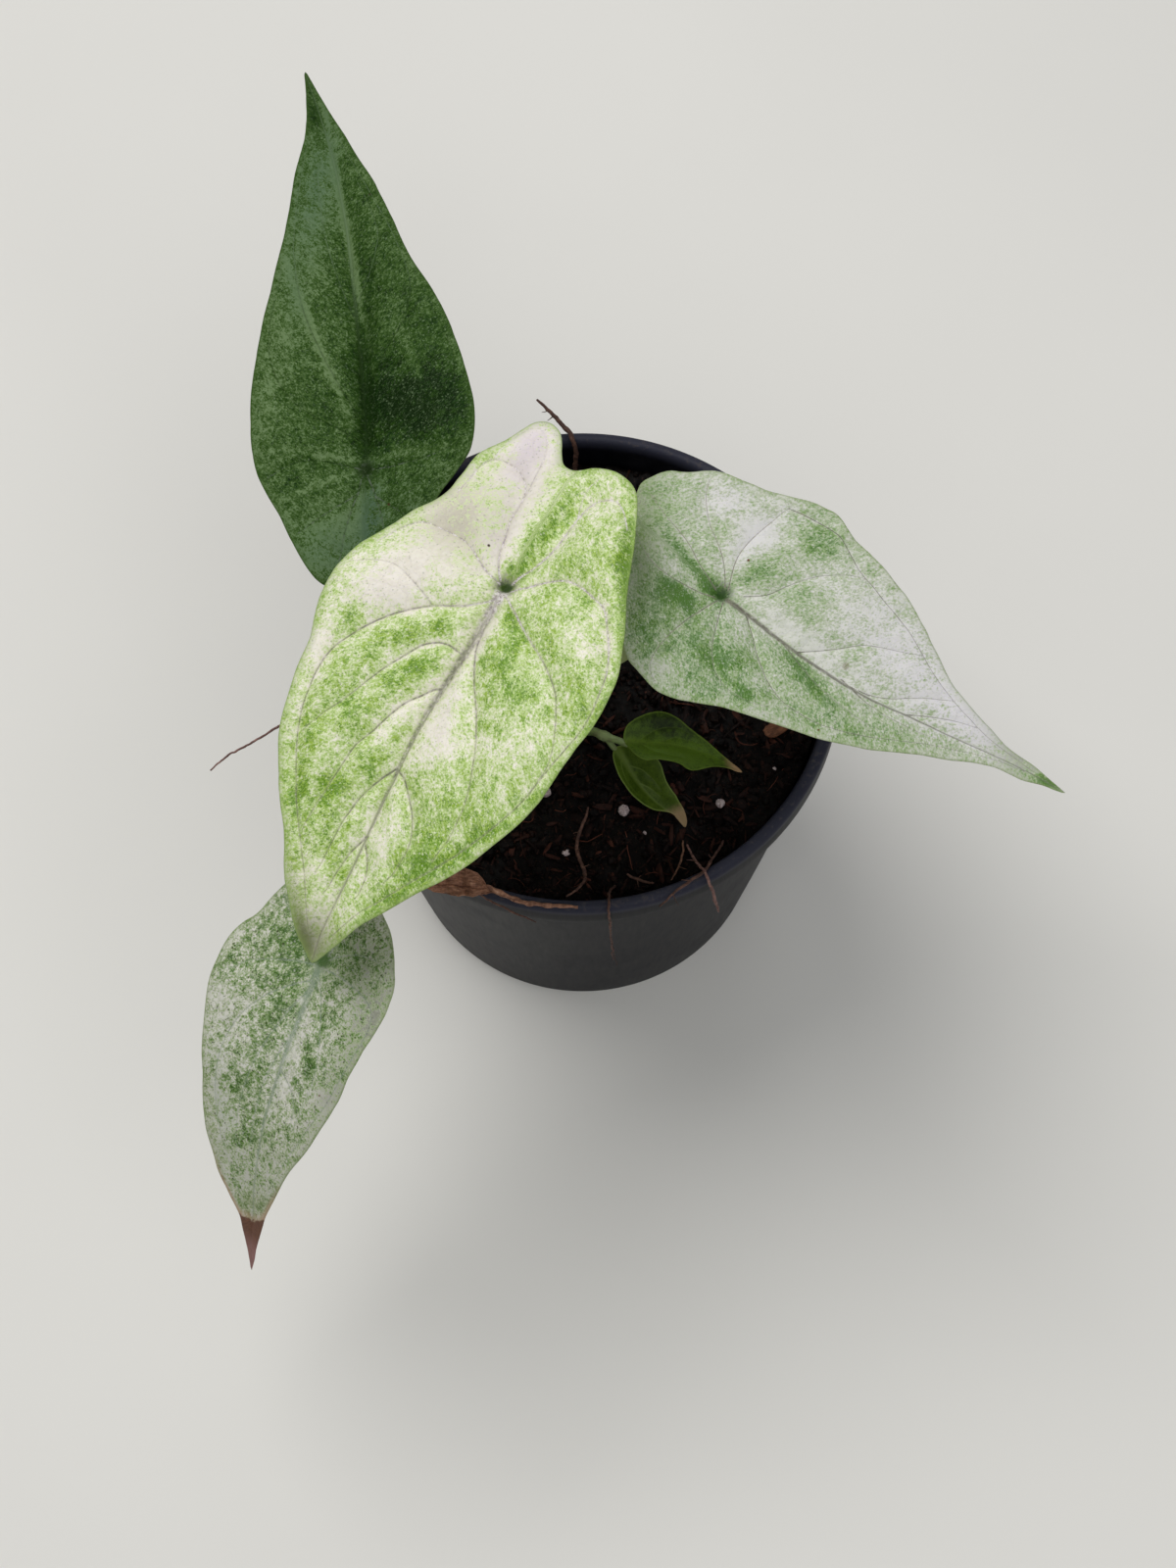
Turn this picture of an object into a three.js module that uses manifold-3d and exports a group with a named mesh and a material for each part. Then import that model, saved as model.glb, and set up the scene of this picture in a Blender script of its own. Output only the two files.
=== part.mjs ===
// Potted Alocasia scalprum: a small aroid with four peltate blades and a young
// offset, growing in a thin round nursery pot. Millimetres, +Z up, origin at the
// centre of the pot's flat base.
import * as THREE from 'three';
import Module from 'manifold-3d';
import { mergeVertices } from 'three/addons/utils/BufferGeometryUtils.js';

const wasm = await Module();
wasm.setup();

// ---------------------------------------------------------------- dimensions
const POT_HEIGHT = 105;
const RIM_RADIUS = 60; // outside of the rolled lip
const BASE_RADIUS = 45; // flat standing face
const WALL_TOP_RADIUS = 57.4; // outside of the wall under the lip
const WALL = 1.2;
const LIP_DEPTH = 8;
const LIP_SKIRT = 1.1;
const HOLE_RADIUS = 4.5; // drainage holes
const HOLE_CIRCLE = 34;
const HOLE_COUNT = 8;
const POT_SEGMENTS = 56;

const SOIL_LEVEL = 96; // mean level of the mix, 9 mm below the lip
const GAP = 0.3; // clearance left between pieces that touch
const CROWN = [-10.7, -10.0]; // where the petioles leave the mix
const CROWN_TOP = 99;

const BLADE = 0.9; // blade thickness
const BLADE_SECTORS = 40;
const BLADE_RINGS = [0.24, 0.46, 0.66, 0.84, 1.0];

// ---------------------------------------------------------------- blade data
// Each blade has a local frame at the point where the petiole meets it: U runs
// toward the tip, V to the right of it and N out of the upper face.
//   at    petiole attachment
//   az    heading of the tip, degrees from +X
//   dip   how far the tip side drops, degrees
//   roll  how far the right side drops, degrees
//   k, kb droop of the tip side and of the basal lobes (1/mm)
//   s, w  V-fold along the midrib: slope and rounding
//   q     downward camber of the margins (1/mm)
//   b     sideways bend of the midrib (1/mm)
// The outline is a closed ring of [u, v] points starting at the tip.
const BLADES = {
  rear: {
    at: [-45.27, 22.25, 160], az: 90.744, dip: -8, roll: -14,
    k: 0.0012, kb: 0, s: 0.22, w: 6, q: 0.0035, b: -0.001618,
    outline: [
      [101, -16.9], [98.2, -15.3], [95.3, -13.8], [92.5, -12.3], [89.7, -10.8], [86.9, -9.2], [84.2, -7.6],
      [81.5, -6], [78.8, -4.6], [76, -3.1], [73.4, -1.6], [70.8, -0], [68.1, 1.5], [65.4, 2.7], [62.7, 4],
      [60, 5.2], [57.4, 6.4], [54.7, 7.5], [52.1, 8.6], [49.5, 9.8], [46.9, 11.1], [44.5, 12.5], [42.1, 14],
      [39.7, 15.4], [37.2, 16.7], [34.8, 17.9], [32.3, 19], [29.8, 20], [27.3, 20.8], [24.8, 21.7],
      [22.3, 22.5], [19.8, 23.2], [17.3, 23.9], [14.8, 24.5], [12.3, 25], [9.9, 25.2], [7.4, 25.2], [5, 25],
      [2.6, 24.6], [0.4, 23.9], [-1.5, 22.7], [-3.4, 21.3], [-5.1, 19.9], [-6.8, 18.3], [-8.6, 16.8],
      [-10.4, 15.5], [-12.3, 14.2], [-14.2, 13], [-16.2, 11.8], [-18.1, 10.5], [-19.9, 9.1], [-21.4, 7.4],
      [-22.5, 5.4], [-22.5, 3.1], [-21.2, 1.1], [-20, -0.4], [-21.4, -1.7], [-23.3, -2.9], [-25, -4.4],
      [-26, -6.4], [-25.6, -8.6], [-24.2, -10.5], [-22.3, -12], [-20.2, -13.3], [-18, -14.5], [-15.8, -15.6],
      [-13.6, -16.7], [-11.3, -17.7], [-9, -18.7], [-6.8, -19.9], [-4.6, -21.1], [-2.3, -22.2], [0, -23.2],
      [2.4, -23.9], [4.9, -24.4], [7.4, -24.8], [9.9, -25], [12.4, -25], [14.9, -25.1], [17.5, -25.1],
      [20, -25], [22.5, -24.8], [25, -24.5], [27.5, -24.1], [30, -23.7], [32.5, -23.2], [35, -22.8],
      [37.5, -22.4], [40.1, -21.9], [42.6, -21.4], [45.1, -21], [47.7, -20.6], [50.3, -20.1], [52.9, -19.6],
      [55.5, -19.1], [58.1, -18.7], [60.8, -18.4], [63.5, -18], [66.2, -17.7], [69, -17.4], [71.8, -17.2],
      [74.6, -16.9], [77.4, -16.5], [80.1, -16.1], [82.9, -15.7], [85.8, -15.6], [88.8, -15.6], [91.8, -15.9],
      [94.9, -16.2], [97.9, -16.6],
    ],
  },
  centre: {
    at: [-15.23, -13.04, 176], az: -123.161, dip: 8, roll: 9,
    k: 0.003038, kb: 0.0008, s: 0.2, w: 6, q: 0.0035, b: 0, notch: 67,
    outline: [
      [84.9, -0.5], [83.9, 1.5], [82.7, 3.2], [81.5, 4.9], [80, 6.4], [78.5, 7.7], [76.8, 9], [75.3, 10.3],
      [73.7, 11.7], [72, 12.8], [70.2, 13.8], [68.3, 14.7], [66.5, 15.7], [64.7, 16.8], [63, 18.1],
      [61.4, 19.4], [59.7, 20.6], [57.9, 21.8], [56, 22.8], [54.1, 23.9], [52.2, 24.9], [50.3, 25.9],
      [48.3, 26.7], [46.3, 27.4], [44.2, 28], [42.1, 28.5], [40, 29], [37.9, 29.5], [35.7, 29.9], [33.5, 30.1],
      [31.3, 30.2], [29.1, 30.4], [27, 31.1], [24.9, 31.9], [22.7, 32.6], [20.6, 33.1], [18.3, 33.3],
      [16.1, 33.3], [13.9, 33.2], [11.7, 32.7], [9.5, 32.2], [7.3, 31.6], [5.3, 30.6], [3.4, 29.5],
      [1.4, 28.4], [-0.5, 27.3], [-2.6, 26.3], [-4.6, 25.3], [-6.4, 24], [-8.2, 22.7], [-10.2, 21.7],
      [-12.4, 21], [-14.6, 20.8], [-16.9, 20.5], [-19.2, 20.4], [-21.5, 20.1], [-23.5, 19.2], [-25.5, 18],
      [-27.4, 16.9], [-29.5, 16], [-31.5, 15.1], [-33.4, 14], [-34.7, 12.2], [-34.9, 10], [-34, 7.8],
      [-32.2, 6.2], [-30.1, 4.9], [-28.3, 3.3], [-28.1, 1], [-29.1, -0.9], [-30.5, -2.7], [-31.4, -4.8],
      [-31.9, -7.1], [-31.8, -9.6], [-31.1, -12.1], [-29.5, -14.1], [-27.5, -15.5], [-25.4, -16.8],
      [-23.2, -18], [-21.1, -19.2], [-18.9, -20.3], [-16.7, -21.3], [-14.6, -22.3], [-12.4, -23.3],
      [-10.3, -24.4], [-8.2, -25.5], [-6.2, -26.7], [-4.1, -27.9], [-2.1, -29], [-0, -30], [2.1, -31],
      [4.1, -32], [6.2, -32.9], [8.3, -33.5], [10.5, -33.8], [12.6, -34], [14.8, -34.1], [17, -34],
      [19.1, -33.8], [21.2, -33.4], [23.3, -33], [25.4, -32.8], [27.5, -32.5], [29.6, -32.3], [31.7, -32.1],
      [33.8, -31.9], [35.9, -31.6], [38, -31.1], [40, -30.6], [42.1, -29.9], [44.1, -29.1], [46, -28.2],
      [47.9, -27.2], [49.8, -26.2], [51.8, -25.1], [53.6, -24], [55.5, -22.7], [57.3, -21.4], [59.1, -20],
      [60.8, -18.5], [62.5, -17], [64.3, -15.5], [66.1, -14.1], [67.9, -12.7], [69.7, -11.3], [71.5, -9.8],
      [73.3, -8.3], [75.2, -7], [77.2, -5.8], [79.2, -4.6], [81.1, -3.3], [83.1, -2],
    ],
  },
  right: {
    at: [30.61, -8.35, 160], az: -41.078, dip: 8, roll: -4,
    k: 0.0008, kb: 0, s: 0.36, w: 6, q: 0.0032, b: -0.0028,
    outline: [
      [81.7, -17.3], [79.6, -16.2], [77.5, -15.4], [75.4, -14.2], [73.4, -13], [71.2, -12.2], [69, -11.5],
      [66.9, -10.7], [64.9, -9.5], [62.9, -8.2], [61, -6.7], [59.2, -5.1], [57.3, -3.6], [55.4, -2.2],
      [53.5, -0.7], [51.7, 0.9], [49.9, 2.4], [48.1, 3.9], [46.2, 5.5], [44.4, 6.9], [42.4, 8.2], [40.5, 9.5],
      [38.6, 10.8], [36.6, 12.1], [34.6, 13.2], [32.6, 14.1], [30.5, 15.1], [28.5, 16.1], [26.5, 17.2],
      [24.5, 18.3], [22.5, 19.3], [20.5, 20.3], [18.4, 21.3], [16.4, 22.3], [14.5, 23.6], [12.7, 24.9],
      [10.8, 26.2], [9, 27.5], [7, 28.5], [4.9, 29.2], [2.7, 29.2], [0.5, 28.8], [-1.8, 28.4], [-4, 28],
      [-6, 26.8], [-8, 25.4], [-10, 23.9], [-11.9, 22.3], [-13.8, 20.6], [-15.5, 18.7], [-17.1, 16.5],
      [-18.4, 14.2], [-19.6, 11.7], [-20.8, 9.2], [-22.1, 6.7], [-23.3, 4.2], [-24.6, 1.9], [-25.8, -0.4],
      [-26.9, -2.6], [-27.9, -4.8], [-28.4, -6.9], [-27.7, -9], [-26.8, -11], [-25.5, -12.8], [-23.6, -14.1],
      [-21.9, -15.5], [-20.3, -17.1], [-18.6, -18.5], [-16.6, -19.5], [-14.4, -20.2], [-12.2, -20.8],
      [-10, -21.6], [-7.8, -22.2], [-5.7, -23.1], [-3.7, -24.1], [-1.6, -25.1], [0.4, -26.1], [2.5, -27],
      [4.7, -27.6], [6.9, -28.2], [9.1, -27.9], [11.2, -27], [13.4, -26.4], [15.7, -26.3], [17.9, -26.2],
      [20.2, -26], [22.5, -25.8], [24.7, -25.4], [26.9, -25], [29.2, -24.7], [31.4, -24.1], [33.5, -23.4],
      [35.6, -22.6], [37.8, -21.9], [39.8, -21], [41.9, -20.3], [44, -19.5], [46.1, -18.6], [48.1, -17.8],
      [50.3, -17.2], [52.5, -16.9], [54.7, -16.6], [57, -16.4], [59.2, -16.3], [61.5, -16.3], [63.7, -16.1],
      [65.9, -16], [68.2, -16.2], [70.5, -16.6], [72.7, -17], [75, -17.2], [77.2, -17.3], [79.5, -17.4],
    ],
  },
  front: {
    at: [-55.94, -77.5, 127], az: -118.498, dip: 20, roll: 14,
    k: 0.006573, kb: 0, s: 0.18, w: 5, q: 0.004, b: 0,
    outline: [
      [72.1, -0.3], [69.9, 0.3], [67.5, 0.8], [65.3, 1.4], [63.1, 2.1], [60.9, 2.8], [59.2, 4.1], [57.7, 5.6],
      [56.1, 7], [54.6, 8.5], [52.9, 9.8], [50.9, 10.8], [49, 11.9], [47.2, 13.1], [45.3, 14.2], [43.2, 15],
      [41.1, 15.8], [38.9, 16.4], [36.6, 16.9], [34.3, 17.3], [32.1, 18], [29.9, 18.7], [27.7, 19.3],
      [25.5, 19.9], [23.2, 20.5], [21, 21.1], [18.8, 21.7], [16.5, 22.2], [14.2, 22.5], [11.8, 22.5],
      [9.5, 22.4], [7.1, 22.3], [4.7, 21.9], [2.5, 21.1], [0.3, 19.9], [-1.6, 18.4], [-3.7, 17.3], [-6, 16.7],
      [-8.3, 16], [-10.5, 15.2], [-12.7, 14.4], [-15, 13.8], [-17, 12.7], [-18.4, 10.8], [-18.1, 8.6],
      [-16.8, 6.7], [-16.9, 5.2], [-18.5, 3.7], [-19.1, 1.5], [-18.7, -1], [-17.8, -3.4], [-16.7, -5.7],
      [-15.5, -7.9], [-14.1, -10], [-12.7, -11.9], [-11, -13.5], [-9.1, -14.9], [-7.2, -16.2], [-5.2, -17.4],
      [-3.3, -18.6], [-1.2, -19.3], [1.1, -19.6], [3.3, -19.8], [5.6, -19.6], [7.9, -19.3], [10.2, -18.9],
      [12.5, -18.4], [14.9, -18.1], [17.2, -17.6], [19.6, -17.1], [22, -16.9], [24.4, -16.6], [26.8, -16],
      [29.2, -15.4], [31.7, -14.6], [34.2, -13.8], [36.8, -12.9], [39.3, -11.8], [41.9, -10.4], [44.5, -9],
      [47.1, -7.9], [49.8, -6.9], [52.6, -5.8], [55.4, -4.6], [58.2, -3.5], [61, -2.9], [63.7, -2.3],
      [66.6, -1.7], [69.3, -1.3],
    ],
  },
  offset_upper: {
    at: [10.57, -23.14, 114.5], az: 5.301, dip: 6, roll: -5,
    k: 0.006, kb: 0, s: 0.75, w: 1.5, q: 0.02, b: 0.011788,
    outline: [
      [25.2, 7.7], [23.8, 7.7], [22.6, 7.3], [21.3, 7.1], [19.9, 7.2], [18.4, 7.5], [16.9, 8.1], [15.4, 8.8],
      [13.9, 9.4], [12.6, 9.6], [11.5, 9], [10.6, 8], [9.4, 7.3], [8.2, 6.9], [7, 6.6], [5.7, 6.4], [4.3, 6.5],
      [3, 6.6], [1.9, 6], [1, 4.8], [0.3, 3.4], [-0.2, 1.7], [-0.6, 0.2], [-0.9, -1.1], [-0.6, -2.2],
      [0, -3.2], [1, -3.9], [2.1, -4.5], [3.3, -4.9], [4.6, -5.3], [5.9, -5.5], [7.2, -5.6], [8.5, -5.4],
      [9.7, -5], [10.8, -4.4], [11.9, -3.7], [12.9, -2.9], [13.8, -2.1], [14.8, -1.4], [15.8, -0.6],
      [16.8, 0.1], [17.8, 0.9], [18.7, 1.7], [19.7, 2.6], [20.6, 3.4], [21.5, 4.2], [22.5, 5.1], [23.4, 5.9],
      [24.4, 6.7],
    ],
  },
  offset_lower: {
    at: [8.21, -22.14, 107], az: -63.551, dip: 14, roll: 0,
    k: 0.006, kb: 0, s: 0.6, w: 1.5, q: 0.02, b: -0.013443,
    outline: [
      [22.2, -6.4], [21, -5.9], [19.7, -5.5], [18.5, -5.1], [17.5, -4.2], [16.8, -3.1], [16.1, -1.9],
      [15.2, -0.9], [14.2, -0.1], [13.1, 0.6], [11.9, 1.2], [10.7, 1.7], [9.4, 2], [8.1, 2.2], [6.8, 2.4],
      [5.5, 2.5], [4.2, 2.4], [2.9, 2.2], [1.6, 1.9], [0.3, 1.3], [-0.5, 0.3], [-0.6, -0.9], [0.1, -2],
      [0.9, -2.9], [1.8, -3.9], [2.8, -4.7], [3.8, -5.5], [4.9, -6.3], [6.1, -6.8], [7.4, -7], [8.6, -6.9],
      [9.9, -6.7], [11.2, -6.6], [12.5, -6.7], [13.7, -6.9], [15, -7.2], [16.3, -7.3], [17.6, -7.5],
      [18.9, -7.6], [20.1, -7.5], [21.3, -7.2],
    ],
  },
};

// ---------------------------------------------------------------- petioles
// Bezier control points from the crown to just under each blade, with the
// radius at the foot and at the top.
const PETIOLES = {
  rear: { foot: 2, top: 1.25, path: [[-14.2, -6.6, 99.9], [-19.4, -1.6, 124.9], [-35.3, 13.6, 138.1], [-44.8, 22.5, 158.3]] },
  centre: { foot: 2.2, top: 1.35, path: [[-10.9, -10.0, 99.3], [-10.9, -10.0, 127.3], [-11.8, -11.7, 148.5], [-14.9, -13.0, 174.2]] },
  right: { foot: 2, top: 1.2, path: [[-5.8, -9.7, 100.0], [2.2, -9.1, 124.7], [15.9, -8.9, 138.9], [30.3, -8.3, 158.1]] },
  front: { foot: 2, top: 1.15, path: [[-13.3, -14.2, 100.5], [-22.8, -29.4, 129.3], [-39.5, -53.9, 114.2], [-55.1, -77.1, 125.0]] },
  offset: { foot: 1.3, top: 0.75,
    main: [[-6.9, -13.3, 100.5], [-3.9, -14.6, 102.2], [0.2, -16.0, 103.6], [2.8, -17.4, 106.6], [4.7, -19.4, 109.2], [6.5, -21.0, 111.2], [8.5, -22.1, 112.2], [10.4, -23.3, 113.0]],
    branch: [[5.6, -20.2, 110.2], [7.0, -21.3, 107.5], [8.0, -21.8, 105.5]] },
};

// ---------------------------------------------------------------- roots and fibres
const STRANDS = {
  dry_leaf: { sides: 10, steps: 20, color: 0xb08a66, flat: true,
    across: [0.5, 2, 2.9, 3.1, 2.9, 2.3, 1.5, 0.9, 0.75, 0.7, 0.7, 0.65, 0.55, 0.35], thick: [0.35, 0.5, 0.7, 0.9, 1, 1, 0.85, 0.7, 0.65, 0.6, 0.6, 0.55, 0.5, 0.3],
    path: [[-41.6, -48.3, 104.5], [-38, -50.6, 106.2], [-34.9, -52.8, 107.2], [-32.3, -53.9, 107.4], [-29.7, -53.7, 107.5], [-27.1, -53.8, 107.6], [-24.5, -54.1, 107.5], [-22.1, -54.5, 107.2], [-19.9, -55.1, 106.9], [-17.4, -56.4, 106.7], [-14.1, -57.8, 106.5], [-10.9, -58.3, 106.4], [-7.6, -58.6, 106.4], [-4.4, -58.9, 106.3], [-1.2, -59.3, 106.2]] },
  root_curled: { sides: 6, steps: 14, color: 0x8d6a50,
    across: [0.35, 0.6, 0.65, 0.65, 0.6, 0.5], thick: [0.35, 0.6, 0.65, 0.65, 0.6, 0.5],
    path: [[1.4, -32.1, 97], [0.7, -34.9, 97], [-0.9, -38.7, 97], [-1.2, -42.6, 97.2], [-0.4, -45.9, 98], [0.5, -49.3, 100], [0, -52.3, 102.8], [-1.5, -54.9, 105.4], [-3.7, -56.9, 107]] },
  root_over_rim_a: { sides: 6, steps: 10, color: 0x8a6a5c,
    across: [0.4, 0.5, 0.55, 0.6, 0.5, 0.35], thick: [0.4, 0.5, 0.55, 0.6, 0.5, 0.35],
    path: [[31.8, -40.9, 97.4], [30.7, -43.5, 99.5], [29.2, -46.6, 102.8], [27, -50.9, 106.3], [24.1, -53.5, 106.6], [20.6, -56, 106.3], [16.8, -59.1, 105.4]] },
  root_over_rim_b: { sides: 6, steps: 12, color: 0x94766a,
    across: [0.4, 0.5, 0.5, 0.5, 0.55, 0.65], thick: [0.4, 0.5, 0.5, 0.5, 0.55, 0.65],
    path: [[23.6, -41.6, 97.2], [24.3, -44.2, 98.6], [25.4, -48, 103], [26.9, -52.1, 108.4], [28, -54.4, 107], [28.7, -55.1, 104], [29.2, -55.5, 100.5], [30.3, -56.5, 94]] },
  root_hanging: { sides: 6, steps: 12, color: 0x7c6152,
    across: [0.45, 0.5, 0.5, 0.42, 0.36, 0.3], thick: [0.45, 0.5, 0.5, 0.42, 0.36, 0.3],
    path: [[7.2, -51.2, 97.4], [6.3, -53.4, 101], [5.6, -56.2, 105], [5.6, -58.4, 106.6], [5.5, -60.2, 105.9], [5.7, -61, 102.3], [6, -61.1, 95.1], [6.2, -61.3, 87.4], [6.6, -61.7, 76.5]] },
  root_rear: { sides: 6, steps: 12, color: 0x5a4038,
    across: [0.6, 0.75, 0.8, 0.75, 0.6, 0.4], thick: [0.6, 0.75, 0.8, 0.75, 0.6, 0.4],
    path: [[-0.6, 51.5, 97.2], [-0.3, 53.5, 99.5], [0, 54.5, 104], [-0.6, 56, 107.4], [-2.2, 58.6, 108.4], [-5.1, 62.1, 108.8], [-9, 66.8, 108]] },
  root_left: { sides: 6, steps: 14, color: 0x7a5346,
    across: [0.4, 0.45, 0.45, 0.42, 0.36, 0.25], thick: [0.4, 0.45, 0.45, 0.42, 0.36, 0.25],
    path: [[-43.9, 6.1, 97.2], [-47.8, 2.4, 98.5], [-51.5, -2, 102.5], [-56.1, -6.7, 106.3], [-62.1, -11.3, 107], [-68.3, -15.2, 106.8], [-73.6, -18.1, 106], [-79.9, -21, 104.6], [-83.8, -23.9, 103]] },
  fibre_front: { sides: 6, steps: 6, color: 0xa08f5c,
    across: [0.35, 0.45, 0.4, 0.3], thick: [0.35, 0.45, 0.4, 0.3],
    path: [[22.7, -40.5, 96.9], [22.7, -42.4, 96.9], [22.4, -44.6, 97], [21.2, -47.7, 97.4], [19.8, -50.5, 98.6]] },
  root_stub: { sides: 6, steps: 5, color: 0x9a8168,
    across: [0.3, 0.45, 0.5, 0.35], thick: [0.3, 0.45, 0.5, 0.35],
    path: [[9.9, -48.3, 97], [11.7, -49.4, 97.2], [13.4, -50.2, 97.4], [15.8, -51, 98.2]] },
  fibre_rim: { sides: 6, steps: 8, color: 0x8d7560,
    across: [0.35, 0.42, 0.4, 0.3], thick: [0.35, 0.42, 0.4, 0.3],
    path: [[-22.7, -56.9, 108.8], [-20, -57.7, 106], [-17.4, -58.6, 104.3], [-14.3, -59.5, 102.2], [-10.6, -60.5, 100.2]] },
};

// ---------------------------------------------------------------- helpers
const deg = Math.PI / 180;

function clean(geometry) {
  const g = geometry.clone();
  for (const name of Object.keys(g.attributes)) if (name !== 'position') g.deleteAttribute(name);
  const merged = mergeVertices(g, 1e-4);
  const src = merged.index.array;
  const keep = [];
  for (let i = 0; i < src.length; i += 3) {
    const [a, b, c] = [src[i], src[i + 1], src[i + 2]];
    if (a !== b && b !== c && c !== a) keep.push(a, b, c);
  }
  const pos = merged.attributes.position;
  let volume = 0;
  const A = new THREE.Vector3(), B = new THREE.Vector3(), C = new THREE.Vector3();
  for (let i = 0; i < keep.length; i += 3) {
    A.fromBufferAttribute(pos, keep[i]);
    B.fromBufferAttribute(pos, keep[i + 1]);
    C.fromBufferAttribute(pos, keep[i + 2]);
    volume += A.dot(B.cross(C)) / 6;
  }
  if (volume < 0) for (let i = 0; i < keep.length; i += 3) [keep[i + 1], keep[i + 2]] = [keep[i + 2], keep[i + 1]];
  const out = new THREE.BufferGeometry();
  out.setAttribute('position', new THREE.BufferAttribute(new Float32Array(pos.array), 3));
  out.setIndex(keep);
  return out;
}

function solid(geometry) {
  const g = clean(geometry);
  return new wasm.Manifold(new wasm.Mesh({
    numProp: 3,
    vertProperties: new Float32Array(g.attributes.position.array),
    triVerts: new Uint32Array(g.index.array),
  }));
}

function fromSolid(s) {
  const m = s.getMesh();
  const g = new THREE.BufferGeometry();
  g.setAttribute('position', new THREE.BufferAttribute(new Float32Array(m.vertProperties), 3));
  g.setIndex(Array.from(m.triVerts));
  return g;
}

// turned body about +Z from a profile of [radius, height]
function turned(profile, segments) {
  const g = new THREE.LatheGeometry(profile.map(([r, z]) => new THREE.Vector2(r, z)), segments);
  g.rotateX(Math.PI / 2);
  return g;
}

// body swept along a curve: radiusAt(t) gives [across, thick], ends rounded by the
// last two sections
function sweep(curve, radiusAt, sides, steps, up) {
  const frames = curve.computeFrenetFrames(steps, false);
  const pos = [];
  const index = [];
  for (let i = 0; i <= steps; i++) {
    const t = i / steps;
    const p = curve.getPointAt(t);
    let n = frames.normals[i], b = frames.binormals[i];
    if (up) {
      const tan = curve.getTangentAt(t);
      n = new THREE.Vector3().crossVectors(up, tan).normalize();
      b = new THREE.Vector3().crossVectors(tan, n).normalize();
    }
    const [ra, rb] = radiusAt(t);
    for (let j = 0; j < sides; j++) {
      const a = (j / sides) * 2 * Math.PI;
      const q = p.clone().addScaledVector(n, ra * Math.cos(a)).addScaledVector(b, rb * Math.sin(a));
      pos.push(q.x, q.y, q.z);
    }
  }
  for (let i = 0; i < steps; i++) for (let j = 0; j < sides; j++) {
    const a = i * sides + j, b = i * sides + (j + 1) % sides;
    index.push(a, b, b + sides, a, b + sides, a + sides);
  }
  const first = pos.length / 3;
  const s = curve.getPointAt(0), e = curve.getPointAt(1);
  pos.push(s.x, s.y, s.z, e.x, e.y, e.z);
  for (let j = 0; j < sides; j++) {
    index.push(first, (j + 1) % sides, j);
    index.push(first + 1, steps * sides + j, steps * sides + (j + 1) % sides);
  }
  const g = new THREE.BufferGeometry();
  g.setAttribute('position', new THREE.BufferAttribute(new Float32Array(pos), 3));
  g.setIndex(index);
  return clean(g);
}

const vec = (a) => new THREE.Vector3(a[0], a[1], a[2]);
const taper = (r0, r1, r2 = r1) => (t) => {
  const r = t < 0.5 ? r0 + (r1 - r0) * t * 2 : r1 + (r2 - r1) * (t - 0.5) * 2;
  return [r, r];
};

// ---------------------------------------------------------------- blades
function bladeFrame(d) {
  const a = d.az * deg, dip = d.dip * deg, roll = d.roll * deg;
  const U = new THREE.Vector3(Math.cos(a) * Math.cos(dip), Math.sin(a) * Math.cos(dip), -Math.sin(dip));
  const V0 = new THREE.Vector3(Math.sin(a), -Math.cos(a), 0);
  const N0 = new THREE.Vector3().crossVectors(V0, U);
  const V = V0.clone().multiplyScalar(Math.cos(roll)).addScaledVector(N0, -Math.sin(roll));
  const N = new THREE.Vector3().crossVectors(V, U);
  return { U, V, N, O: vec(d.at) };
}

function bladeHeight(d, u, v) {
  const up = Math.max(u, 0), um = Math.min(u, 0);
  const vp = v - d.b * up * up;
  return -d.k * up * up - d.kb * um * um + d.s * (Math.sqrt(vp * vp + d.w * d.w) - d.w) - d.q * vp * vp;
}

function blade(d, sectors = BLADE_SECTORS, rings = BLADE_RINGS, thickness = BLADE) {
  const { U, V, N, O } = bladeFrame(d);
  const n = d.outline.length;
  const rim = [];
  for (let i = 0; i < sectors; i++) rim.push(Math.round((i * n) / sectors) % n);
  if (d.notch) {
    let near = 0;
    rim.forEach((r, i) => { if (Math.abs(r - d.notch) < Math.abs(rim[near] - d.notch)) near = i; });
    rim[near] = d.notch;
  }
  const top = [], bottom = [];
  const point = (u, v, side) => {
    const h = bladeHeight(d, u, v) + side;
    return O.clone().addScaledVector(U, u).addScaledVector(V, v).addScaledVector(N, h);
  };
  top.push(point(0, 0, thickness / 2));
  bottom.push(point(0, 0, -thickness / 2));
  for (const s of rings) {
    const half = (s < 1 ? 0.5 : 0.28) * thickness;
    for (const i of rim) {
      const [u, v] = d.outline[i];
      top.push(point(u * s, v * s, half));
      bottom.push(point(u * s, v * s, -half));
    }
  }
  const all = [...top, ...bottom];
  const pos = new Float32Array(all.flatMap((p) => [p.x, p.y, p.z]));
  const shift = top.length;
  const index = [];
  const face = (a, b, c) => {
    index.push(a, b, c);
    index.push(a + shift, c + shift, b + shift);
  };
  for (let j = 0; j < sectors; j++) {
    const k = (j + 1) % sectors;
    face(0, 1 + j, 1 + k);
    for (let r = 1; r < rings.length; r++) {
      const a = 1 + (r - 1) * sectors, b = 1 + r * sectors;
      face(a + j, b + j, b + k);
      face(a + j, b + k, a + k);
    }
    const e = 1 + (rings.length - 1) * sectors;
    index.push(e + j, e + j + shift, e + k + shift, e + j, e + k + shift, e + k);
  }
  const g = new THREE.BufferGeometry();
  g.setAttribute('position', new THREE.BufferAttribute(pos, 3));
  g.setIndex(index);
  return clean(g);
}

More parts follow.
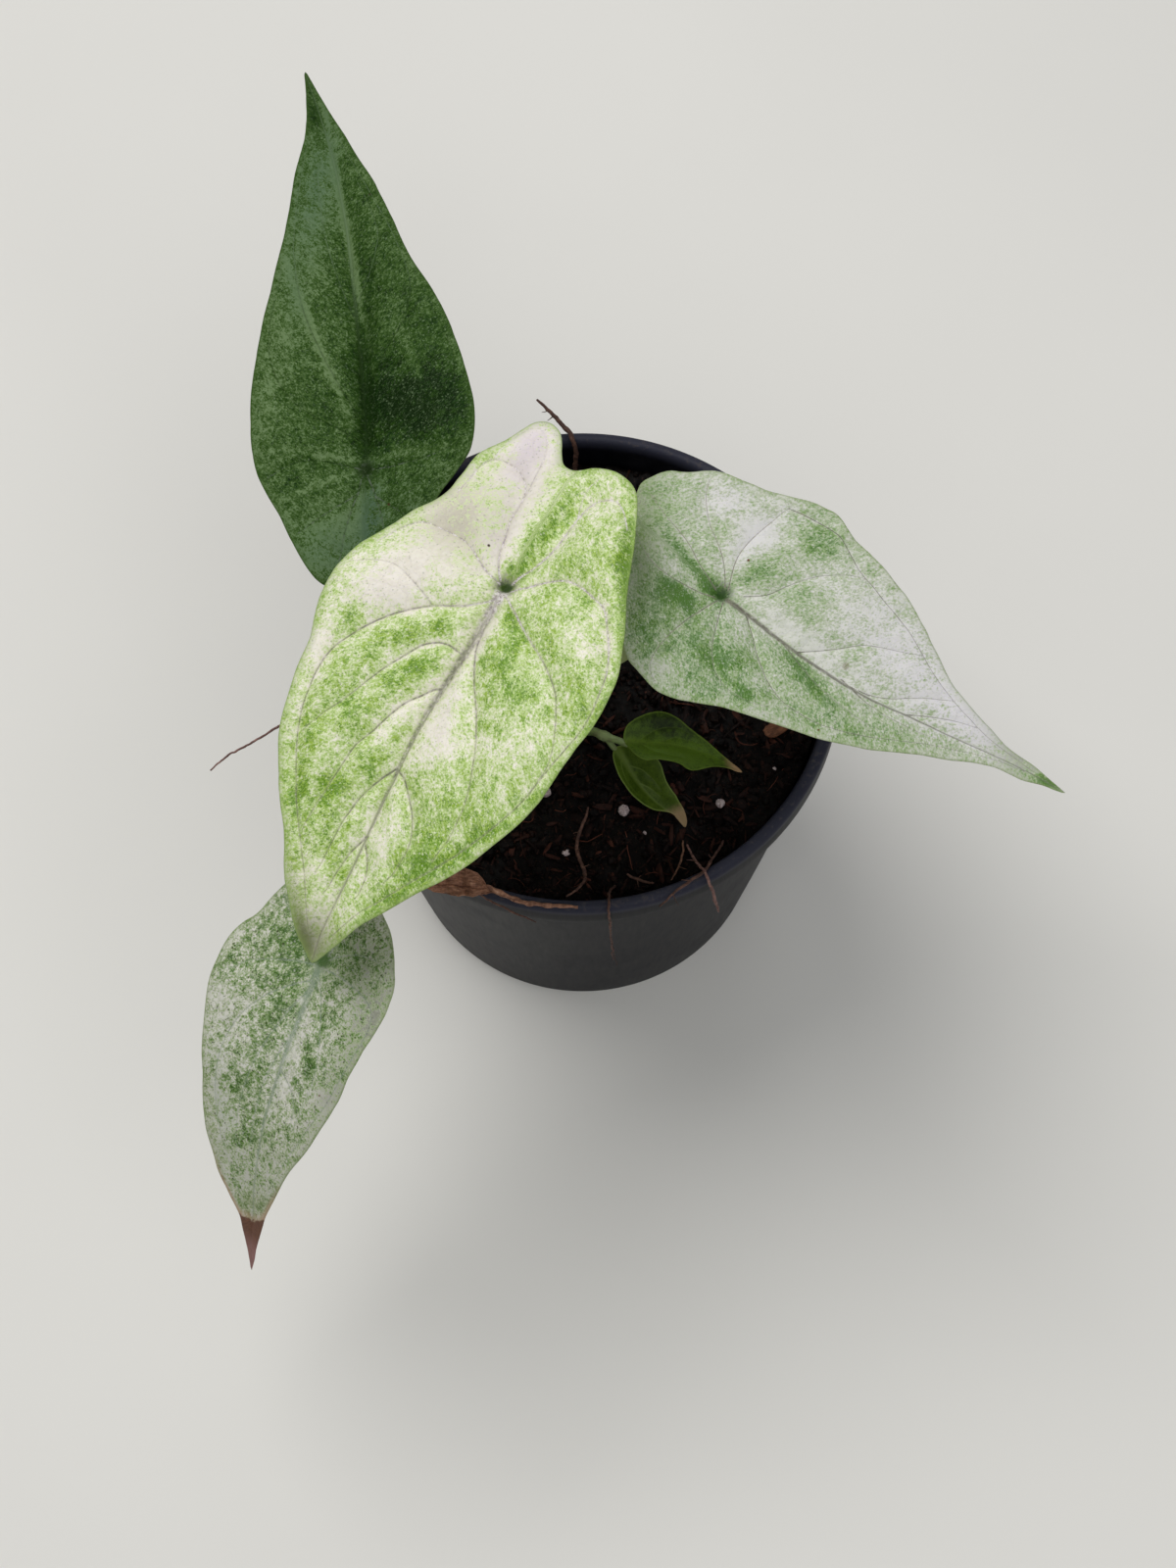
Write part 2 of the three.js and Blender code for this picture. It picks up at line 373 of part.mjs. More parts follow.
// ---------------------------------------------------------------- pot
function potGeometry() {
  const H = POT_HEIGHT, R = RIM_RADIUS, W = WALL_TOP_RADIUS;
  const profile = [
    [0, 0], [BASE_RADIUS - 1, 0], [BASE_RADIUS, 1],
    [W, H - LIP_DEPTH - 0.5], [W + 0.2, H - 2.4],
    [R - LIP_SKIRT - 0.1, H - 2.4], [R - LIP_SKIRT, H - LIP_DEPTH + 0.4],
    [R - 0.3, H - LIP_DEPTH], [R, H - LIP_DEPTH + 0.8], [R, H - 1.4], [R - 0.4, H - 0.5],
    [R - 1.2, H], [R - 2.2, H - 0.1], [R - 3, H - 0.9], [R - 3.4, H - 3],
    [W - WALL, H - LIP_DEPTH - 0.5], [BASE_RADIUS - WALL, WALL + 0.4], [BASE_RADIUS - WALL - 0.6, WALL], [0, WALL],
  ];
  let body = solid(turned(profile, POT_SEGMENTS));
  for (let i = 0; i < HOLE_COUNT; i++) {
    const a = ((i + 0.5) / HOLE_COUNT) * 2 * Math.PI;
    const hole = new THREE.CylinderGeometry(HOLE_RADIUS, HOLE_RADIUS, 6, 16);
    hole.rotateX(Math.PI / 2);
    hole.translate(HOLE_CIRCLE * Math.cos(a), HOLE_CIRCLE * Math.sin(a), 0);
    body = body.subtract(solid(hole));
  }
  return clean(fromSolid(body));
}

// ---------------------------------------------------------------- potting mix
function soilTop(x, y) {
  const dx = x - CROWN[0], dy = y - CROWN[1];
  return SOIL_LEVEL - 0.3 + 0.6 * Math.sin(x / 9 + 1) * Math.cos(y / 11)
    + 0.35 * Math.sin((x + y) / 8) + 1.4 * Math.exp(-(dx * dx + dy * dy) / 160);
}

const CROWN_PROFILE = [[0, 86], [4, 86.4], [6.4, 88.5], [7.6, 92], [7.9, 96], [7.5, 98.3], [6.9, CROWN_TOP], [0, CROWN_TOP]];

function crownGeometry(grow = 0) {
  const g = turned(CROWN_PROFILE.map(([r, z]) => [r > 0 ? r + grow : 0, z + (z > 92 ? grow : -grow)]), 20);
  g.translate(CROWN[0], CROWN[1], 0);
  return g;
}

function soilGeometry() {
  const inner = (z) => BASE_RADIUS - WALL + ((WALL_TOP_RADIUS - BASE_RADIUS) * (z - 1)) / (POT_HEIGHT - LIP_DEPTH - 1.5);
  const profile = [[0, WALL + GAP], [BASE_RADIUS - WALL - 1.2, WALL + GAP], [inner(4) - GAP - 0.15, 4]];
  const edge = inner(SOIL_LEVEL - 1) - GAP - 0.2;
  for (const s of [1, 0.86, 0.7, 0.54, 0.38, 0.2]) profile.push([edge * s, SOIL_LEVEL]);
  profile.push([0, SOIL_LEVEL]);
  const g = turned(profile, 40);
  const pos = g.attributes.position;
  for (let i = 0; i < pos.count; i++) {
    if (pos.getZ(i) < SOIL_LEVEL - 0.5) continue;
    const x = pos.getX(i), y = pos.getY(i);
    pos.setZ(i, Math.min(soilTop(x, y), SOIL_LEVEL + 1.5));
  }
  return clean(fromSolid(solid(g).subtract(solid(crownGeometry(GAP)))));
}

// ---------------------------------------------------------------- grains
function grain(x, y, size, seed, flat = 0.8) {
  const g = clean(new THREE.IcosahedronGeometry(1, 1));
  const pos = g.attributes.position;
  let low = Infinity;
  for (let i = 0; i < pos.count; i++) {
    const p = new THREE.Vector3().fromBufferAttribute(pos, i);
    const f = 1 + 0.13 * Math.sin(seed * 7.1 + p.x * 5 + p.y * 3) * Math.cos(seed * 2.3 + p.z * 4);
    pos.setXYZ(i, p.x * f * size / 2, p.y * f * size * 0.45, p.z * f * size * 0.5 * flat);
    low = Math.min(low, pos.getZ(i));
  }
  g.rotateZ(seed);
  g.translate(x, y, soilTop(x, y) + 0.55 - low);
  return g;
}

function chip(x, y, length, width, thick, turn) {
  const shape = new THREE.Shape();
  shape.moveTo(-length / 2, -width * 0.25);
  shape.lineTo(-length * 0.2, -width / 2);
  shape.lineTo(length * 0.35, -width * 0.42);
  shape.lineTo(length / 2, width * 0.1);
  shape.lineTo(length * 0.15, width / 2);
  shape.lineTo(-length * 0.4, width * 0.35);
  shape.closePath();
  const g = new THREE.ExtrudeGeometry(shape, { depth: thick, bevelEnabled: false });
  g.rotateZ(turn);
  g.translate(x, y, soilTop(x, y) + 0.6);
  return clean(g);
}

// ---------------------------------------------------------------- assembly
const plant = new THREE.Group();

function add(name, geometry, color, roughness, metalness = 0) {
  const g = geometry.clone();
  g.computeVertexNormals();
  const mesh = new THREE.Mesh(g, new THREE.MeshStandardMaterial({ color, roughness, metalness, side: THREE.FrontSide }));
  mesh.name = name;
  plant.add(mesh);
  return mesh;
}

add('pot', potGeometry(), 0x101114, 0.45);
add('potting_mix', soilGeometry(), 0x2a1a12, 0.95);
add('rhizome', crownGeometry(), 0x6a4a2c, 0.8);

const BLADE_COLORS = { rear: 0x2f5a2c, centre: 0xd7dcae, right: 0xc3ccb6, front: 0xb9c2ab };
for (const key of ['rear', 'centre', 'right', 'front']) {
  const p = PETIOLES[key];
  const curve = new THREE.CubicBezierCurve3(...p.path.map(vec));
  add(`petiole_${key}`, sweep(curve, (t) => {
    const r = p.foot + (p.top - p.foot) * Math.min(1, t * 1.5);
    return [r, r];
  }, 10, 14), 0x8fa067, 0.5);
  add(`leaf_${key}`, blade(BLADES[key]), BLADE_COLORS[key], 0.42);
}

// the offset: one stalk that forks to two young blades
{
  const p = PETIOLES.offset;
  const stalk = (pts, r0, r1) => solid(sweep(new THREE.CatmullRomCurve3(pts.map(vec)), taper(r0, (r0 + r1) / 2, r1), 8, 8));
  const joined = stalk(p.main, p.foot, p.top).add(stalk(p.branch, p.top * 1.05, p.top * 0.8));
  add('offset_stalk', clean(fromSolid(joined)), 0x93a06a, 0.5);
  add('offset_leaf_upper', blade(BLADES.offset_upper, 24, [0.35, 0.7, 1], 0.6), 0x4f6d22, 0.45);
  add('offset_leaf_lower', blade(BLADES.offset_lower, 24, [0.35, 0.7, 1], 0.6), 0x56702a, 0.45);
}

for (const [name, d] of Object.entries(STRANDS)) {
  const curve = new THREE.CatmullRomCurve3(d.path.map(vec), false, 'centripetal');
  const at = (t) => {
    const x = t * (d.across.length - 1), i = Math.min(Math.floor(x), d.across.length - 2), f = x - i;
    return [d.across[i] + (d.across[i + 1] - d.across[i]) * f, d.thick[i] + (d.thick[i + 1] - d.thick[i]) * f];
  };
  add(name, sweep(curve, at, d.sides, d.steps, d.flat ? new THREE.Vector3(0, 0, 1) : null), d.color, 0.75);
}

add('perlite_1', grain(9.5, -32.8, 2.9, 1.3), 0xe6dfdb, 0.9);
add('perlite_2', grain(31.4, -32.0, 2.3, 2.1), 0xded8d6, 0.9);
add('perlite_3', grain(-3.9, -42.8, 2.2, 3.4, 0.7), 0xded8d6, 0.9);
add('perlite_4', grain(-8.2, -28.4, 2.4, 4.2), 0xdad3cf, 0.9);
add('perlite_5', grain(24.0, 40.5, 2.4, 5.5), 0xdad3cf, 0.9);
add('bark_chip_1', chip(45.0, -13.0, 6.2, 3.4, 1.0, 0.5), 0xa4775a, 0.85);
add('bark_chip_2', chip(12.5, 44.5, 6.8, 3.6, 1.1, 2.4), 0x6e4436, 0.85);
add('bark_chip_3', chip(-33.0, 27.0, 7.4, 3.8, 1.1, 1.2), 0x5e3d2c, 0.85);

export default plant;
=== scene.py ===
import math
import bpy
import numpy as np
from mathutils import Vector, Matrix, geometry


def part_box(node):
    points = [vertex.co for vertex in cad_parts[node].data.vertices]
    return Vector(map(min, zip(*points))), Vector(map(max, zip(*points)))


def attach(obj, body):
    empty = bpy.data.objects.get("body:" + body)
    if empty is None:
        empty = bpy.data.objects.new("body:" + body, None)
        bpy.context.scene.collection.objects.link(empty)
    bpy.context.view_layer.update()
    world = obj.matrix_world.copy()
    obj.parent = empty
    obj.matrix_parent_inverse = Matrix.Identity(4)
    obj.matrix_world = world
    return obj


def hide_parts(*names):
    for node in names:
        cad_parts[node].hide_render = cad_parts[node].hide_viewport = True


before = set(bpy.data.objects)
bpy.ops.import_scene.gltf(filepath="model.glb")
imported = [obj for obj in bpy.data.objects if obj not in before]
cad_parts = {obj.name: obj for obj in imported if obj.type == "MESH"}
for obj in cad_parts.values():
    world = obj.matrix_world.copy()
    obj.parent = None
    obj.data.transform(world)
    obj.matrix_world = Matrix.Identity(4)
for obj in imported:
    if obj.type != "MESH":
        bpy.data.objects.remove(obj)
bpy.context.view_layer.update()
MM = 0.001
TAU = 2 * math.pi

# ------------------------------------------------------------------ measured shapes, in mm
# Each blade has a local frame at its stalk: u runs to the tip, v to its right, and h is its height.
LEAVES = {
    "rear": {
        "at": [-45.27, 22.25, 160.0],
        "az": 90.744,
        "dip": -8,
        "roll": -14,
        "par": {"k": 0.0012, "kb": 0.0, "s": 0.22, "w": 6.0, "q": 0.0035, "b": -0.001618},
        "outline": [[101.0, -16.9], [98.2, -15.3], [95.3, -13.8], [92.5, -12.3], [89.7, -10.8], [86.9, -9.2], [84.2, -7.6],
            [81.5, -6.0], [78.8, -4.6], [76.0, -3.1], [73.4, -1.6], [70.8, -0.0], [68.1, 1.5], [65.4, 2.7], [62.7, 4.0],
            [60.0, 5.2], [57.4, 6.4], [54.7, 7.5], [52.1, 8.6], [49.5, 9.8], [46.9, 11.1], [44.5, 12.5], [42.1, 14.0],
            [39.7, 15.4], [37.2, 16.7], [34.8, 17.9], [32.3, 19.0], [29.8, 20.0], [27.3, 20.8], [24.8, 21.7], [22.3, 22.5],
            [19.8, 23.2], [17.3, 23.9], [14.8, 24.5], [12.3, 25.0], [9.9, 25.2], [7.4, 25.2], [5.0, 25.0], [2.6, 24.6],
            [0.4, 23.9], [-1.5, 22.7], [-3.4, 21.3], [-5.1, 19.9], [-6.8, 18.3], [-8.6, 16.8], [-10.4, 15.5], [-12.3, 14.2],
            [-14.2, 13.0], [-16.2, 11.8], [-18.1, 10.5], [-19.9, 9.1], [-21.4, 7.4], [-22.5, 5.4], [-22.5, 3.1], [-21.2, 1.1],
            [-20.0, -0.4], [-21.4, -1.7], [-23.3, -2.9], [-25.0, -4.4], [-26.0, -6.4], [-25.6, -8.6], [-24.2, -10.5],
            [-22.3, -12.0], [-20.2, -13.3], [-18.0, -14.5], [-15.8, -15.6], [-13.6, -16.7], [-11.3, -17.7], [-9.0, -18.7],
            [-6.8, -19.9], [-4.6, -21.1], [-2.3, -22.2], [0.0, -23.2], [2.4, -23.9], [4.9, -24.4], [7.4, -24.8], [9.9, -25.0],
            [12.4, -25.0], [14.9, -25.1], [17.5, -25.1], [20.0, -25.0], [22.5, -24.8], [25.0, -24.5], [27.5, -24.1],
            [30.0, -23.7], [32.5, -23.2], [35.0, -22.8], [37.5, -22.4], [40.1, -21.9], [42.6, -21.4], [45.1, -21.0],
            [47.7, -20.6], [50.3, -20.1], [52.9, -19.6], [55.5, -19.1], [58.1, -18.7], [60.8, -18.4], [63.5, -18.0],
            [66.2, -17.7], [69.0, -17.4], [71.8, -17.2], [74.6, -16.9], [77.4, -16.5], [80.1, -16.1], [82.9, -15.7],
            [85.8, -15.6], [88.8, -15.6], [91.8, -15.9], [94.9, -16.2], [97.9, -16.6]],
        "notch": None,
        "mid": [[0.0, -0.0], [6.6, -0.4], [13.2, -0.8], [19.9, -1.2], [26.7, -1.6], [33.6, -2.2], [40.6, -3.0], [47.7, -3.9],
            [55.0, -4.8], [62.3, -6.0], [69.8, -7.5], [77.4, -9.2], [85.2, -11.5], [93.0, -14.1], [101.0, -16.9]],
        "veins": [["lat", [[0.0, -0.0], [0.7, -2.5], [1.4, -5.0], [2.1, -7.5], [2.6, -10.0], [2.8, -12.5], [2.5, -14.9],
            [1.7, -17.3], [0.5, -19.4], [-0.9, -21.5]]], ["lat", [[0.0, 0.0], [-0.1, 2.8], [-0.2, 5.6], [-0.0, 8.4],
            [0.2, 11.1], [0.6, 13.8], [1.1, 16.5], [1.8, 19.1], [2.6, 21.6]]], ["lat", [[10.8, -0.8], [13.2, -2.1],
            [15.7, -3.5], [18.1, -4.8], [20.6, -6.1], [23.0, -7.3], [25.5, -8.6], [28.1, -9.7], [30.7, -10.9], [33.3, -12.0],
            [36.0, -13.0], [38.7, -13.9], [41.5, -14.6], [44.4, -15.2], [47.3, -15.7], [50.2, -16.1], [53.1, -16.5],
            [56.0, -16.6], [58.9, -16.6], [61.9, -16.5], [64.8, -16.3], [67.8, -16.1], [70.7, -15.8], [73.7, -15.6],
            [76.8, -15.4], [79.8, -15.2], [82.9, -15.0]]], ["lat", [[17.7, -1.0], [19.8, 0.4], [21.9, 1.7], [24.0, 3.2],
            [26.1, 4.6], [28.2, 6.1], [30.3, 7.5], [32.5, 8.7], [34.8, 9.8], [37.4, 10.4], [40.1, 10.8], [42.9, 10.5],
            [45.7, 9.7], [48.6, 8.8], [51.4, 7.6], [54.3, 6.4], [57.1, 5.1], [59.9, 3.7], [62.7, 2.2], [65.6, 0.7],
            [68.5, -0.8], [71.3, -2.4], [74.2, -3.9], [77.1, -5.5], [80.1, -7.0], [83.1, -8.6], [86.0, -10.2], [89.0, -11.7]]],
            ["lat", [[34.0, -2.3], [36.9, -3.3], [39.7, -4.4], [42.6, -5.5], [45.5, -6.5], [48.4, -7.5], [51.4, -8.4],
            [54.5, -9.2], [57.5, -9.9], [60.6, -10.5], [63.8, -11.0], [67.0, -11.4], [70.2, -11.8], [73.4, -12.2]]],
            ["lat", [[38.8, -2.8], [41.3, -1.6], [43.7, -0.4], [46.2, 0.7], [48.8, 1.7], [51.5, 2.3], [54.4, 2.7], [57.4, 2.2],
            [60.5, 1.2], [63.5, 0.0], [66.5, -1.3], [69.6, -2.8]]], ["lat", [[6.3, -0.4], [7.7, -2.7], [9.1, -5.0],
            [10.5, -7.3], [11.9, -9.6], [13.4, -11.9], [15.1, -14.0], [17.0, -16.0], [19.3, -17.6], [21.8, -19.1],
            [24.4, -20.1], [27.2, -20.9], [30.0, -21.2], [32.8, -21.2], [35.6, -21.0], [38.4, -20.6], [41.1, -20.2],
            [43.9, -19.8], [46.7, -19.3], [49.6, -18.9]]], ["lat", [[6.3, -0.4], [7.0, 2.1], [7.6, 4.6], [8.3, 7.1], [9.0, 9.6],
            [9.9, 12.1], [11.1, 14.3], [12.5, 16.4], [14.1, 18.2], [16.2, 19.6], [18.4, 20.7], [21.1, 20.8], [23.8, 20.5],
            [26.5, 19.6], [29.2, 18.5], [31.9, 17.3], [34.5, 16.0], [37.2, 14.7]]], ["post", [[0.0, 0.0], [-2.5, -0.9],
            [-5.1, -1.8], [-7.6, -2.8], [-10.2, -3.6], [-12.8, -4.4], [-15.4, -5.0], [-18.1, -5.4], [-20.8, -5.8]]],
            ["post", [[-0.0, 0.0], [-2.5, 0.9], [-5.0, 1.8], [-7.6, 2.6], [-10.1, 3.3], [-12.7, 3.8], [-15.2, 4.1],
            [-17.8, 4.3], [-20.4, 4.4]]], ["lat", [[-5.3, -1.8], [-6.6, -4.0], [-7.9, -6.3], [-9.2, -8.4], [-10.5, -10.6],
            [-12.0, -12.7], [-13.6, -14.7]]], ["lat", [[-6.5, 2.4], [-8.1, 4.5], [-9.7, 6.6], [-11.4, 8.7], [-12.7, 10.9],
            [-12.9, 13.3]]]],
        "patches": [["dens", 31.9, -17.9, 17.4, 4.4, 6.0, -0.22], ["dens", -14.3, -6.0, 6.5, 6.0, 123.0, -0.3],
            ["dens", -13.6, 7.2, 7.0, 5.5, 112.0, -0.04], ["dens", 66.9, -11.6, 15.0, 3.0, 5.0, -0.14],
            ["dens", 57.3, -5.1, 19.1, 0.5, 169.0, -0.8], ["dens", 31.3, -10.9, 14.5, 0.6, 159.0, -0.6],
            ["dens", 3.3, -6.9, 5.6, 0.5, 99.0, -0.34], ["dens", 2.2, 9.1, 7.6, 0.5, 89.0, -0.28],
            ["dens", -2.9, -9.9, 8.4, 0.5, 71.0, -0.28], ["dens", -9.2, -0.8, 5.7, 0.6, 179.0, -0.4],
            ["dens", 24.9, 11.1, 9.7, 0.7, 161.0, -0.2], ["dens", 12.7, 12.2, 7.0, 5.2, 111.0, 0.6],
            ["dens", 10.1, 4.6, 13.5, 2.3, 0.0, 0.2], ["dens", 31.3, 13.8, 12.2, 3.5, 161.0, 0.1],
            ["dens", 15.3, -0.1, 15.9, 1.6, 180.0, 0.3], ["dens", 90.9, -15.1, 6.2, 1.3, 167.0, 0.3],
            ["dens", 50.4, 6.2, 10.4, 2.0, 156.0, -0.08], ["dens", 10.4, -21.9, 9.1, 2.2, 179.0, -0.12],
            ["dens", -9.8, 4.3, 4.5, 1.1, 170.0, -0.1], ["hue_and_sheen", 69.5, -12.4, 15.1, 4.1, 5.0, 0.5],
            ["hue_and_sheen", -18.6, -6.0, 8.5, 5.7, 97.0, 0.42], ["hue_and_sheen", -10.3, 7.3, 7.2, 6.2, 130.0, 0.3],
            ["hue_and_sheen", -9.4, 1.2, 8.8, 1.6, 1.0, 0.5], ["hue_and_sheen", 42.5, -16.0, 7.4, 1.7, 169.0, 0.15],
            ["olive", 17.5, -0.1, 16.0, 2.0, 180.0, 0.6], ["olive", 91.5, -15.1, 6.7, 1.8, 167.0, 0.5],
            ["olive", 12.7, 12.2, 7.0, 4.8, 108.0, 0.35], ["lift", -2.2, -0.0, 1.4, 1.3, 138.0, 1.5],
            ["lift", -9.4, 1.0, 5.7, 0.9, 179.0, 0.7], ["lift", 19.8, -0.1, 18.3, 1.3, 180.0, -0.9],
            ["lift", 18.9, -15.5, 13.7, 3.9, 4.0, 0.5], ["lift", 19.9, 13.3, 14.0, 4.0, 170.0, 0.5]],
        "spots": [[-8.7, 5.3, 0.4, 0.7], [65.4, 0.5, 0.3, 0.3]],
    },
    "centre": {
        "at": [-15.23, -13.04, 176.0],
        "az": -123.161,
        "dip": 8,
        "roll": 9,
        "par": {"k": 0.003038, "kb": 0.0008, "s": 0.2, "w": 6.0, "q": 0.0035, "b": 0.0},
        "outline": [[84.9, -0.5], [83.9, 1.5], [82.7, 3.2], [81.5, 4.9], [80.0, 6.4], [78.5, 7.7], [76.8, 9.0], [75.3, 10.3],
            [73.7, 11.7], [72.0, 12.8], [70.2, 13.8], [68.3, 14.7], [66.5, 15.7], [64.7, 16.8], [63.0, 18.1], [61.4, 19.4],
            [59.7, 20.6], [57.9, 21.8], [56.0, 22.8], [54.1, 23.9], [52.2, 24.9], [50.3, 25.9], [48.3, 26.7], [46.3, 27.4],
            [44.2, 28.0], [42.1, 28.5], [40.0, 29.0], [37.9, 29.5], [35.7, 29.9], [33.5, 30.1], [31.3, 30.2], [29.1, 30.4],
            [27.0, 31.1], [24.9, 31.9], [22.7, 32.6], [20.6, 33.1], [18.3, 33.3], [16.1, 33.3], [13.9, 33.2], [11.7, 32.7],
            [9.5, 32.2], [7.3, 31.6], [5.3, 30.6], [3.4, 29.5], [1.4, 28.4], [-0.5, 27.3], [-2.6, 26.3], [-4.6, 25.3],
            [-6.4, 24.0], [-8.2, 22.7], [-10.2, 21.7], [-12.4, 21.0], [-14.6, 20.8], [-16.9, 20.5], [-19.2, 20.4],
            [-21.5, 20.1], [-23.5, 19.2], [-25.5, 18.0], [-27.4, 16.9], [-29.5, 16.0], [-31.5, 15.1], [-33.4, 14.0],
            [-34.7, 12.2], [-34.9, 10.0], [-34.0, 7.8], [-32.2, 6.2], [-30.1, 4.9], [-28.3, 3.3], [-28.1, 1.0], [-29.1, -0.9],
            [-30.5, -2.7], [-31.4, -4.8], [-31.9, -7.1], [-31.8, -9.6], [-31.1, -12.1], [-29.5, -14.1], [-27.5, -15.5],
            [-25.4, -16.8], [-23.2, -18.0], [-21.1, -19.2], [-18.9, -20.3], [-16.7, -21.3], [-14.6, -22.3], [-12.4, -23.3],
            [-10.3, -24.4], [-8.2, -25.5], [-6.2, -26.7], [-4.1, -27.9], [-2.1, -29.0], [-0.0, -30.0], [2.1, -31.0],
            [4.1, -32.0], [6.2, -32.9], [8.3, -33.5], [10.5, -33.8], [12.6, -34.0], [14.8, -34.1], [17.0, -34.0], [19.1, -33.8],
            [21.2, -33.4], [23.3, -33.0], [25.4, -32.8], [27.5, -32.5], [29.6, -32.3], [31.7, -32.1], [33.8, -31.9],
            [35.9, -31.6], [38.0, -31.1], [40.0, -30.6], [42.1, -29.9], [44.1, -29.1], [46.0, -28.2], [47.9, -27.2],
            [49.8, -26.2], [51.8, -25.1], [53.6, -24.0], [55.5, -22.7], [57.3, -21.4], [59.1, -20.0], [60.8, -18.5],
            [62.5, -17.0], [64.3, -15.5], [66.1, -14.1], [67.9, -12.7], [69.7, -11.3], [71.5, -9.8], [73.3, -8.3], [75.2, -7.0],
            [77.2, -5.8], [79.2, -4.6], [81.1, -3.3], [83.1, -2.0]],
        "notch": 67,
        "mid": [[0.7, -0.1], [7.0, -0.5], [13.2, -0.5], [19.3, -0.2], [25.4, -0.0], [31.5, 0.4], [37.5, 0.4], [43.5, 0.2],
            [49.4, -0.0], [55.3, -0.2], [61.2, -0.3], [67.1, -0.3], [73.0, 0.1], [78.9, 0.4], [84.6, -0.4]],
        "veins": [["lat", [[0.7, -1.1], [-0.7, -3.1], [-2.1, -5.1], [-3.8, -7.0], [-5.2, -8.9], [-6.4, -11.1], [-6.8, -13.7],
            [-6.5, -16.3], [-5.8, -18.9], [-5.1, -21.5], [-3.6, -23.5], [-1.5, -25.1], [0.5, -26.7], [2.6, -28.2], [4.7, -29.5],
            [7.0, -30.6], [9.3, -31.2], [11.7, -31.7], [14.0, -32.1], [16.4, -32.3], [18.7, -32.2], [21.0, -32.0],
            [23.3, -31.4], [25.6, -30.9], [27.8, -30.3], [30.1, -29.9], [32.4, -29.4], [34.7, -28.9], [36.9, -28.4],
            [39.1, -27.8], [41.3, -26.9], [43.5, -26.0], [45.6, -25.0], [47.7, -23.9], [49.8, -22.7], [51.9, -21.4],
            [53.9, -20.1], [55.9, -18.7], [57.9, -17.2], [59.8, -15.7], [61.8, -14.1], [63.8, -12.6], [65.8, -11.1],
            [67.8, -9.6], [69.8, -8.0], [71.8, -6.5], [74.0, -5.2], [76.1, -4.1], [78.3, -2.9]]], ["lat", [[1.5, -0.9],
            [2.9, -3.2], [4.3, -5.6], [5.8, -8.0], [7.2, -10.4], [8.5, -12.8], [9.8, -15.3], [11.1, -17.6], [12.6, -19.8],
            [14.2, -21.8], [16.0, -23.6], [18.1, -25.0], [20.2, -26.2], [22.4, -27.3], [24.6, -28.3], [26.8, -29.1],
            [29.1, -29.5], [31.4, -29.3], [33.7, -29.1], [36.0, -28.9]]], ["lat", [[9.7, -0.9], [12.1, -1.4], [14.5, -2.0],
            [16.7, -3.2], [18.9, -4.5], [21.0, -5.9], [23.1, -7.5], [25.1, -9.0], [27.2, -10.4], [29.3, -11.7], [31.4, -12.9],
            [33.6, -14.0], [35.8, -14.9], [38.0, -15.8], [40.2, -16.6], [42.5, -17.2], [44.8, -17.6], [47.1, -17.7],
            [49.4, -17.7], [51.7, -17.5], [54.0, -17.2], [56.3, -16.8]]], ["lat", [[43.4, 0.2], [44.4, -2.0], [46.0, -3.8],
            [47.7, -5.5], [49.5, -7.2], [51.4, -8.5], [53.4, -9.5], [55.6, -10.1], [57.8, -10.1], [60.1, -9.9], [62.3, -9.5],
            [64.6, -8.9]]], ["lat", [[59.2, -0.3], [61.0, -1.9], [63.1, -3.2], [65.3, -4.0], [67.6, -4.2], [70.0, -4.2]]],
            ["lat", [[3.2, 0.0], [5.0, 1.6], [6.6, 3.4], [8.1, 5.3], [9.3, 7.5], [10.4, 9.6], [11.8, 11.7], [13.3, 13.6],
            [15.0, 15.4], [16.7, 17.1], [18.5, 18.7], [20.4, 20.3], [22.4, 21.7], [24.5, 22.9], [26.7, 24.1], [28.9, 25.1],
            [31.2, 25.6], [33.5, 25.8], [35.9, 25.8], [38.3, 25.5], [40.6, 25.2], [42.9, 24.7], [45.1, 24.0], [47.3, 23.2],
            [49.4, 22.2], [51.5, 21.2], [53.5, 20.1], [55.5, 18.9], [57.5, 17.8], [59.5, 16.5], [61.3, 15.2], [63.2, 13.9],
            [65.0, 12.6], [66.9, 11.3], [68.7, 10.0], [70.6, 8.7], [72.5, 7.5], [74.4, 6.3], [76.2, 5.1], [78.1, 3.9],
            [79.9, 2.7]]], ["lat2", [[11.0, 10.8], [10.0, 13.3], [9.1, 15.9], [8.3, 18.5], [7.7, 21.1], [8.0, 23.8],
            [8.9, 26.3], [10.1, 28.7], [11.5, 31.0]]], ["lat", [[-0.0, 1.4], [-0.4, 3.9], [-1.3, 6.2], [-2.5, 8.5],
            [-3.7, 10.8], [-4.2, 13.2], [-4.2, 15.7], [-4.0, 18.2], [-3.8, 20.8], [-2.9, 22.9], [-1.2, 24.7], [0.7, 26.1],
            [2.8, 27.3], [4.9, 28.4]]], ["lat", [[-0.7, 1.8], [-2.8, 3.3], [-5.0, 4.4], [-7.4, 5.0], [-9.8, 5.6], [-12.2, 6.3],
            [-14.5, 6.3], [-17.0, 6.4], [-19.3, 7.0], [-21.3, 8.5], [-22.6, 10.7], [-23.1, 13.1], [-22.9, 15.6], [-21.7, 17.4],
            [-19.5, 18.4], [-17.1, 18.6], [-14.7, 18.8], [-12.3, 19.0]]], ["lat2", [[-12.5, 6.5], [-15.0, 6.4], [-17.5, 6.3],
            [-19.9, 6.3], [-22.4, 6.5], [-24.9, 6.8], [-27.4, 7.3], [-29.8, 8.3], [-31.9, 9.8], [-32.9, 11.9], [-31.9, 13.9],
            [-29.8, 15.1], [-27.5, 15.9], [-25.2, 16.5], [-22.7, 16.7]]], ["lat", [[16.9, -1.1], [16.6, 1.5], [16.5, 4.0],
            [17.4, 6.1], [18.9, 8.0], [20.8, 9.3], [22.8, 10.5], [24.9, 11.7], [27.0, 12.8], [29.1, 13.8], [31.3, 14.9],
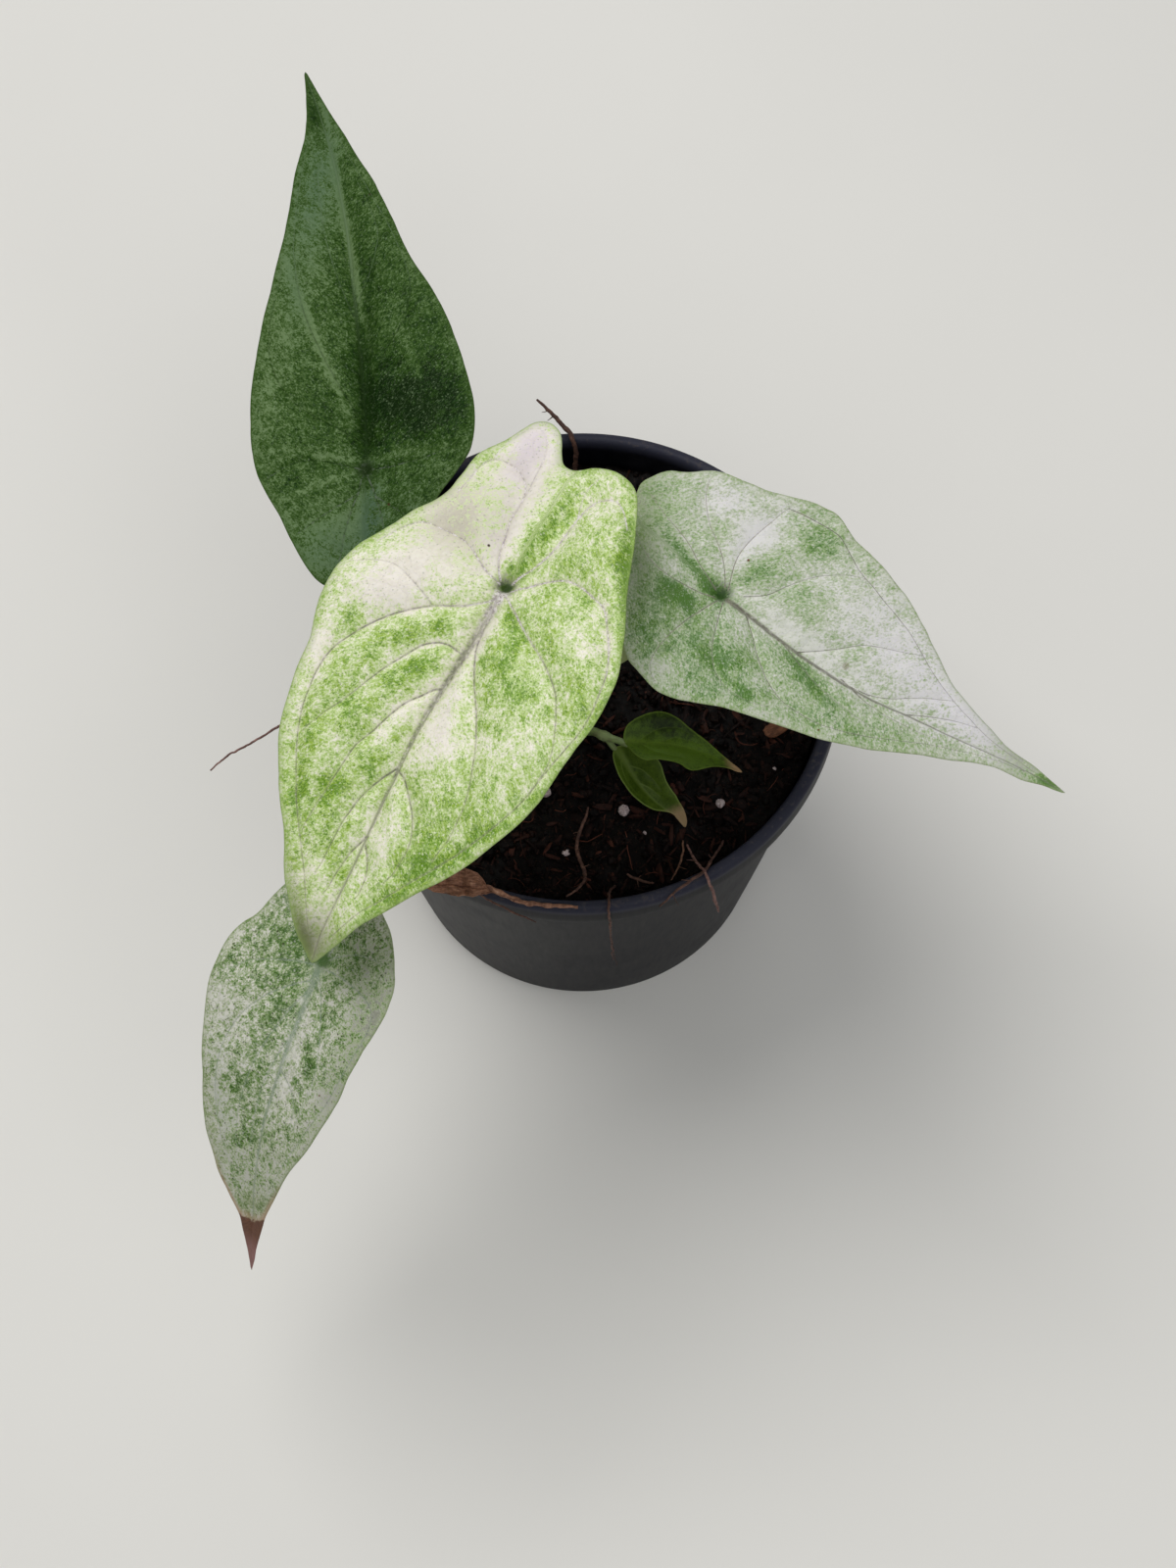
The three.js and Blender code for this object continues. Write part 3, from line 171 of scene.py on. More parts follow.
            [33.4, 15.8], [35.6, 16.9], [37.7, 18.0], [39.8, 19.2], [41.9, 20.3], [44.1, 21.2], [46.3, 22.2]]],
            ["lat", [[24.7, -0.2], [25.8, 1.5], [27.7, 2.9], [29.6, 4.4], [31.6, 5.7], [33.8, 6.7], [36.0, 7.5], [38.3, 8.3],
            [40.5, 9.3], [42.7, 10.3], [44.9, 10.8], [47.3, 11.1], [49.6, 11.4], [51.9, 11.7], [54.2, 12.0], [56.5, 12.4],
            [58.9, 12.6], [61.2, 12.7], [63.5, 12.8]]], ["lat", [[42.1, -0.0], [44.3, 1.2], [46.4, 2.4], [48.6, 3.4],
            [50.9, 4.3], [53.2, 5.0], [55.5, 5.4], [57.9, 5.8], [60.2, 5.9], [62.6, 6.0], [64.9, 6.1], [67.3, 6.1],
            [69.6, 6.2]]], ["lat", [[58.0, -0.1], [60.3, 0.8], [62.6, 1.6], [65.0, 2.0], [67.4, 2.4], [69.8, 2.6],
            [72.1, 2.9]]], ["post", [[-1.3, -0.2], [-3.4, -1.5], [-5.4, -2.7], [-7.6, -3.6], [-9.8, -4.4], [-12.1, -5.0],
            [-14.5, -5.3], [-16.9, -5.5], [-19.4, -5.7], [-21.7, -6.1], [-23.9, -7.0], [-25.6, -8.6], [-26.5, -10.7],
            [-25.6, -13.1], [-23.8, -15.2], [-21.8, -17.1]]], ["lat2", [[-19.4, -5.7], [-21.9, -4.9], [-24.3, -4.4],
            [-26.7, -4.5], [-28.9, -5.5]]]],
        "patches": [["dens", 12.1, 20.4, 7.0, 4.3, 44.0, -0.5], ["dens", 28.6, 27.2, 6.0, 2.0, 170.0, -0.22],
            ["dens", -7.5, 15.4, 9.2, 7.9, 9.0, -0.42], ["dens", -27.3, 10.9, 6.4, 3.8, 172.0, -0.3],
            ["dens", 5.2, 18.2, 4.9, 2.2, 41.0, -0.15], ["dens", -15.5, 13.3, 3.5, 2.9, 140.0, 0.14],
            ["dens", 1.1, 14.0, 2.5, 1.3, 62.0, 0.12], ["dens", 21.5, 24.8, 2.1, 1.7, 54.0, 0.42],
            ["dens", 21.0, 14.4, 7.8, 1.9, 48.0, 0.26], ["dens", 14.3, 6.4, 2.9, 1.0, 52.0, 0.12],
            ["dens", 19.4, 7.3, 5.3, 1.0, 42.0, -0.22], ["dens", 22.8, 5.8, 2.6, 1.9, 34.0, 0.36],
            ["dens", 28.2, 9.6, 4.0, 1.9, 28.0, 0.2], ["dens", 36.2, 22.4, 3.1, 2.8, 84.0, 0.15],
            ["dens", 49.1, 19.6, 5.8, 2.6, 156.0, 0.2], ["dens", 58.9, 16.2, 4.2, 2.2, 151.0, 0.3],
            ["dens", 37.0, 14.4, 2.6, 2.0, 67.0, 0.25], ["dens", 45.0, 7.4, 3.0, 2.3, 65.0, 0.2],
            ["dens", 52.9, 10.3, 2.6, 1.7, 14.0, 0.5], ["dens", 58.5, 9.7, 2.2, 1.7, 65.0, 0.17],
            ["dens", 35.9, 5.5, 8.4, 1.2, 17.0, -0.3], ["dens", 10.8, -2.4, 4.9, 0.9, 178.0, -0.3],
            ["dens", 16.1, -10.7, 5.2, 4.1, 79.0, 0.22], ["dens", 19.9, -18.1, 3.2, 1.7, 46.0, 0.12],
            ["dens", 23.3, -11.0, 2.6, 2.0, 77.0, 0.12], ["dens", 5.5, -5.0, 2.9, 1.0, 132.0, 0.35],
            ["dens", 5.5, -15.3, 3.4, 2.9, 87.0, 0.25], ["dens", 4.5, -22.1, 3.4, 2.9, 84.0, -0.3],
            ["dens", 16.7, -28.8, 5.3, 2.7, 152.0, 0.2], ["dens", 32.3, -5.0, 8.8, 3.3, 162.0, -0.34],
            ["dens", 30.6, -17.3, 3.9, 3.2, 78.0, -0.15], ["dens", -6.8, -16.6, 6.7, 5.3, 134.0, 0.07],
            ["dens", 44.9, -9.6, 5.3, 3.9, 74.0, 0.24], ["dens", 57.8, -13.6, 7.4, 3.3, 35.0, 0.3],
            ["dens", 55.4, -4.0, 6.2, 2.7, 3.0, -0.22], ["dens", 40.1, -25.5, 5.9, 2.9, 21.0, 0.12],
            ["dens", 69.3, 7.3, 2.2, 1.9, 63.0, -0.2], ["dens", 77.8, 0.5, 6.9, 2.7, 178.0, -0.15],
            ["dens", 69.7, -9.5, 5.9, 1.7, 35.0, 0.2], ["dens", -17.9, 5.1, 9.3, 1.3, 175.0, -0.36],
            ["dens", -13.3, -1.8, 9.0, 2.1, 7.0, 0.27], ["dens", -3.9, -1.8, 2.0, 1.8, 180.0, 0.25],
            ["dens", -16.0, -6.0, 8.2, 0.9, 5.0, -0.25], ["dens", -15.2, -21.2, 8.8, 1.6, 149.0, 0.38],
            ["dens", -27.2, -10.6, 3.0, 2.3, 77.0, -0.15], ["dens", 65.3, 2.7, 3.1, 2.1, 12.0, 0.2],
            ["dens", 42.8, 26.3, 7.9, 1.3, 161.0, -0.2], ["dens", -1.7, -30.3, 6.3, 1.0, 157.0, 0.2],
            ["dens", 16.0, -34.5, 7.9, 1.0, 177.0, 0.18], ["dens", 35.1, -30.7, 11.8, 1.0, 27.0, 0.2],
            ["dens", 51.7, -21.4, 10.1, 1.0, 35.0, 0.22], ["dens", 5.8, -5.5, 2.8, 1.0, 119.0, 0.2],
            ["dens", 8.5, -9.8, 2.7, 0.8, 119.0, 0.15], ["hue_and_sheen", -27.1, 10.8, 6.4, 3.2, 174.0, 0.95],
            ["hue_and_sheen", -9.0, 6.2, 5.9, 1.9, 176.0, 0.45], ["hue_and_sheen", 12.1, 20.4, 7.0, 4.3, 44.0, 0.22],
            ["hue_and_sheen", 30.4, -4.8, 8.0, 2.2, 162.0, 0.2], ["olive", 78.6, 6.3, 7.4, 1.8, 142.0, 0.8],
            ["olive", 81.9, 0.4, 4.5, 3.9, 151.0, 1.0], ["olive", 72.9, -10.4, 10.7, 1.2, 40.0, 0.35],
            ["olive", 22.5, 0.1, 1.0, 0.7, 176.0, 0.2], ["painted_shade", -8.4, 16.0, 7.0, 6.6, 174.0, 0.8],
            ["painted_shade", -22.1, 3.0, 5.0, 2.2, 180.0, 0.3], ["painted_shade", -25.7, 10.1, 2.2, 2.0, 133.0, 0.2],
            ["lift", -17.9, 5.1, 8.9, 1.3, 175.0, 1.1], ["lift", -12.7, -2.7, 8.6, 1.4, 7.0, -1.0],
            ["lift", -14.8, -12.8, 6.1, 4.0, 126.0, 1.0], ["lift", -18.5, -20.5, 13.3, 1.4, 149.0, -1.6],
            ["lift", -23.7, 10.0, 4.7, 2.5, 173.0, 0.7], ["lift", -11.5, 12.7, 4.2, 3.9, 88.0, 0.6],
            ["lift", 11.2, 20.5, 7.0, 4.3, 44.0, 0.8], ["lift", 9.3, -27.5, 6.2, 3.3, 156.0, 0.8],
            ["lift", 17.0, -11.8, 5.0, 3.9, 147.0, 0.5], ["lift", 49.8, 22.7, 11.7, 1.6, 158.0, -0.8]],
        "spots": [[-5.5, 7.1, 0.35, 1.0]],
    },
    "right": {
        "at": [30.61, -8.35, 160.0],
        "az": -41.078,
        "dip": 8,
        "roll": -4,
        "par": {"k": 0.0008, "kb": 0.0, "s": 0.36, "w": 6.0, "q": 0.0032, "b": -0.0028},
        "outline": [[81.7, -17.3], [79.6, -16.2], [77.5, -15.4], [75.4, -14.2], [73.4, -13.0], [71.2, -12.2], [69.0, -11.5],
            [66.9, -10.7], [64.9, -9.5], [62.9, -8.2], [61.0, -6.7], [59.2, -5.1], [57.3, -3.6], [55.4, -2.2], [53.5, -0.7],
            [51.7, 0.9], [49.9, 2.4], [48.1, 3.9], [46.2, 5.5], [44.4, 6.9], [42.4, 8.2], [40.5, 9.5], [38.6, 10.8],
            [36.6, 12.1], [34.6, 13.2], [32.6, 14.1], [30.5, 15.1], [28.5, 16.1], [26.5, 17.2], [24.5, 18.3], [22.5, 19.3],
            [20.5, 20.3], [18.4, 21.3], [16.4, 22.3], [14.5, 23.6], [12.7, 24.9], [10.8, 26.2], [9.0, 27.5], [7.0, 28.5],
            [4.9, 29.2], [2.7, 29.2], [0.5, 28.8], [-1.8, 28.4], [-4.0, 28.0], [-6.0, 26.8], [-8.0, 25.4], [-10.0, 23.9],
            [-11.9, 22.3], [-13.8, 20.6], [-15.5, 18.7], [-17.1, 16.5], [-18.4, 14.2], [-19.6, 11.7], [-20.8, 9.2],
            [-22.1, 6.7], [-23.3, 4.2], [-24.6, 1.9], [-25.8, -0.4], [-26.9, -2.6], [-27.9, -4.8], [-28.4, -6.9], [-27.7, -9.0],
            [-26.8, -11.0], [-25.5, -12.8], [-23.6, -14.1], [-21.9, -15.5], [-20.3, -17.1], [-18.6, -18.5], [-16.6, -19.5],
            [-14.4, -20.2], [-12.2, -20.8], [-10.0, -21.6], [-7.8, -22.2], [-5.7, -23.1], [-3.7, -24.1], [-1.6, -25.1],
            [0.4, -26.1], [2.5, -27.0], [4.7, -27.6], [6.9, -28.2], [9.1, -27.9], [11.2, -27.0], [13.4, -26.4], [15.7, -26.3],
            [17.9, -26.2], [20.2, -26.0], [22.5, -25.8], [24.7, -25.4], [26.9, -25.0], [29.2, -24.7], [31.4, -24.1],
            [33.5, -23.4], [35.6, -22.6], [37.8, -21.9], [39.8, -21.0], [41.9, -20.3], [44.0, -19.5], [46.1, -18.6],
            [48.1, -17.8], [50.3, -17.2], [52.5, -16.9], [54.7, -16.6], [57.0, -16.4], [59.2, -16.3], [61.5, -16.3],
            [63.7, -16.1], [65.9, -16.0], [68.2, -16.2], [70.5, -16.6], [72.7, -17.0], [75.0, -17.2], [77.2, -17.3],
            [79.5, -17.4]],
        "notch": None,
        "mid": [[1.5, 0.5], [7.8, 0.1], [14.1, -0.2], [20.4, -0.5], [26.7, -1.4], [32.9, -2.4], [39.0, -3.9], [45.1, -5.9],
            [51.1, -8.0], [57.2, -10.0], [63.2, -12.0], [69.3, -14.1], [75.4, -15.9], [81.7, -17.3]],
        "veins": [["lat", [[0.4, -1.5], [-0.9, -3.8], [-2.0, -6.0], [-2.7, -8.3], [-2.9, -10.8], [-2.8, -13.2], [-2.5, -15.6],
            [-2.1, -18.0], [-1.8, -20.4], [-1.2, -22.8]]], ["lat", [[-0.5, -1.6], [-2.4, -3.5], [-4.4, -5.2], [-6.6, -6.6],
            [-8.8, -7.8], [-11.1, -9.0], [-13.2, -10.5], [-15.1, -12.2], [-16.8, -14.1], [-18.0, -16.4]]],
            ["lat", [[-1.8, -0.2], [-4.2, -0.5], [-6.5, -1.1], [-8.8, -1.9], [-11.1, -2.9], [-13.4, -3.7], [-15.8, -4.2],
            [-18.2, -4.6], [-20.6, -5.0], [-23.0, -5.5], [-25.4, -6.1]]], ["post", [[-0.8, 1.7], [-3.0, 3.1], [-5.4, 3.9],
            [-7.8, 4.6], [-10.3, 5.1], [-12.9, 5.3], [-15.4, 5.2], [-18.0, 4.5], [-20.4, 3.4], [-22.8, 2.0]]],
            ["lat", [[3.9, -2.4], [5.7, -4.0], [7.4, -5.7], [8.5, -7.7], [9.5, -9.8], [10.6, -11.9], [11.8, -13.9],
            [13.2, -15.8], [14.9, -17.5], [16.6, -19.0], [18.5, -20.4], [20.6, -21.5]]], ["lat", [[-1.1, -22.6], [1.3, -23.4],
            [3.7, -24.0], [6.2, -24.5], [8.6, -24.8], [11.1, -24.7], [13.5, -24.1], [15.9, -23.2], [18.2, -22.3], [20.6, -21.8],
            [23.1, -21.5], [25.5, -21.0], [28.0, -20.6], [30.4, -20.3], [32.9, -19.9], [35.3, -19.4], [37.6, -18.7],
            [40.0, -18.0], [42.3, -17.2], [44.6, -16.5], [47.0, -15.9], [49.4, -15.5], [51.8, -15.1], [54.2, -14.8],
            [56.7, -14.7], [59.2, -14.6], [61.6, -14.6], [64.1, -14.8], [66.6, -15.1], [69.0, -15.4], [71.5, -15.7],
            [74.0, -16.1]]], ["lat", [[19.7, -0.4], [21.5, -2.2], [23.3, -3.9], [25.0, -5.7], [26.6, -7.4], [28.2, -9.3],
            [29.9, -11.0], [31.9, -12.4], [33.9, -13.7], [36.0, -14.9], [38.1, -16.1], [40.2, -17.5]]], ["lat", [[33.1, -2.8],
            [35.4, -3.5], [37.7, -4.4], [39.8, -5.6], [41.8, -7.1], [43.6, -8.8], [45.5, -10.5], [47.4, -12.1], [49.4, -13.6],
            [51.4, -15.0]]], ["lat", [[45.8, -6.3], [47.8, -7.9], [49.9, -9.4], [52.0, -10.8], [54.2, -12.1], [56.5, -13.3],
            [58.8, -14.3]]], ["lat", [[6.8, 0.3], [8.9, 1.9], [11.0, 3.5], [13.1, 5.3], [15.2, 7.0], [17.4, 8.4], [19.6, 9.8],
            [22.0, 10.7], [24.4, 11.3], [26.8, 11.3], [29.2, 10.9], [31.5, 10.4], [33.9, 9.7], [36.1, 8.6], [38.3, 7.4],
            [40.4, 6.1], [42.5, 4.6], [44.5, 3.0], [46.5, 1.4], [48.5, -0.2], [50.5, -1.8], [52.5, -3.5], [54.6, -5.0],
            [56.7, -6.5], [58.8, -7.9], [60.9, -9.3], [63.1, -10.5], [65.4, -11.7], [67.6, -12.8], [70.0, -13.7],
            [72.3, -14.7]]], ["lat", [[16.7, -0.1], [19.2, 0.5], [21.6, 1.0], [24.0, 1.6], [26.5, 2.1], [28.9, 2.4],
            [31.4, 2.5], [33.8, 2.5], [36.3, 2.4], [38.7, 2.2], [41.1, 1.8], [43.5, 1.4]]], ["lat", [[30.9, -2.8], [33.2, -2.6],
            [35.6, -2.4], [37.9, -2.4], [40.2, -2.7], [42.6, -2.9], [44.9, -3.4], [47.1, -4.0], [49.4, -4.7], [51.6, -5.6],
            [53.8, -6.6]]], ["post", [[0.2, 2.3], [-0.4, 5.0], [-0.9, 7.8], [-1.4, 10.6], [-1.6, 13.5], [-1.8, 16.4],
            [-1.7, 19.2], [-1.4, 22.0], [-0.6, 24.7], [0.9, 26.7], [3.0, 28.1]]], ["lat", [[1.6, 2.0], [2.7, 4.6], [3.9, 7.2],
            [5.1, 9.9], [6.5, 12.4], [8.3, 14.6], [10.2, 16.4], [12.4, 17.4], [14.8, 17.9], [17.1, 17.7], [19.4, 17.2],
            [21.6, 16.1], [23.7, 14.9]]]],
        "patches": [["dens", -1.8, 14.3, 10.3, 7.9, 150.0, 0.12], ["dens", 11.2, 17.4, 12.2, 3.4, 158.0, 0.1],
            ["dens", 28.8, 8.8, 12.4, 3.0, 158.0, 0.06], ["dens", -22.4, -0.1, 2.7, 2.1, 56.0, 0.14],
            ["dens", -19.2, 5.8, 4.4, 1.3, 53.0, 0.16], ["dens", -14.3, -1.2, 3.8, 0.8, 11.0, 0.3],
            ["dens", -8.0, 0.2, 2.9, 0.9, 9.0, 0.34], ["dens", -5.4, 6.9, 3.8, 2.0, 146.0, 0.26],
            ["dens", -11.0, 15.6, 2.3, 2.0, 91.0, 0.14], ["dens", -5.0, 19.2, 2.5, 2.0, 76.0, 0.26],
            ["dens", -7.6, 20.7, 2.0, 1.6, 76.0, 0.12], ["dens", -8.2, 8.2, 2.6, 2.4, 47.0, 0.3],
            ["dens", -0.9, 0.6, 2.5, 1.8, 4.0, 0.5], ["dens", -4.1, 0.6, 2.1, 0.9, 7.0, 0.3],
            ["dens", -4.5, 7.4, 2.5, 1.0, 7.0, 0.3], ["dens", 3.3, 14.0, 4.4, 3.4, 115.0, 0.18],
            ["dens", 11.1, 13.1, 3.1, 2.3, 119.0, 0.28], ["dens", 8.3, 22.9, 3.0, 1.8, 128.0, 0.1],
            ["dens", 17.2, 16.5, 1.6, 1.0, 2.0, 0.45], ["dens", -12.0, 3.9, 2.9, 2.0, 4.0, -0.12],
            ["dens", 1.1, 24.2, 3.0, 1.8, 128.0, -0.28], ["dens", 4.3, 3.1, 3.3, 1.4, 1.0, -0.2],
            ["dens", 8.6, -20.9, 3.7, 3.1, 140.0, 0.26], ["dens", 3.2, -9.6, 4.5, 1.7, 114.0, 0.25],
            ["dens", 1.9, -5.7, 2.1, 1.3, 140.0, 0.15], ["dens", -2.7, -13.3, 5.3, 3.1, 93.0, -0.4],
            ["dens", -12.7, -14.8, 3.7, 2.9, 142.0, -0.25], ["dens", 14.0, -10.3, 4.1, 2.9, 140.0, 0.1],
            ["dens", 22.1, 1.6, 2.9, 1.7, 7.0, 0.42], ["dens", 29.2, 3.5, 2.9, 1.7, 8.0, 0.45],
            ["dens", 14.3, -3.4, 8.3, 1.5, 177.0, -0.3], ["dens", 24.5, -2.6, 6.2, 1.5, 179.0, -0.25],
            ["dens", 25.7, -16.6, 11.3, 5.7, 178.0, -0.22], ["dens", 55.1, -15.0, 12.4, 3.7, 171.0, -0.22],
            ["dens", 42.7, 4.0, 10.5, 1.7, 149.0, 0.1], ["dens", 77.5, -16.2, 2.5, 1.1, 163.0, 0.7],
            ["dens", -23.2, -8.0, 2.1, 1.7, 143.0, 0.2], ["painted_shade", -19.3, 5.1, 14.6, 3.0, 52.0, 1.0],
            ["painted_shade", -22.6, -4.3, 4.3, 4.1, 47.0, 0.6], ["painted_shade", 71.3, -15.8, 5.0, 2.6, 170.0, 0.7],
            ["painted_shade", 11.2, 20.9, 12.2, 1.9, 158.0, 0.35], ["olive", -21.5, 2.3, 11.8, 2.8, 52.0, 0.75],
            ["hue_and_sheen", 40.9, -15.2, 14.4, 7.3, 179.0, 0.7], ["hue_and_sheen", -12.7, -14.8, 3.7, 3.1, 144.0, 0.6],
            ["hue_and_sheen", 59.7, -14.6, 8.3, 3.3, 171.0, 0.5], ["hue_and_sheen", -2.4, -13.5, 4.9, 2.5, 93.0, 0.6],
            ["lift", -6.6, -6.8, 5.5, 5.3, 32.0, 0.6], ["lift", 9.1, -9.1, 8.3, 2.9, 170.0, 0.6],
            ["lift", 1.1, 14.6, 6.1, 4.0, 168.0, 0.6], ["lift", 29.6, -10.6, 10.3, 2.9, 173.0, 0.5],
            ["lift", 11.3, -26.0, 2.1, 1.7, 137.0, 0.8]],
        "spots": [[-0.4, -8.4, 0.35, 1.0], [34.5, 11.1, 0.3, 0.9], [29.7, -5.2, 0.9, 0.35]],
    },
    "front": {
        "at": [-55.94, -77.5, 127.0],
        "az": -118.498,
        "dip": 20,
        "roll": 14,
        "par": {"k": 0.006573, "kb": 0.0, "s": 0.18, "w": 5.0, "q": 0.004, "b": 0.0},
        "outline": [[72.1, -0.3], [69.9, 0.3], [67.5, 0.8], [65.3, 1.4], [63.1, 2.1], [60.9, 2.8], [59.2, 4.1], [57.7, 5.6],
            [56.1, 7.0], [54.6, 8.5], [52.9, 9.8], [50.9, 10.8], [49.0, 11.9], [47.2, 13.1], [45.3, 14.2], [43.2, 15.0],
            [41.1, 15.8], [38.9, 16.4], [36.6, 16.9], [34.3, 17.3], [32.1, 18.0], [29.9, 18.7], [27.7, 19.3], [25.5, 19.9],
            [23.2, 20.5], [21.0, 21.1], [18.8, 21.7], [16.5, 22.2], [14.2, 22.5], [11.8, 22.5], [9.5, 22.4], [7.1, 22.3],
            [4.7, 21.9], [2.5, 21.1], [0.3, 19.9], [-1.6, 18.4], [-3.7, 17.3], [-6.0, 16.7], [-8.3, 16.0], [-10.5, 15.2],
            [-12.7, 14.4], [-15.0, 13.8], [-17.0, 12.7], [-18.4, 10.8], [-18.1, 8.6], [-16.8, 6.7], [-16.9, 5.2], [-18.5, 3.7],
            [-19.1, 1.5], [-18.7, -1.0], [-17.8, -3.4], [-16.7, -5.7], [-15.5, -7.9], [-14.1, -10.0], [-12.7, -11.9],
            [-11.0, -13.5], [-9.1, -14.9], [-7.2, -16.2], [-5.2, -17.4], [-3.3, -18.6], [-1.2, -19.3], [1.1, -19.6],
            [3.3, -19.8], [5.6, -19.6], [7.9, -19.3], [10.2, -18.9], [12.5, -18.4], [14.9, -18.1], [17.2, -17.6], [19.6, -17.1],
            [22.0, -16.9], [24.4, -16.6], [26.8, -16.0], [29.2, -15.4], [31.7, -14.6], [34.2, -13.8], [36.8, -12.9],
            [39.3, -11.8], [41.9, -10.4], [44.5, -9.0], [47.1, -7.9], [49.8, -6.9], [52.6, -5.8], [55.4, -4.6], [58.2, -3.5],
            [61.0, -2.9], [63.7, -2.3], [66.6, -1.7], [69.3, -1.3]],
        "notch": None,
        "mid": [[1.1, -0.1], [7.2, -0.5], [13.3, -0.6], [19.6, -0.4], [25.9, -0.3], [32.3, -0.0], [38.9, 0.4], [45.4, 0.4],
            [51.9, 0.1], [58.5, -0.1], [65.1, -0.4], [72.1, -0.3]],
        "veins": [["lat", [[2.3, 0.1], [4.2, -1.7], [6.2, -3.3], [8.4, -4.7], [10.6, -5.8], [12.9, -6.8], [15.2, -7.7], [17.7, -8.3],
            [20.1, -8.9], [22.7, -9.1], [25.3, -9.1], [28.0, -8.9], [30.7, -8.6], [33.4, -8.1], [36.2, -7.5]]],
            ["lat", [[6.8, -0.1], [9.3, 0.9], [11.7, 2.0], [14.2, 2.8], [16.8, 3.6], [19.4, 4.4], [22.0, 5.0], [24.6, 5.6],
            [27.3, 6.1], [30.0, 6.5], [32.7, 6.8], [35.3, 7.0], [38.0, 7.0], [40.6, 6.8], [43.2, 6.5], [45.5, 5.8],
            [47.9, 5.0]]], ["lat", [[16.5, -0.4], [19.1, 0.4], [21.7, 1.1], [24.3, 1.7], [27.0, 2.2], [29.7, 2.6], [32.3, 2.8],
            [35.0, 2.9], [37.6, 2.9], [40.3, 2.8], [42.9, 2.7], [45.5, 2.5]]], ["lat", [[1.4, -0.5], [1.2, -3.4], [1.2, -6.3],
            [1.5, -9.2], [2.1, -12.0], [3.0, -14.6], [4.6, -16.6], [6.8, -17.6], [9.3, -17.6], [11.8, -17.3], [14.4, -16.8],
            [17.0, -16.3], [19.7, -15.7], [22.3, -15.1], [25.0, -14.5], [27.7, -13.7], [30.4, -12.7], [33.1, -11.7],
            [35.9, -10.5], [38.7, -9.3], [41.6, -8.0], [44.5, -6.8], [47.5, -5.6], [50.5, -4.4], [53.5, -3.2]]],
            ["lat", [[4.6, -0.1], [6.2, 2.2], [7.9, 4.3], [9.8, 6.3], [11.8, 8.2], [14.1, 9.8], [16.4, 11.3], [18.9, 12.5],
            [21.5, 13.4], [24.1, 14.1], [26.8, 14.3], [29.4, 14.4], [32.0, 14.2], [34.5, 13.9], [37.0, 13.4], [39.3, 12.6],
            [41.6, 11.8], [43.8, 10.7], [45.9, 9.6], [47.9, 8.4], [50.0, 7.2], [52.0, 5.9], [54.0, 4.7], [56.0, 3.5],
            [58.0, 2.2]]], ["lat", [[1.0, -0.3], [1.8, 2.4], [2.5, 5.1], [3.5, 7.7], [4.5, 10.2], [5.8, 12.7], [7.2, 15.2],
            [9.2, 17.2], [11.4, 19.0]]], ["lat", [[25.4, -0.6], [26.8, -2.8], [28.4, -4.6], [30.4, -6.0], [32.8, -6.6],
            [35.4, -6.7]]], ["post", [[-0.4, 0.2], [-2.0, 2.5], [-3.5, 4.8], [-4.7, 7.3], [-5.8, 9.9], [-7.0, 12.4],
            [-9.0, 14.3]]], ["post", [[-0.7, -0.4], [-3.2, -1.1], [-5.7, -1.9], [-8.1, -2.9], [-10.5, -4.1], [-12.5, -5.8],
            [-13.1, -8.4]]], ["lat", [[-0.3, -0.6], [-2.1, -3.0], [-3.7, -5.5], [-4.9, -8.2], [-5.4, -11.2], [-5.4, -14.1]]]],
        "patches": [["dens", -1.2, 8.1, 6.6, 4.3, 39.0, 0.16], ["dens", -2.0, -1.8, 7.1, 4.6, 68.0, 0.14],
            ["dens", 7.3, 3.3, 6.3, 4.5, 1.0, 0.08], ["dens", 18.6, 18.9, 2.1, 2.0, 7.0, -0.28],
            ["dens", 15.5, 12.7, 2.9, 1.6, 63.0, -0.15], ["dens", 22.3, 11.7, 3.0, 2.0, 60.0, -0.15],
            ["dens", 17.4, -2.9, 4.2, 1.0, 178.0, -0.4], ["dens", 28.7, -2.9, 3.1, 1.0, 3.0, -0.36],
            ["dens", 12.7, 3.1, 2.8, 1.6, 63.0, 0.14], ["dens", 17.8, 5.6, 2.9, 1.4, 63.0, 0.1],
            ["dens", 10.0, -8.9, 2.5, 1.6, 66.0, 0.12], ["dens", 20.3, -6.4, 4.5, 1.6, 147.0, 0.2],
            ["dens", 34.5, 6.6, 3.1, 1.8, 58.0, 0.14], ["dens", 43.5, 5.0, 2.5, 1.6, 52.0, 0.24],
            ["dens", 41.5, 1.2, 1.7, 1.3, 36.0, 0.18], ["dens", 30.8, 6.3, 2.5, 1.6, 58.0, 0.15],
            ["dens", 4.5, -17.4, 3.3, 2.5, 68.0, -0.14], ["dens", 24.4, -13.9, 3.1, 1.8, 62.0, -0.15],
            ["dens", 48.0, -2.3, 4.7, 2.0, 60.0, -0.08], ["dens", 31.5, -15.0, 4.1, 3.1, 172.0, -0.1],
            ["hue_and_sheen", 20.8, -0.5, 14.9, 0.7, 177.0, 0.3], ["hue_and_sheen", 35.8, 13.0, 10.4, 2.1, 166.0, 0.35],
            ["hue_and_sheen", 42.5, 8.1, 6.0, 2.2, 150.0, 0.4], ["olive", 56.4, -0.1, 3.6, 1.8, 56.0, 0.6],
            ["olive", 44.9, 12.9, 12.2, 1.7, 157.0, 0.3], ["painted_shade", 5.8, -17.1, 9.0, 3.8, 171.0, 1.0],
            ["painted_shade", -3.6, -2.8, 7.7, 5.4, 70.0, 1.0], ["painted_shade", 25.2, -14.1, 9.8, 2.8, 10.0, 0.6],
            ["painted_shade", 48.8, -0.2, 10.0, 6.7, 49.0, 0.4], ["lift", 22.9, 9.6, 8.5, 3.8, 174.0, 0.5],
            ["lift", 9.7, -8.7, 8.4, 3.9, 179.0, 0.5]],
        "spots": [[25.8, -11.9, 0.3, 0.8], [17.7, -19.5, 0.25, 0.7]],
    },
    "offset_upper": {
        "at": [10.57, -23.14, 114.5],
        "az": 5.301,
        "dip": 6,
        "roll": -5,
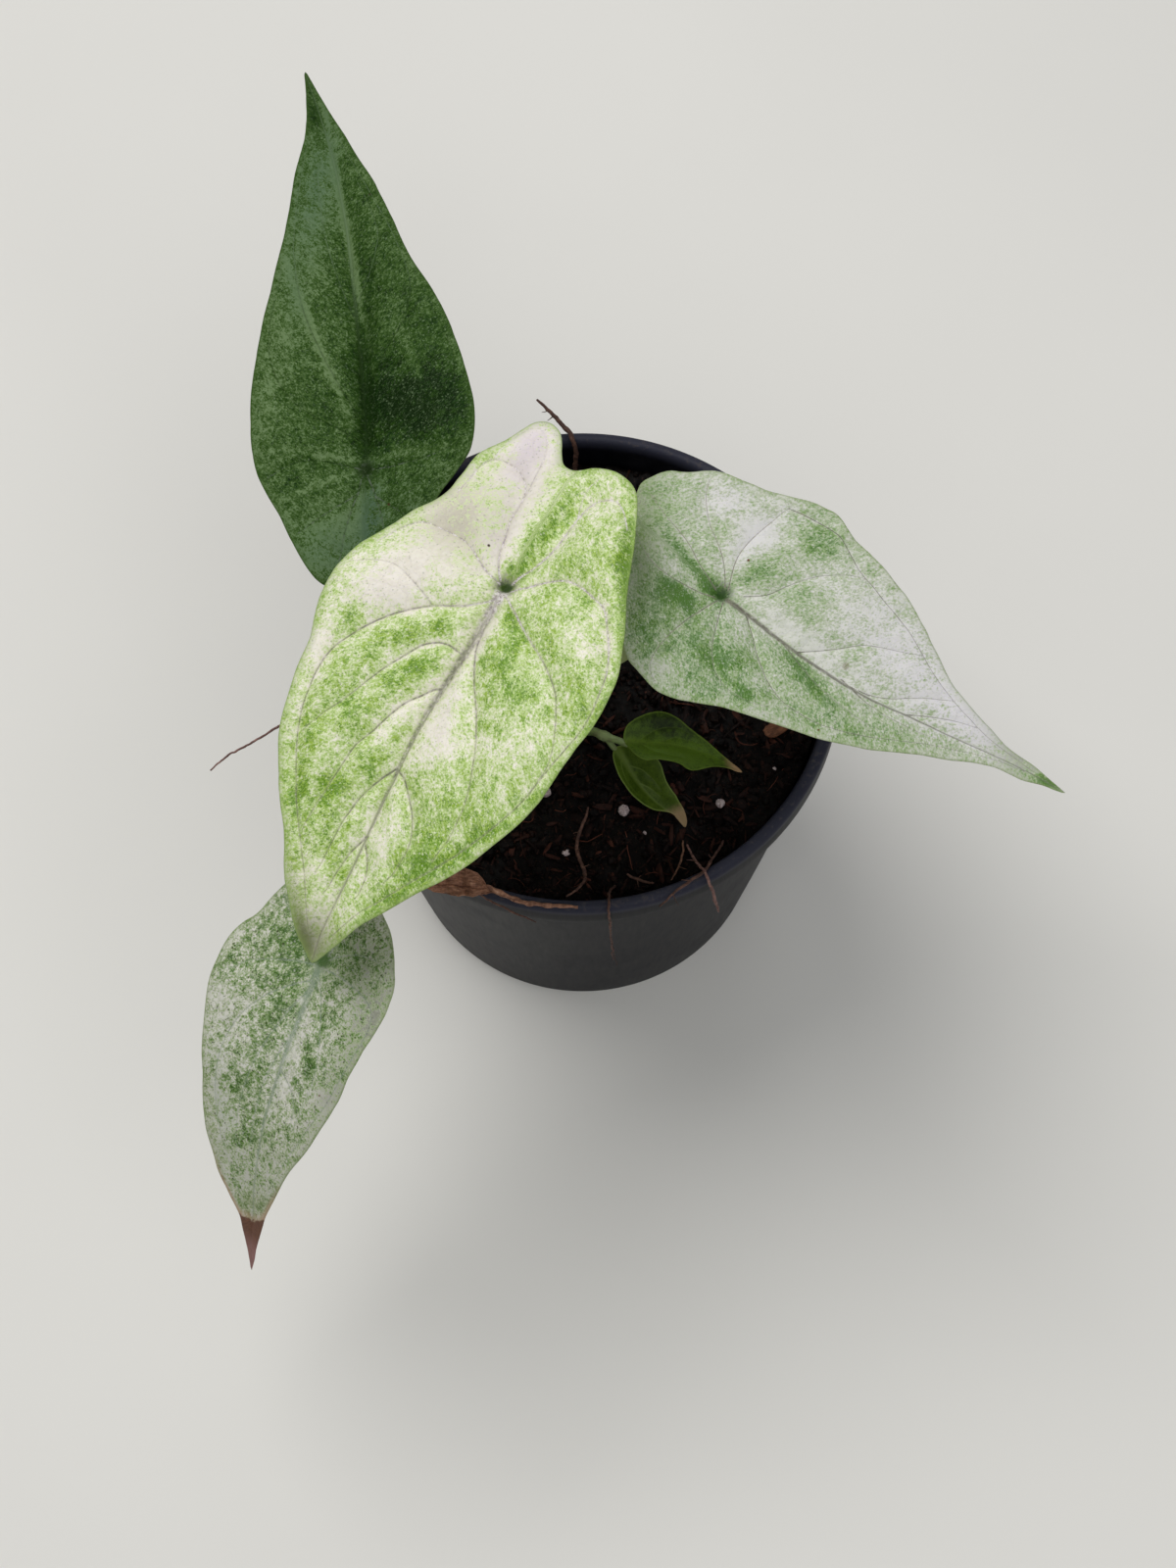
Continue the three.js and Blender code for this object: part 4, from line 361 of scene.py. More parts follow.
        "par": {"k": 0.006, "kb": 0.0, "s": 0.75, "w": 1.5, "q": 0.02, "b": 0.011788},
        "outline": [[25.2, 7.7], [23.8, 7.7], [22.6, 7.3], [21.3, 7.1], [19.9, 7.2], [18.4, 7.5], [16.9, 8.1], [15.4, 8.8],
            [13.9, 9.4], [12.6, 9.6], [11.5, 9.0], [10.6, 8.0], [9.4, 7.3], [8.2, 6.9], [7.0, 6.6], [5.7, 6.4], [4.3, 6.5],
            [3.0, 6.6], [1.9, 6.0], [1.0, 4.8], [0.3, 3.4], [-0.2, 1.7], [-0.6, 0.2], [-0.9, -1.1], [-0.6, -2.2], [0.0, -3.2],
            [1.0, -3.9], [2.1, -4.5], [3.3, -4.9], [4.6, -5.3], [5.9, -5.5], [7.2, -5.6], [8.5, -5.4], [9.7, -5.0],
            [10.8, -4.4], [11.9, -3.7], [12.9, -2.9], [13.8, -2.1], [14.8, -1.4], [15.8, -0.6], [16.8, 0.1], [17.8, 0.9],
            [18.7, 1.7], [19.7, 2.6], [20.6, 3.4], [21.5, 4.2], [22.5, 5.1], [23.4, 5.9], [24.4, 6.7]],
        "notch": None,
        "mid": [[-0.0, -0.0], [4.4, 0.7], [8.9, 1.1], [13.3, 2.0], [17.5, 3.5], [21.5, 5.4], [25.2, 7.7]],
        "veins": [["lat", [[1.9, 0.4], [3.4, -0.6], [4.9, -1.4], [6.5, -2.0], [8.2, -2.3], [9.9, -2.3], [11.5, -2.1], [13.0, -1.3],
            [14.5, -0.5]]], ["lat", [[6.8, 0.8], [8.6, 0.2], [10.5, -0.2], [12.3, 0.1], [14.1, 0.6], [15.8, 1.3], [17.4, 2.2]]],
            ["lat", [[3.0, 1.0], [4.2, 2.5], [5.6, 3.6], [7.2, 4.3], [8.8, 4.9], [10.5, 5.3], [12.2, 5.8]]]],
        "patches": [["dens", 11.1, -2.6, 5.7, 1.9, 12.0, 0.22], ["dens", 6.1, 4.8, 6.2, 3.1, 5.0, -0.22],
            ["dens", 12.5, 4.3, 5.0, 2.9, 179.0, -0.2]],
        "spots": [],
    },
    "offset_lower": {
        "at": [8.21, -22.14, 107.0],
        "az": -63.551,
        "dip": 14,
        "roll": 0,
        "par": {"k": 0.006, "kb": 0.0, "s": 0.6, "w": 1.5, "q": 0.02, "b": -0.013443},
        "outline": [[22.2, -6.4], [21.0, -5.9], [19.7, -5.5], [18.5, -5.1], [17.5, -4.2], [16.8, -3.1], [16.1, -1.9], [15.2, -0.9],
            [14.2, -0.1], [13.1, 0.6], [11.9, 1.2], [10.7, 1.7], [9.4, 2.0], [8.1, 2.2], [6.8, 2.4], [5.5, 2.5], [4.2, 2.4],
            [2.9, 2.2], [1.6, 1.9], [0.3, 1.3], [-0.5, 0.3], [-0.6, -0.9], [0.1, -2.0], [0.9, -2.9], [1.8, -3.9], [2.8, -4.7],
            [3.8, -5.5], [4.9, -6.3], [6.1, -6.8], [7.4, -7.0], [8.6, -6.9], [9.9, -6.7], [11.2, -6.6], [12.5, -6.7],
            [13.7, -6.9], [15.0, -7.2], [16.3, -7.3], [17.6, -7.5], [18.9, -7.6], [20.1, -7.5], [21.3, -7.2]],
        "notch": None,
        "mid": [[-0.0, -0.0], [4.7, -0.5], [9.3, -1.1], [13.7, -2.4], [17.9, -4.6], [22.2, -6.4]],
        "veins": [["lat", [[1.8, -0.1], [3.5, 0.8], [5.3, 1.2], [7.2, 1.3], [9.1, 1.0], [10.9, 0.5]]], ["lat", [[4.1, -0.4],
            [5.2, -1.7], [6.5, -2.9], [8.0, -3.6], [9.6, -4.2], [11.3, -4.6], [13.0, -4.9]]], ["lat", [[8.9, -1.1],
            [10.0, -2.1], [11.3, -3.0], [12.7, -3.7], [14.1, -4.4]]]],
        "patches": [["dens", 7.9, -1.0, 4.4, 1.8, 6.0, 0.15]],
        "spots": [],
    },
}
PETIOLES = {
    "rear": {"path": [[-14.2, -6.6, 99.9], [-19.4, -1.6, 124.9], [-35.3, 13.6, 138.1], [-44.8, 22.5, 158.3]], "foot": 2, "top": 1.25},
    "centre": {"path": [[-10.9, -10.0, 99.4], [-10.9, -10.0, 127.4], [-11.8, -11.7, 148.5], [-14.9, -13.0, 174.2]], "foot": 2.2, "top": 1.35},
    "right": {"path": [[-5.8, -9.7, 100.0], [2.2, -9.1, 124.7], [15.9, -8.9, 138.9], [30.3, -8.3, 158.1]], "foot": 2, "top": 1.2},
    "front": {"path": [[-13.3, -14.2, 100.5], [-22.8, -29.4, 129.3], [-39.5, -53.9, 114.2], [-55.1, -77.1, 125.0]], "foot": 2, "top": 1.15},
}
OFFSET_MAIN = [[-6.9, -13.3, 100.5], [-3.9, -14.6, 102.2], [0.2, -16.0, 103.6], [2.8, -17.4, 106.6], [4.7, -19.4, 109.2], [6.5, -21.0, 111.2], [8.5, -22.1, 112.2], [10.4, -23.3, 113.0]]
OFFSET_BRANCH = [[5.6, -20.2, 110.2], [7.0, -21.3, 107.5], [8.0, -21.8, 105.5]]
STRANDS = {
    "dry_leaf": [[-41.6, -48.3, 104.5], [-38.0, -50.6, 106.2], [-34.9, -52.8, 107.2], [-32.3, -53.9, 107.4], [-29.7, -53.7, 107.5],
        [-27.1, -53.8, 107.6], [-24.5, -54.1, 107.5], [-22.1, -54.5, 107.2], [-19.9, -55.1, 106.9], [-17.4, -56.4, 106.7],
        [-14.1, -57.8, 106.5], [-10.9, -58.3, 106.4], [-7.6, -58.6, 106.4], [-4.4, -58.9, 106.3], [-1.2, -59.3, 106.2]],
    "root_curled": [[1.4, -32.1, 97.0], [0.7, -34.9, 97.0], [-0.9, -38.7, 97.0], [-1.2, -42.6, 97.2], [-0.4, -45.9, 98.0],
        [0.5, -49.3, 100.0], [0.0, -52.3, 102.8], [-1.5, -54.9, 105.4], [-3.7, -56.9, 107.0]],
    "root_over_rim_a": [[31.8, -40.9, 97.4], [30.7, -43.5, 99.5], [29.2, -46.6, 102.8], [27.0, -50.9, 106.3], [24.1, -53.5, 106.6],
        [20.6, -56.0, 106.3], [16.8, -59.1, 105.4]],
    "root_over_rim_b": [[23.6, -41.6, 97.2], [24.3, -44.2, 98.6], [25.4, -48.0, 103.0], [26.9, -52.1, 108.4], [28.0, -54.4, 107.0],
        [28.7, -55.1, 104.0], [29.2, -55.5, 100.5], [30.3, -56.5, 94.0]],
    "root_hanging": [[7.2, -51.2, 97.4], [6.3, -53.4, 101.0], [5.6, -56.2, 105.0], [5.6, -58.4, 106.6], [5.5, -60.2, 105.9],
        [5.7, -61.0, 102.3], [6.0, -61.1, 95.1], [6.2, -61.3, 87.4], [6.6, -61.7, 76.5]],
    "root_rear": [[-0.6, 51.5, 97.2], [-0.3, 53.5, 99.5], [0.0, 54.5, 104.0], [-0.6, 56.0, 107.4], [-2.2, 58.6, 108.4],
        [-5.1, 62.1, 108.8], [-9.0, 66.8, 108.0]],
    "root_left": [[-43.9, 6.1, 97.2], [-47.8, 2.4, 98.5], [-51.5, -2.0, 102.5], [-56.1, -6.7, 106.3], [-62.1, -11.3, 107.0],
        [-68.3, -15.2, 106.8], [-73.6, -18.1, 106.0], [-79.9, -21.0, 104.6], [-83.8, -23.9, 103.0]],
    "fibre_front": [[22.7, -40.5, 96.9], [22.7, -42.4, 96.9], [22.4, -44.6, 97.0], [21.2, -47.7, 97.4], [19.8, -50.5, 98.6]],
    "root_stub": [[9.9, -48.3, 97.0], [11.7, -49.4, 97.2], [13.4, -50.2, 97.4], [15.8, -51.0, 98.2]],
    "fibre_rim": [[-22.7, -56.9, 108.8], [-20.0, -57.7, 106.0], [-17.4, -58.6, 104.3], [-14.3, -59.5, 102.2], [-10.6, -60.5, 100.2]],
}

CROWN = (-10.7, -10.0)

scene = bpy.context.scene
scene.view_settings.view_transform = "Standard"
scene.view_settings.look = "None"
scene.view_settings.exposure = 0.0
scene.view_settings.gamma = 1.0


# ------------------------------------------------------------------ small numeric helpers
def unit(a):
    a = np.asarray(a, float)
    return a / np.linalg.norm(a)


def sstep(x, lo, hi):
    t = np.clip((x - lo) / (hi - lo), 0, 1)
    return t * t * (3 - 2 * t)


def _hash(ix, iy, iz, seed):
    n = (ix * 73856093) ^ (iy * 19349663) ^ (iz * 83492791) ^ (seed * 2654435761)
    n = n & 0xFFFFFFFF
    n = (n ^ (n >> 15)) * 2246822519 & 0xFFFFFFFF
    n = (n ^ (n >> 13)) * 3266489917 & 0xFFFFFFFF
    n = n ^ (n >> 16)
    return n / 4294967295.0 * 2 - 1


def vnoise(p, scale=1.0, seed=1):
    """Smooth value noise, -1 to 1, of points (n, 3)."""
    p = np.asarray(p, float) * scale
    i = np.floor(p).astype(np.int64)
    f = p - i
    f = f * f * f * (f * (f * 6 - 15) + 10)
    out = 0
    for dx in (0, 1):
        wx = f[:, 0] if dx else 1 - f[:, 0]
        for dy in (0, 1):
            wy = f[:, 1] if dy else 1 - f[:, 1]
            for dz in (0, 1):
                wz = f[:, 2] if dz else 1 - f[:, 2]
                out = out + wx * wy * wz * _hash(i[:, 0] + dx, i[:, 1] + dy, i[:, 2] + dz, seed)
    return out


def fnoise(p, scale, seed=1, octaves=3, rough=0.5):
    s, a, t = 0, 1.0, 0
    for k in range(octaves):
        s = s + a * vnoise(p, scale * 2**k, seed + 17 * k)
        t += a
        a *= rough
    return s / t


def spline(pts, step, closed=False):
    """Catmull-Rom curve through pts, sampled at an even step."""
    p = np.asarray(pts, float)
    n = len(p)
    if closed:
        q = np.vstack([p[-1], p, p[0], p[1]])
        m = n
    else:
        q = np.vstack([2 * p[0] - p[1], p, 2 * p[-1] - p[-2]])
        m = n - 1
    out = []
    for i in range(m):
        a, b, c, d = q[i : i + 4]
        k = 12
        t = (np.arange(k) / k)[:, None]
        out.append(0.5 * (2 * b + (c - a) * t + (2 * a - 5 * b + 4 * c - d) * t**2 + (3 * b - a - 3 * c + d) * t**3))
    out = np.vstack(out + [p[:1] if closed else p[-1:]])
    s = np.r_[0, np.cumsum(np.linalg.norm(np.diff(out, axis=0), axis=1))]
    k = max(2, int(round(s[-1] / step)))
    t = np.linspace(0, s[-1], k + 1)
    r = np.stack([np.interp(t, s, out[:, j]) for j in range(p.shape[1])], -1)
    return r[:-1] if closed else r


def seg_dist(P, line):
    """Distance of points P (n, 2) to a polyline, and the share of its length there."""
    A, B = line[:-1], line[1:]
    L = np.linalg.norm(B - A, axis=1)
    S = np.r_[0, np.cumsum(L)]
    best = np.full(len(P), 1e9)
    at = np.zeros(len(P))
    for i in range(len(A)):
        d = B[i] - A[i]
        t = np.clip(((P - A[i]) @ d) / max(L[i] ** 2, 1e-12), 0, 1)
        q = np.hypot(*(P - (A[i] + t[:, None] * d)).T)
        m = q < best
        best[m] = q[m]
        at[m] = (S[i] + t[m] * L[i]) / S[-1]
    return best, at


def inside(P, poly):
    x, y = P[:, 0], P[:, 1]
    a, b = poly, np.roll(poly, -1, axis=0)
    r = np.zeros(len(P), bool)
    for (x0, y0), (x1, y1) in zip(a, b):
        c = (y0 > y) != (y1 > y)
        if c.any():
            r ^= c & (x < (x1 - x0) * (y - y0) / (y1 - y0 + 1e-30) + x0)
    return r


class Sieve:
    """Keeps points that are at least a given distance from those kept before."""

    def __init__(self, cell):
        self.c, self.g, self.p = cell, {}, []

    def add(self, x, y, r):
        c = self.c
        i, j = int(math.floor(x / c)), int(math.floor(y / c))
        k = int(math.ceil(r / c))
        rr = r * r
        g = self.g
        for a in range(i - k, i + k + 1):
            for b in range(j - k, j + k + 1):
                for q in g.get((a, b), ()):
                    if (q[0] - x) ** 2 + (q[1] - y) ** 2 < rr:
                        return False
        g.setdefault((i, j), []).append((x, y))
        self.p.append((x, y))
        return True


# ------------------------------------------------------------------ meshes
def mesh_object(name, verts_mm, faces, mats, face_mat=None, attrs=None, smooth=True):
    me = bpy.data.meshes.new(name)
    v = np.asarray(verts_mm, np.float64) * MM
    me.from_pydata(v.tolist(), [], faces)
    for m in mats:
        me.materials.append(m)
    if face_mat is not None:
        me.polygons.foreach_set("material_index", np.asarray(face_mat, np.int32))
    for k, a in (attrs or {}).items():
        a = np.asarray(a, np.float32)
        if a.ndim == 2:
            at = me.attributes.new(k, "FLOAT_VECTOR", "POINT")
            at.data.foreach_set("vector", a.ravel())
        else:
            at = me.attributes.new(k, "FLOAT", "POINT")
            at.data.foreach_set("value", a)
    me.polygons.foreach_set("use_smooth", np.full(len(me.polygons), smooth))
    me.update()
    o = bpy.data.objects.new(name, me)
    scene.collection.objects.link(o)
    return o


def stand_for(o, slot, *nodes):
    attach(o, "root")
    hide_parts(*nodes)
    return o


# ------------------------------------------------------------------ materials
class Nodes:
    """Short names for building a node material."""

    def __init__(self, name):
        self.m = bpy.data.materials.new(name)
        self.m.use_nodes = True
        self.t = self.m.node_tree
        self.t.nodes.clear()
        self.out = self.t.nodes.new("ShaderNodeOutputMaterial")
        self.b = self.t.nodes.new("ShaderNodeBsdfPrincipled")
        self.t.links.new(self.b.outputs[0], self.out.inputs[0])

    def put(self, sock, v):
        if isinstance(v, bpy.types.NodeSocket):
            self.t.links.new(v, sock)
        elif v is not None:
            if hasattr(sock.default_value, "__len__"):
                v = tuple(v) if hasattr(v, "__len__") else (v,) * len(sock.default_value)
                if len(v) == 3 and len(sock.default_value) == 4:
                    v = v + (1.0,)
            sock.default_value = v

    def attr(self, name):
        n = self.t.nodes.new("ShaderNodeAttribute")
        n.attribute_name = name
        return n

    def val(self, name):
        return self.attr(name).outputs["Fac"]

    def vec(self, name):
        return self.attr(name).outputs["Vector"]

    def coord(self):
        return self.t.nodes.new("ShaderNodeTexCoord").outputs["Object"]

    def math(self, op, a, b=None, c=None, clamp=False):
        n = self.t.nodes.new("ShaderNodeMath")
        n.operation = op
        n.use_clamp = clamp
        for s, v in zip(n.inputs, (a, b, c)):
            self.put(s, v)
        return n.outputs[0]

    def add(self, a, b):
        return self.math("ADD", a, b)

    def sub(self, a, b):
        return self.math("SUBTRACT", a, b)

    def mul(self, a, b, clamp=False):
        return self.math("MULTIPLY", a, b, clamp=clamp)

    def mad(self, a, b, c, clamp=False):
        return self.math("MULTIPLY_ADD", a, b, c, clamp)

    def smooth(self, x, lo, hi, a=0.0, b=1.0):
        n = self.t.nodes.new("ShaderNodeMapRange")
        n.interpolation_type = "SMOOTHSTEP"
        for k, v in (("Value", x), ("From Min", lo), ("From Max", hi), ("To Min", a), ("To Max", b)):
            self.put(n.inputs[k], v)
        return n.outputs["Result"]

    def mix(self, f, a, b, blend="MIX"):
        n = self.t.nodes.new("ShaderNodeMix")
        n.data_type = "RGBA"
        n.blend_type = blend
        n.clamp_factor = True
        self.put(n.inputs[0], f)
        self.put(n.inputs[6], a)
        self.put(n.inputs[7], b)
        return n.outputs[2]

    def scale(self, v, s):
        n = self.t.nodes.new("ShaderNodeVectorMath")
        n.operation = "MULTIPLY"
        self.put(n.inputs[0], v)
        self.put(n.inputs[1], s)
        return n.outputs[0]

    def vadd(self, a, b):
        n = self.t.nodes.new("ShaderNodeVectorMath")
        n.operation = "ADD"
        self.put(n.inputs[0], a)
        self.put(n.inputs[1], b)
        return n.outputs[0]

    def noise(self, vec, scale, detail=2.0, rough=0.5, dist=0.0, out="Fac"):
        n = self.t.nodes.new("ShaderNodeTexNoise")
        n.noise_dimensions = "3D"
        self.put(n.inputs["Vector"], vec)
        n.inputs["Scale"].default_value = scale
        n.inputs["Detail"].default_value = detail
        n.inputs["Roughness"].default_value = rough
        n.inputs["Distortion"].default_value = dist
        return n.outputs[0 if out == "Fac" else 1]

    def voronoi(self, vec, scale, feature="F1", out="Distance", rand=1.0):
        n = self.t.nodes.new("ShaderNodeTexVoronoi")
        n.feature = feature
        self.put(n.inputs["Vector"], vec)
        n.inputs["Scale"].default_value = scale
        n.inputs["Randomness"].default_value = rand
        return n.outputs[out]

    def warp(self, vec, scale, amount, detail=1.0):
        """vec moved by a smooth vector noise, by up to about amount."""
        n = self.noise(vec, scale, detail, 0.5, out="Color")
        c = self.t.nodes.new("ShaderNodeVectorMath")
        c.operation = "SUBTRACT"
        self.put(c.inputs[0], n)
        c.inputs[1].default_value = (0.5, 0.5, 0.5)
        return self.vadd(vec, self.scale(c.outputs[0], (amount * 2,) * 3))

    def bump(self, height, strength, dist_mm, normal=None):
        n = self.t.nodes.new("ShaderNodeBump")
        n.inputs["Strength"].default_value = strength
        n.inputs["Distance"].default_value = dist_mm * MM
        self.put(n.inputs["Height"], height)
        if normal is not None:
            self.put(n.inputs["Normal"], normal)
        return n.outputs[0]

    def ramp(self, x, stops):
        n = self.t.nodes.new("ShaderNodeValToRGB")
        e = n.color_ramp.elements
        while len(e) > 1:
            e.remove(e[0])
        e[0].position, e[0].color = stops[0][0], (*stops[0][1], 1)
        for pos, col in stops[1:]:
            q = e.new(pos)
            q.color = (*col, 1)
        self.put(n.inputs[0], x)
        return n.outputs[0]

    def done(self, color, rough=0.5, normal=None, spec=0.5, **more):
        b = self.b.inputs
        self.put(b["Base Color"], color)
        self.put(b["Roughness"], rough)
        self.put(b["Normal"], normal)
        b["Specular IOR Level"].default_value = spec
        for k, v in more.items():
            self.put(b[k.replace("_", " ")], v)
        return self.m


def srgb(r, g, b):
    return tuple(((c / 255) / 12.92) if c / 255 <= 0.04045 else ((c / 255 + 0.055) / 1.055) ** 2.4 for c in (r, g, b))


# ------------------------------------------------------------------ blades
# width of a vein's line and depth of its crease, in mm, by kind: (half width at the stalk, at the end, line strength, crease strength)
VEIN = {
    "mid": (1.05, 0.17, 1.0, 1.25),
    "lat": (0.17, 0.10, 0.95, 0.95),
    "post": (0.22, 0.11, 1.0, 1.15),
    "lat2": (0.12, 0.08, 0.6, 0.45),
}
# relief: crease height and reach, panel crown height and reach, pit depth, edge wave, margin fall
RELIEF = {
    "rear": dict(A=0.75, L=2.4, A2=0.8, L2=9.0, pit=1.5, wave=0.35, thick=0.6, fold=2.0, reach=4.0),
    "centre": dict(A=1.7, L=2.1, A2=1.4, L2=6.5, pit=3.0, wave=0.40, thick=0.6, fold=0.5, reach=3.5),
    "right": dict(A=0.75, L=1.8, A2=0.5, L2=7.5, pit=2.2, wave=0.35, thick=0.55, fold=0.7, reach=3.0),
    "front": dict(A=0.40, L=1.6, A2=0.5, L2=7.0, pit=1.4, wave=0.35, thick=0.55, fold=0.3, reach=2.5),
    "offset_upper": dict(A=0.28, L=1.0, A2=0.3, L2=3.0, pit=0.5, wave=0.12, thick=0.4),
    "offset_lower": dict(A=0.25, L=1.0, A2=0.25, L2=3.0, pit=0.4, wave=0.12, thick=0.4),
}


def blade_frame(d):
    a, dip, roll = (math.radians(d[k]) for k in ("az", "dip", "roll"))
    U = np.array([math.cos(a) * math.cos(dip), math.sin(a) * math.cos(dip), -math.sin(dip)])
    V0 = np.array([math.sin(a), -math.cos(a), 0.0])
    N0 = np.cross(V0, U)
    V = V0 * math.cos(roll) - N0 * math.sin(roll)
    return np.array(d["at"], float), U, V, np.cross(V, U)


def blade_height(u, v, p):
    up, um = np.maximum(u, 0), np.minimum(u, 0)
    vp = v - p["b"] * up * up
    return -p["k"] * up * up - p["kb"] * um * um + p["s"] * (np.sqrt(vp * vp + p["w"] ** 2) - p["w"]) - p["q"] * vp * vp


def build_blade(key, name, node, slot, mats, grid, seed):
    d, rel = LEAVES[key], RELIEF[key]
    O, U, V, N = blade_frame(d)
    small = key.startswith("offset")
    k = 0.45 if small else 1.0
    edge = spline(d["outline"], 0.6 * k, closed=True)
    area = 0.5 * np.sum(edge[:, 0] * np.roll(edge[:, 1], -1) - edge[:, 1] * np.roll(edge[:, 0], -1))
    if area < 0:
        edge = edge[::-1]
    # inward normals of the outline, for rings beside the margin
    tan = np.roll(edge, -1, 0) - np.roll(edge, 1, 0)
    tan /= np.linalg.norm(tan, axis=1)[:, None]
    inn = np.stack([-tan[:, 1], tan[:, 0]], -1)
    veins = [("mid", np.array(d["mid"]))] + [(t, np.array(p)) for t, p in d["veins"]]
    lines = [(t, spline(p, 0.5 * k)) for t, p in veins]
    sv = Sieve(0.5 * k)
    nb = len(edge)
    for x, y in edge:
        sv.p.append((x, y))
        sv.g.setdefault((int(math.floor(x / sv.c)), int(math.floor(y / sv.c))), []).append((x, y))
    far = np.hypot(edge[:, 0], edge[:, 1])

    def add_all(P, r, gap=0.18):
        P = P[inside(P, edge)]
        if not len(P):
            return
        dm, _ = seg_dist(P, np.vstack([edge, edge[:1]]))
        for (x, y), m in zip(P, dm):
            if m > gap * k:
                sv.add(x, y, r * k)

    add_all(edge + inn * 0.28 * k, 0.22, 0.15)
    for x, y, r, _ in d["spots"]:
        add_all(np.array([[x, y]]), 0.1)
        for q, n in ((r * 0.5, 6), (r, 8), (r * 1.5, 10)):
            a = np.arange(n) / n * TAU
            add_all(np.stack([x + q * np.cos(a), y + q * np.sin(a)], -1), 0.1)
    for t, ln in lines:
        add_all(ln, 0.22)
    # the funnel over the stalk
    for q, n in ((0.5, 8), (1.0, 12), (1.6, 16), (2.3, 20), (3.1, 24), (4.0, 28)):
        a = np.arange(n) / n * TAU
        add_all(np.stack([q * np.cos(a), q * np.sin(a)], -1) * (0.5 if small else 1), 0.3)
    for off, rr in ((0.28, 0.2), (0.62, 0.3), (1.15, 0.42)):
        for t, ln in lines:
            if t == "lat2" and off == 0.62:
                continue
            g = np.gradient(ln, axis=0)
            g /= np.linalg.norm(g, axis=1)[:, None] + 1e-12
            nn = np.stack([-g[:, 1], g[:, 0]], -1) * (off * k if t != "mid" or off > 0.3 else 0.34 * k)
            add_all(ln + nn, rr)
            add_all(ln - nn, rr)
    add_all(edge + inn * 0.75 * k, 0.4)
    rng = np.random.default_rng(seed)
    lo, hi = edge.min(0), edge.max(0)
    gx = np.arange(lo[0], hi[0], grid)
    gy = np.arange(lo[1], hi[1], grid * 0.866)
    G = np.array([(x + (j % 2) * grid / 2, y) for j, y in enumerate(gy) for x in gx])
    G = G + rng.uniform(-0.12, 0.12, G.shape) * grid
    add_all(G, 0.62 * grid / k, 0.5)
    P = np.array(sv.p)
    res = geometry.delaunay_2d_cdt([Vector(p) for p in P], [], [list(range(nb))], 1, 1e-5)
    pts = np.array([tuple(p) for p in res[0]])
    tris = np.array([list(f) for f in res[2]])
    orig = res[3]
    first = {}
    for i, o in enumerate(orig):
        for q in o:
            first[q] = i
    ring = [first[i] for i in range(nb)]
    n = len(pts)
    u, v = pts[:, 0], pts[:, 1]

    # listed patches of colour and height
    # some colour patches paint shade and sheen: greyed patches where a blade slopes away from the light or lies under
    # another, olive patches that are partly the blade's own colour and partly shade, and a bluish sheen on the rear
    # blade
    fields = {q: np.zeros(n) for q in ("dens", "hue_and_sheen", "olive", "painted_shade", "lift")}
    for ch, cu, cv, r1, r2, ang, amp in d["patches"]:
        ca, sa = math.cos(math.radians(ang)), math.sin(math.radians(ang))
        x = (u - cu) * ca + (v - cv) * sa
        y = -(u - cu) * sa + (v - cv) * ca
        fields[ch] += amp * np.exp(-0.5 * ((x / r1) ** 2 + (y / r2) ** 2))

    # distances to the veins
    line = np.full(n, 9.0)  # distance over half width
    vs = np.zeros(n)
    crease = np.zeros(n)
    crown = np.zeros(n)
    rib = np.zeros(n)
    midd = None
    for t, ln in lines:
        w0, w1, cs, rs = VEIN[t]
        if small:
            w0, w1 = w0 * 0.42, w1 * 0.42
        ws = d.get("wide", 1.0)
        ln1 = ln[:: 2 if len(ln) > 12 else 1]
        if np.hypot(*(ln1[-1] - ln[-1])) > 1e-6:
            ln1 = np.vstack([ln1, ln[-1]])
        dist, at = seg_dist(pts, ln1)
        w = (w1 + (w0 - w1) * (1 - np.minimum(1, at * 1.15)) ** (1.8 if t == "mid" else 1.0)) * ws
        s = cs * (1 - 0.45 * at)
        q = dist / w
        m = q < line
        line[m], vs[m] = q[m], s[m]
        r = rs * (1 - 0.35 * at) * (1 - sstep(at, 0.9, 1.0) * (0.6 if t != "mid" else 0.0))
        crease = np.maximum(crease, r * np.exp(-dist / rel["L"]))
        crown = np.maximum(crown, r * np.exp(-((dist / rel["L2"]) ** 1.5)))
        rib = np.maximum(rib, r * (1 - at * 0.8) * np.exp(-((dist / (2.2 * w0)) ** 2)) * (1.0 if t == "mid" else 0.45 if t != "lat2" else 0.15))
        if t == "mid":
            midd = dist
    md, ma = seg_dist(pts, np.vstack([edge, edge[:1]]))
    md[np.array(ring)] = 0
    # no funnel or vein relief right at the margin
    h = blade_height(u, v, d["par"])
    calm = sstep(md, 0.0, 3.0 * k)
    relief = rel["A"] * (0.42 - np.minimum(crease, 1.25)) * calm + rel["A2"] * (0.45 - np.minimum(crown, 1.2)) * sstep(md, 0, 7.0 * k)
    arc = ma * len(edge) * 0.6
    relief += rel["wave"] * np.exp(-md / (5.0 * k)) * (np.sin(arc / 5.3 + seed) * 0.6 + np.sin(arc / 2.9 + seed * 2.1) * 0.4)
    p3 = np.stack([u, v, np.full(n, seed * 3.7)], -1)
    near = np.exp(-((np.hypot(u, v) / (5.0 * k)) ** 2))
    relief = relief * (1 - near) - 0.35 * k * near
    relief += 0.22 * k * fnoise(p3, 0.22 / k, seed, 2) * calm + 0.05 * k * fnoise(p3, 0.9 / k, seed + 5, 2)
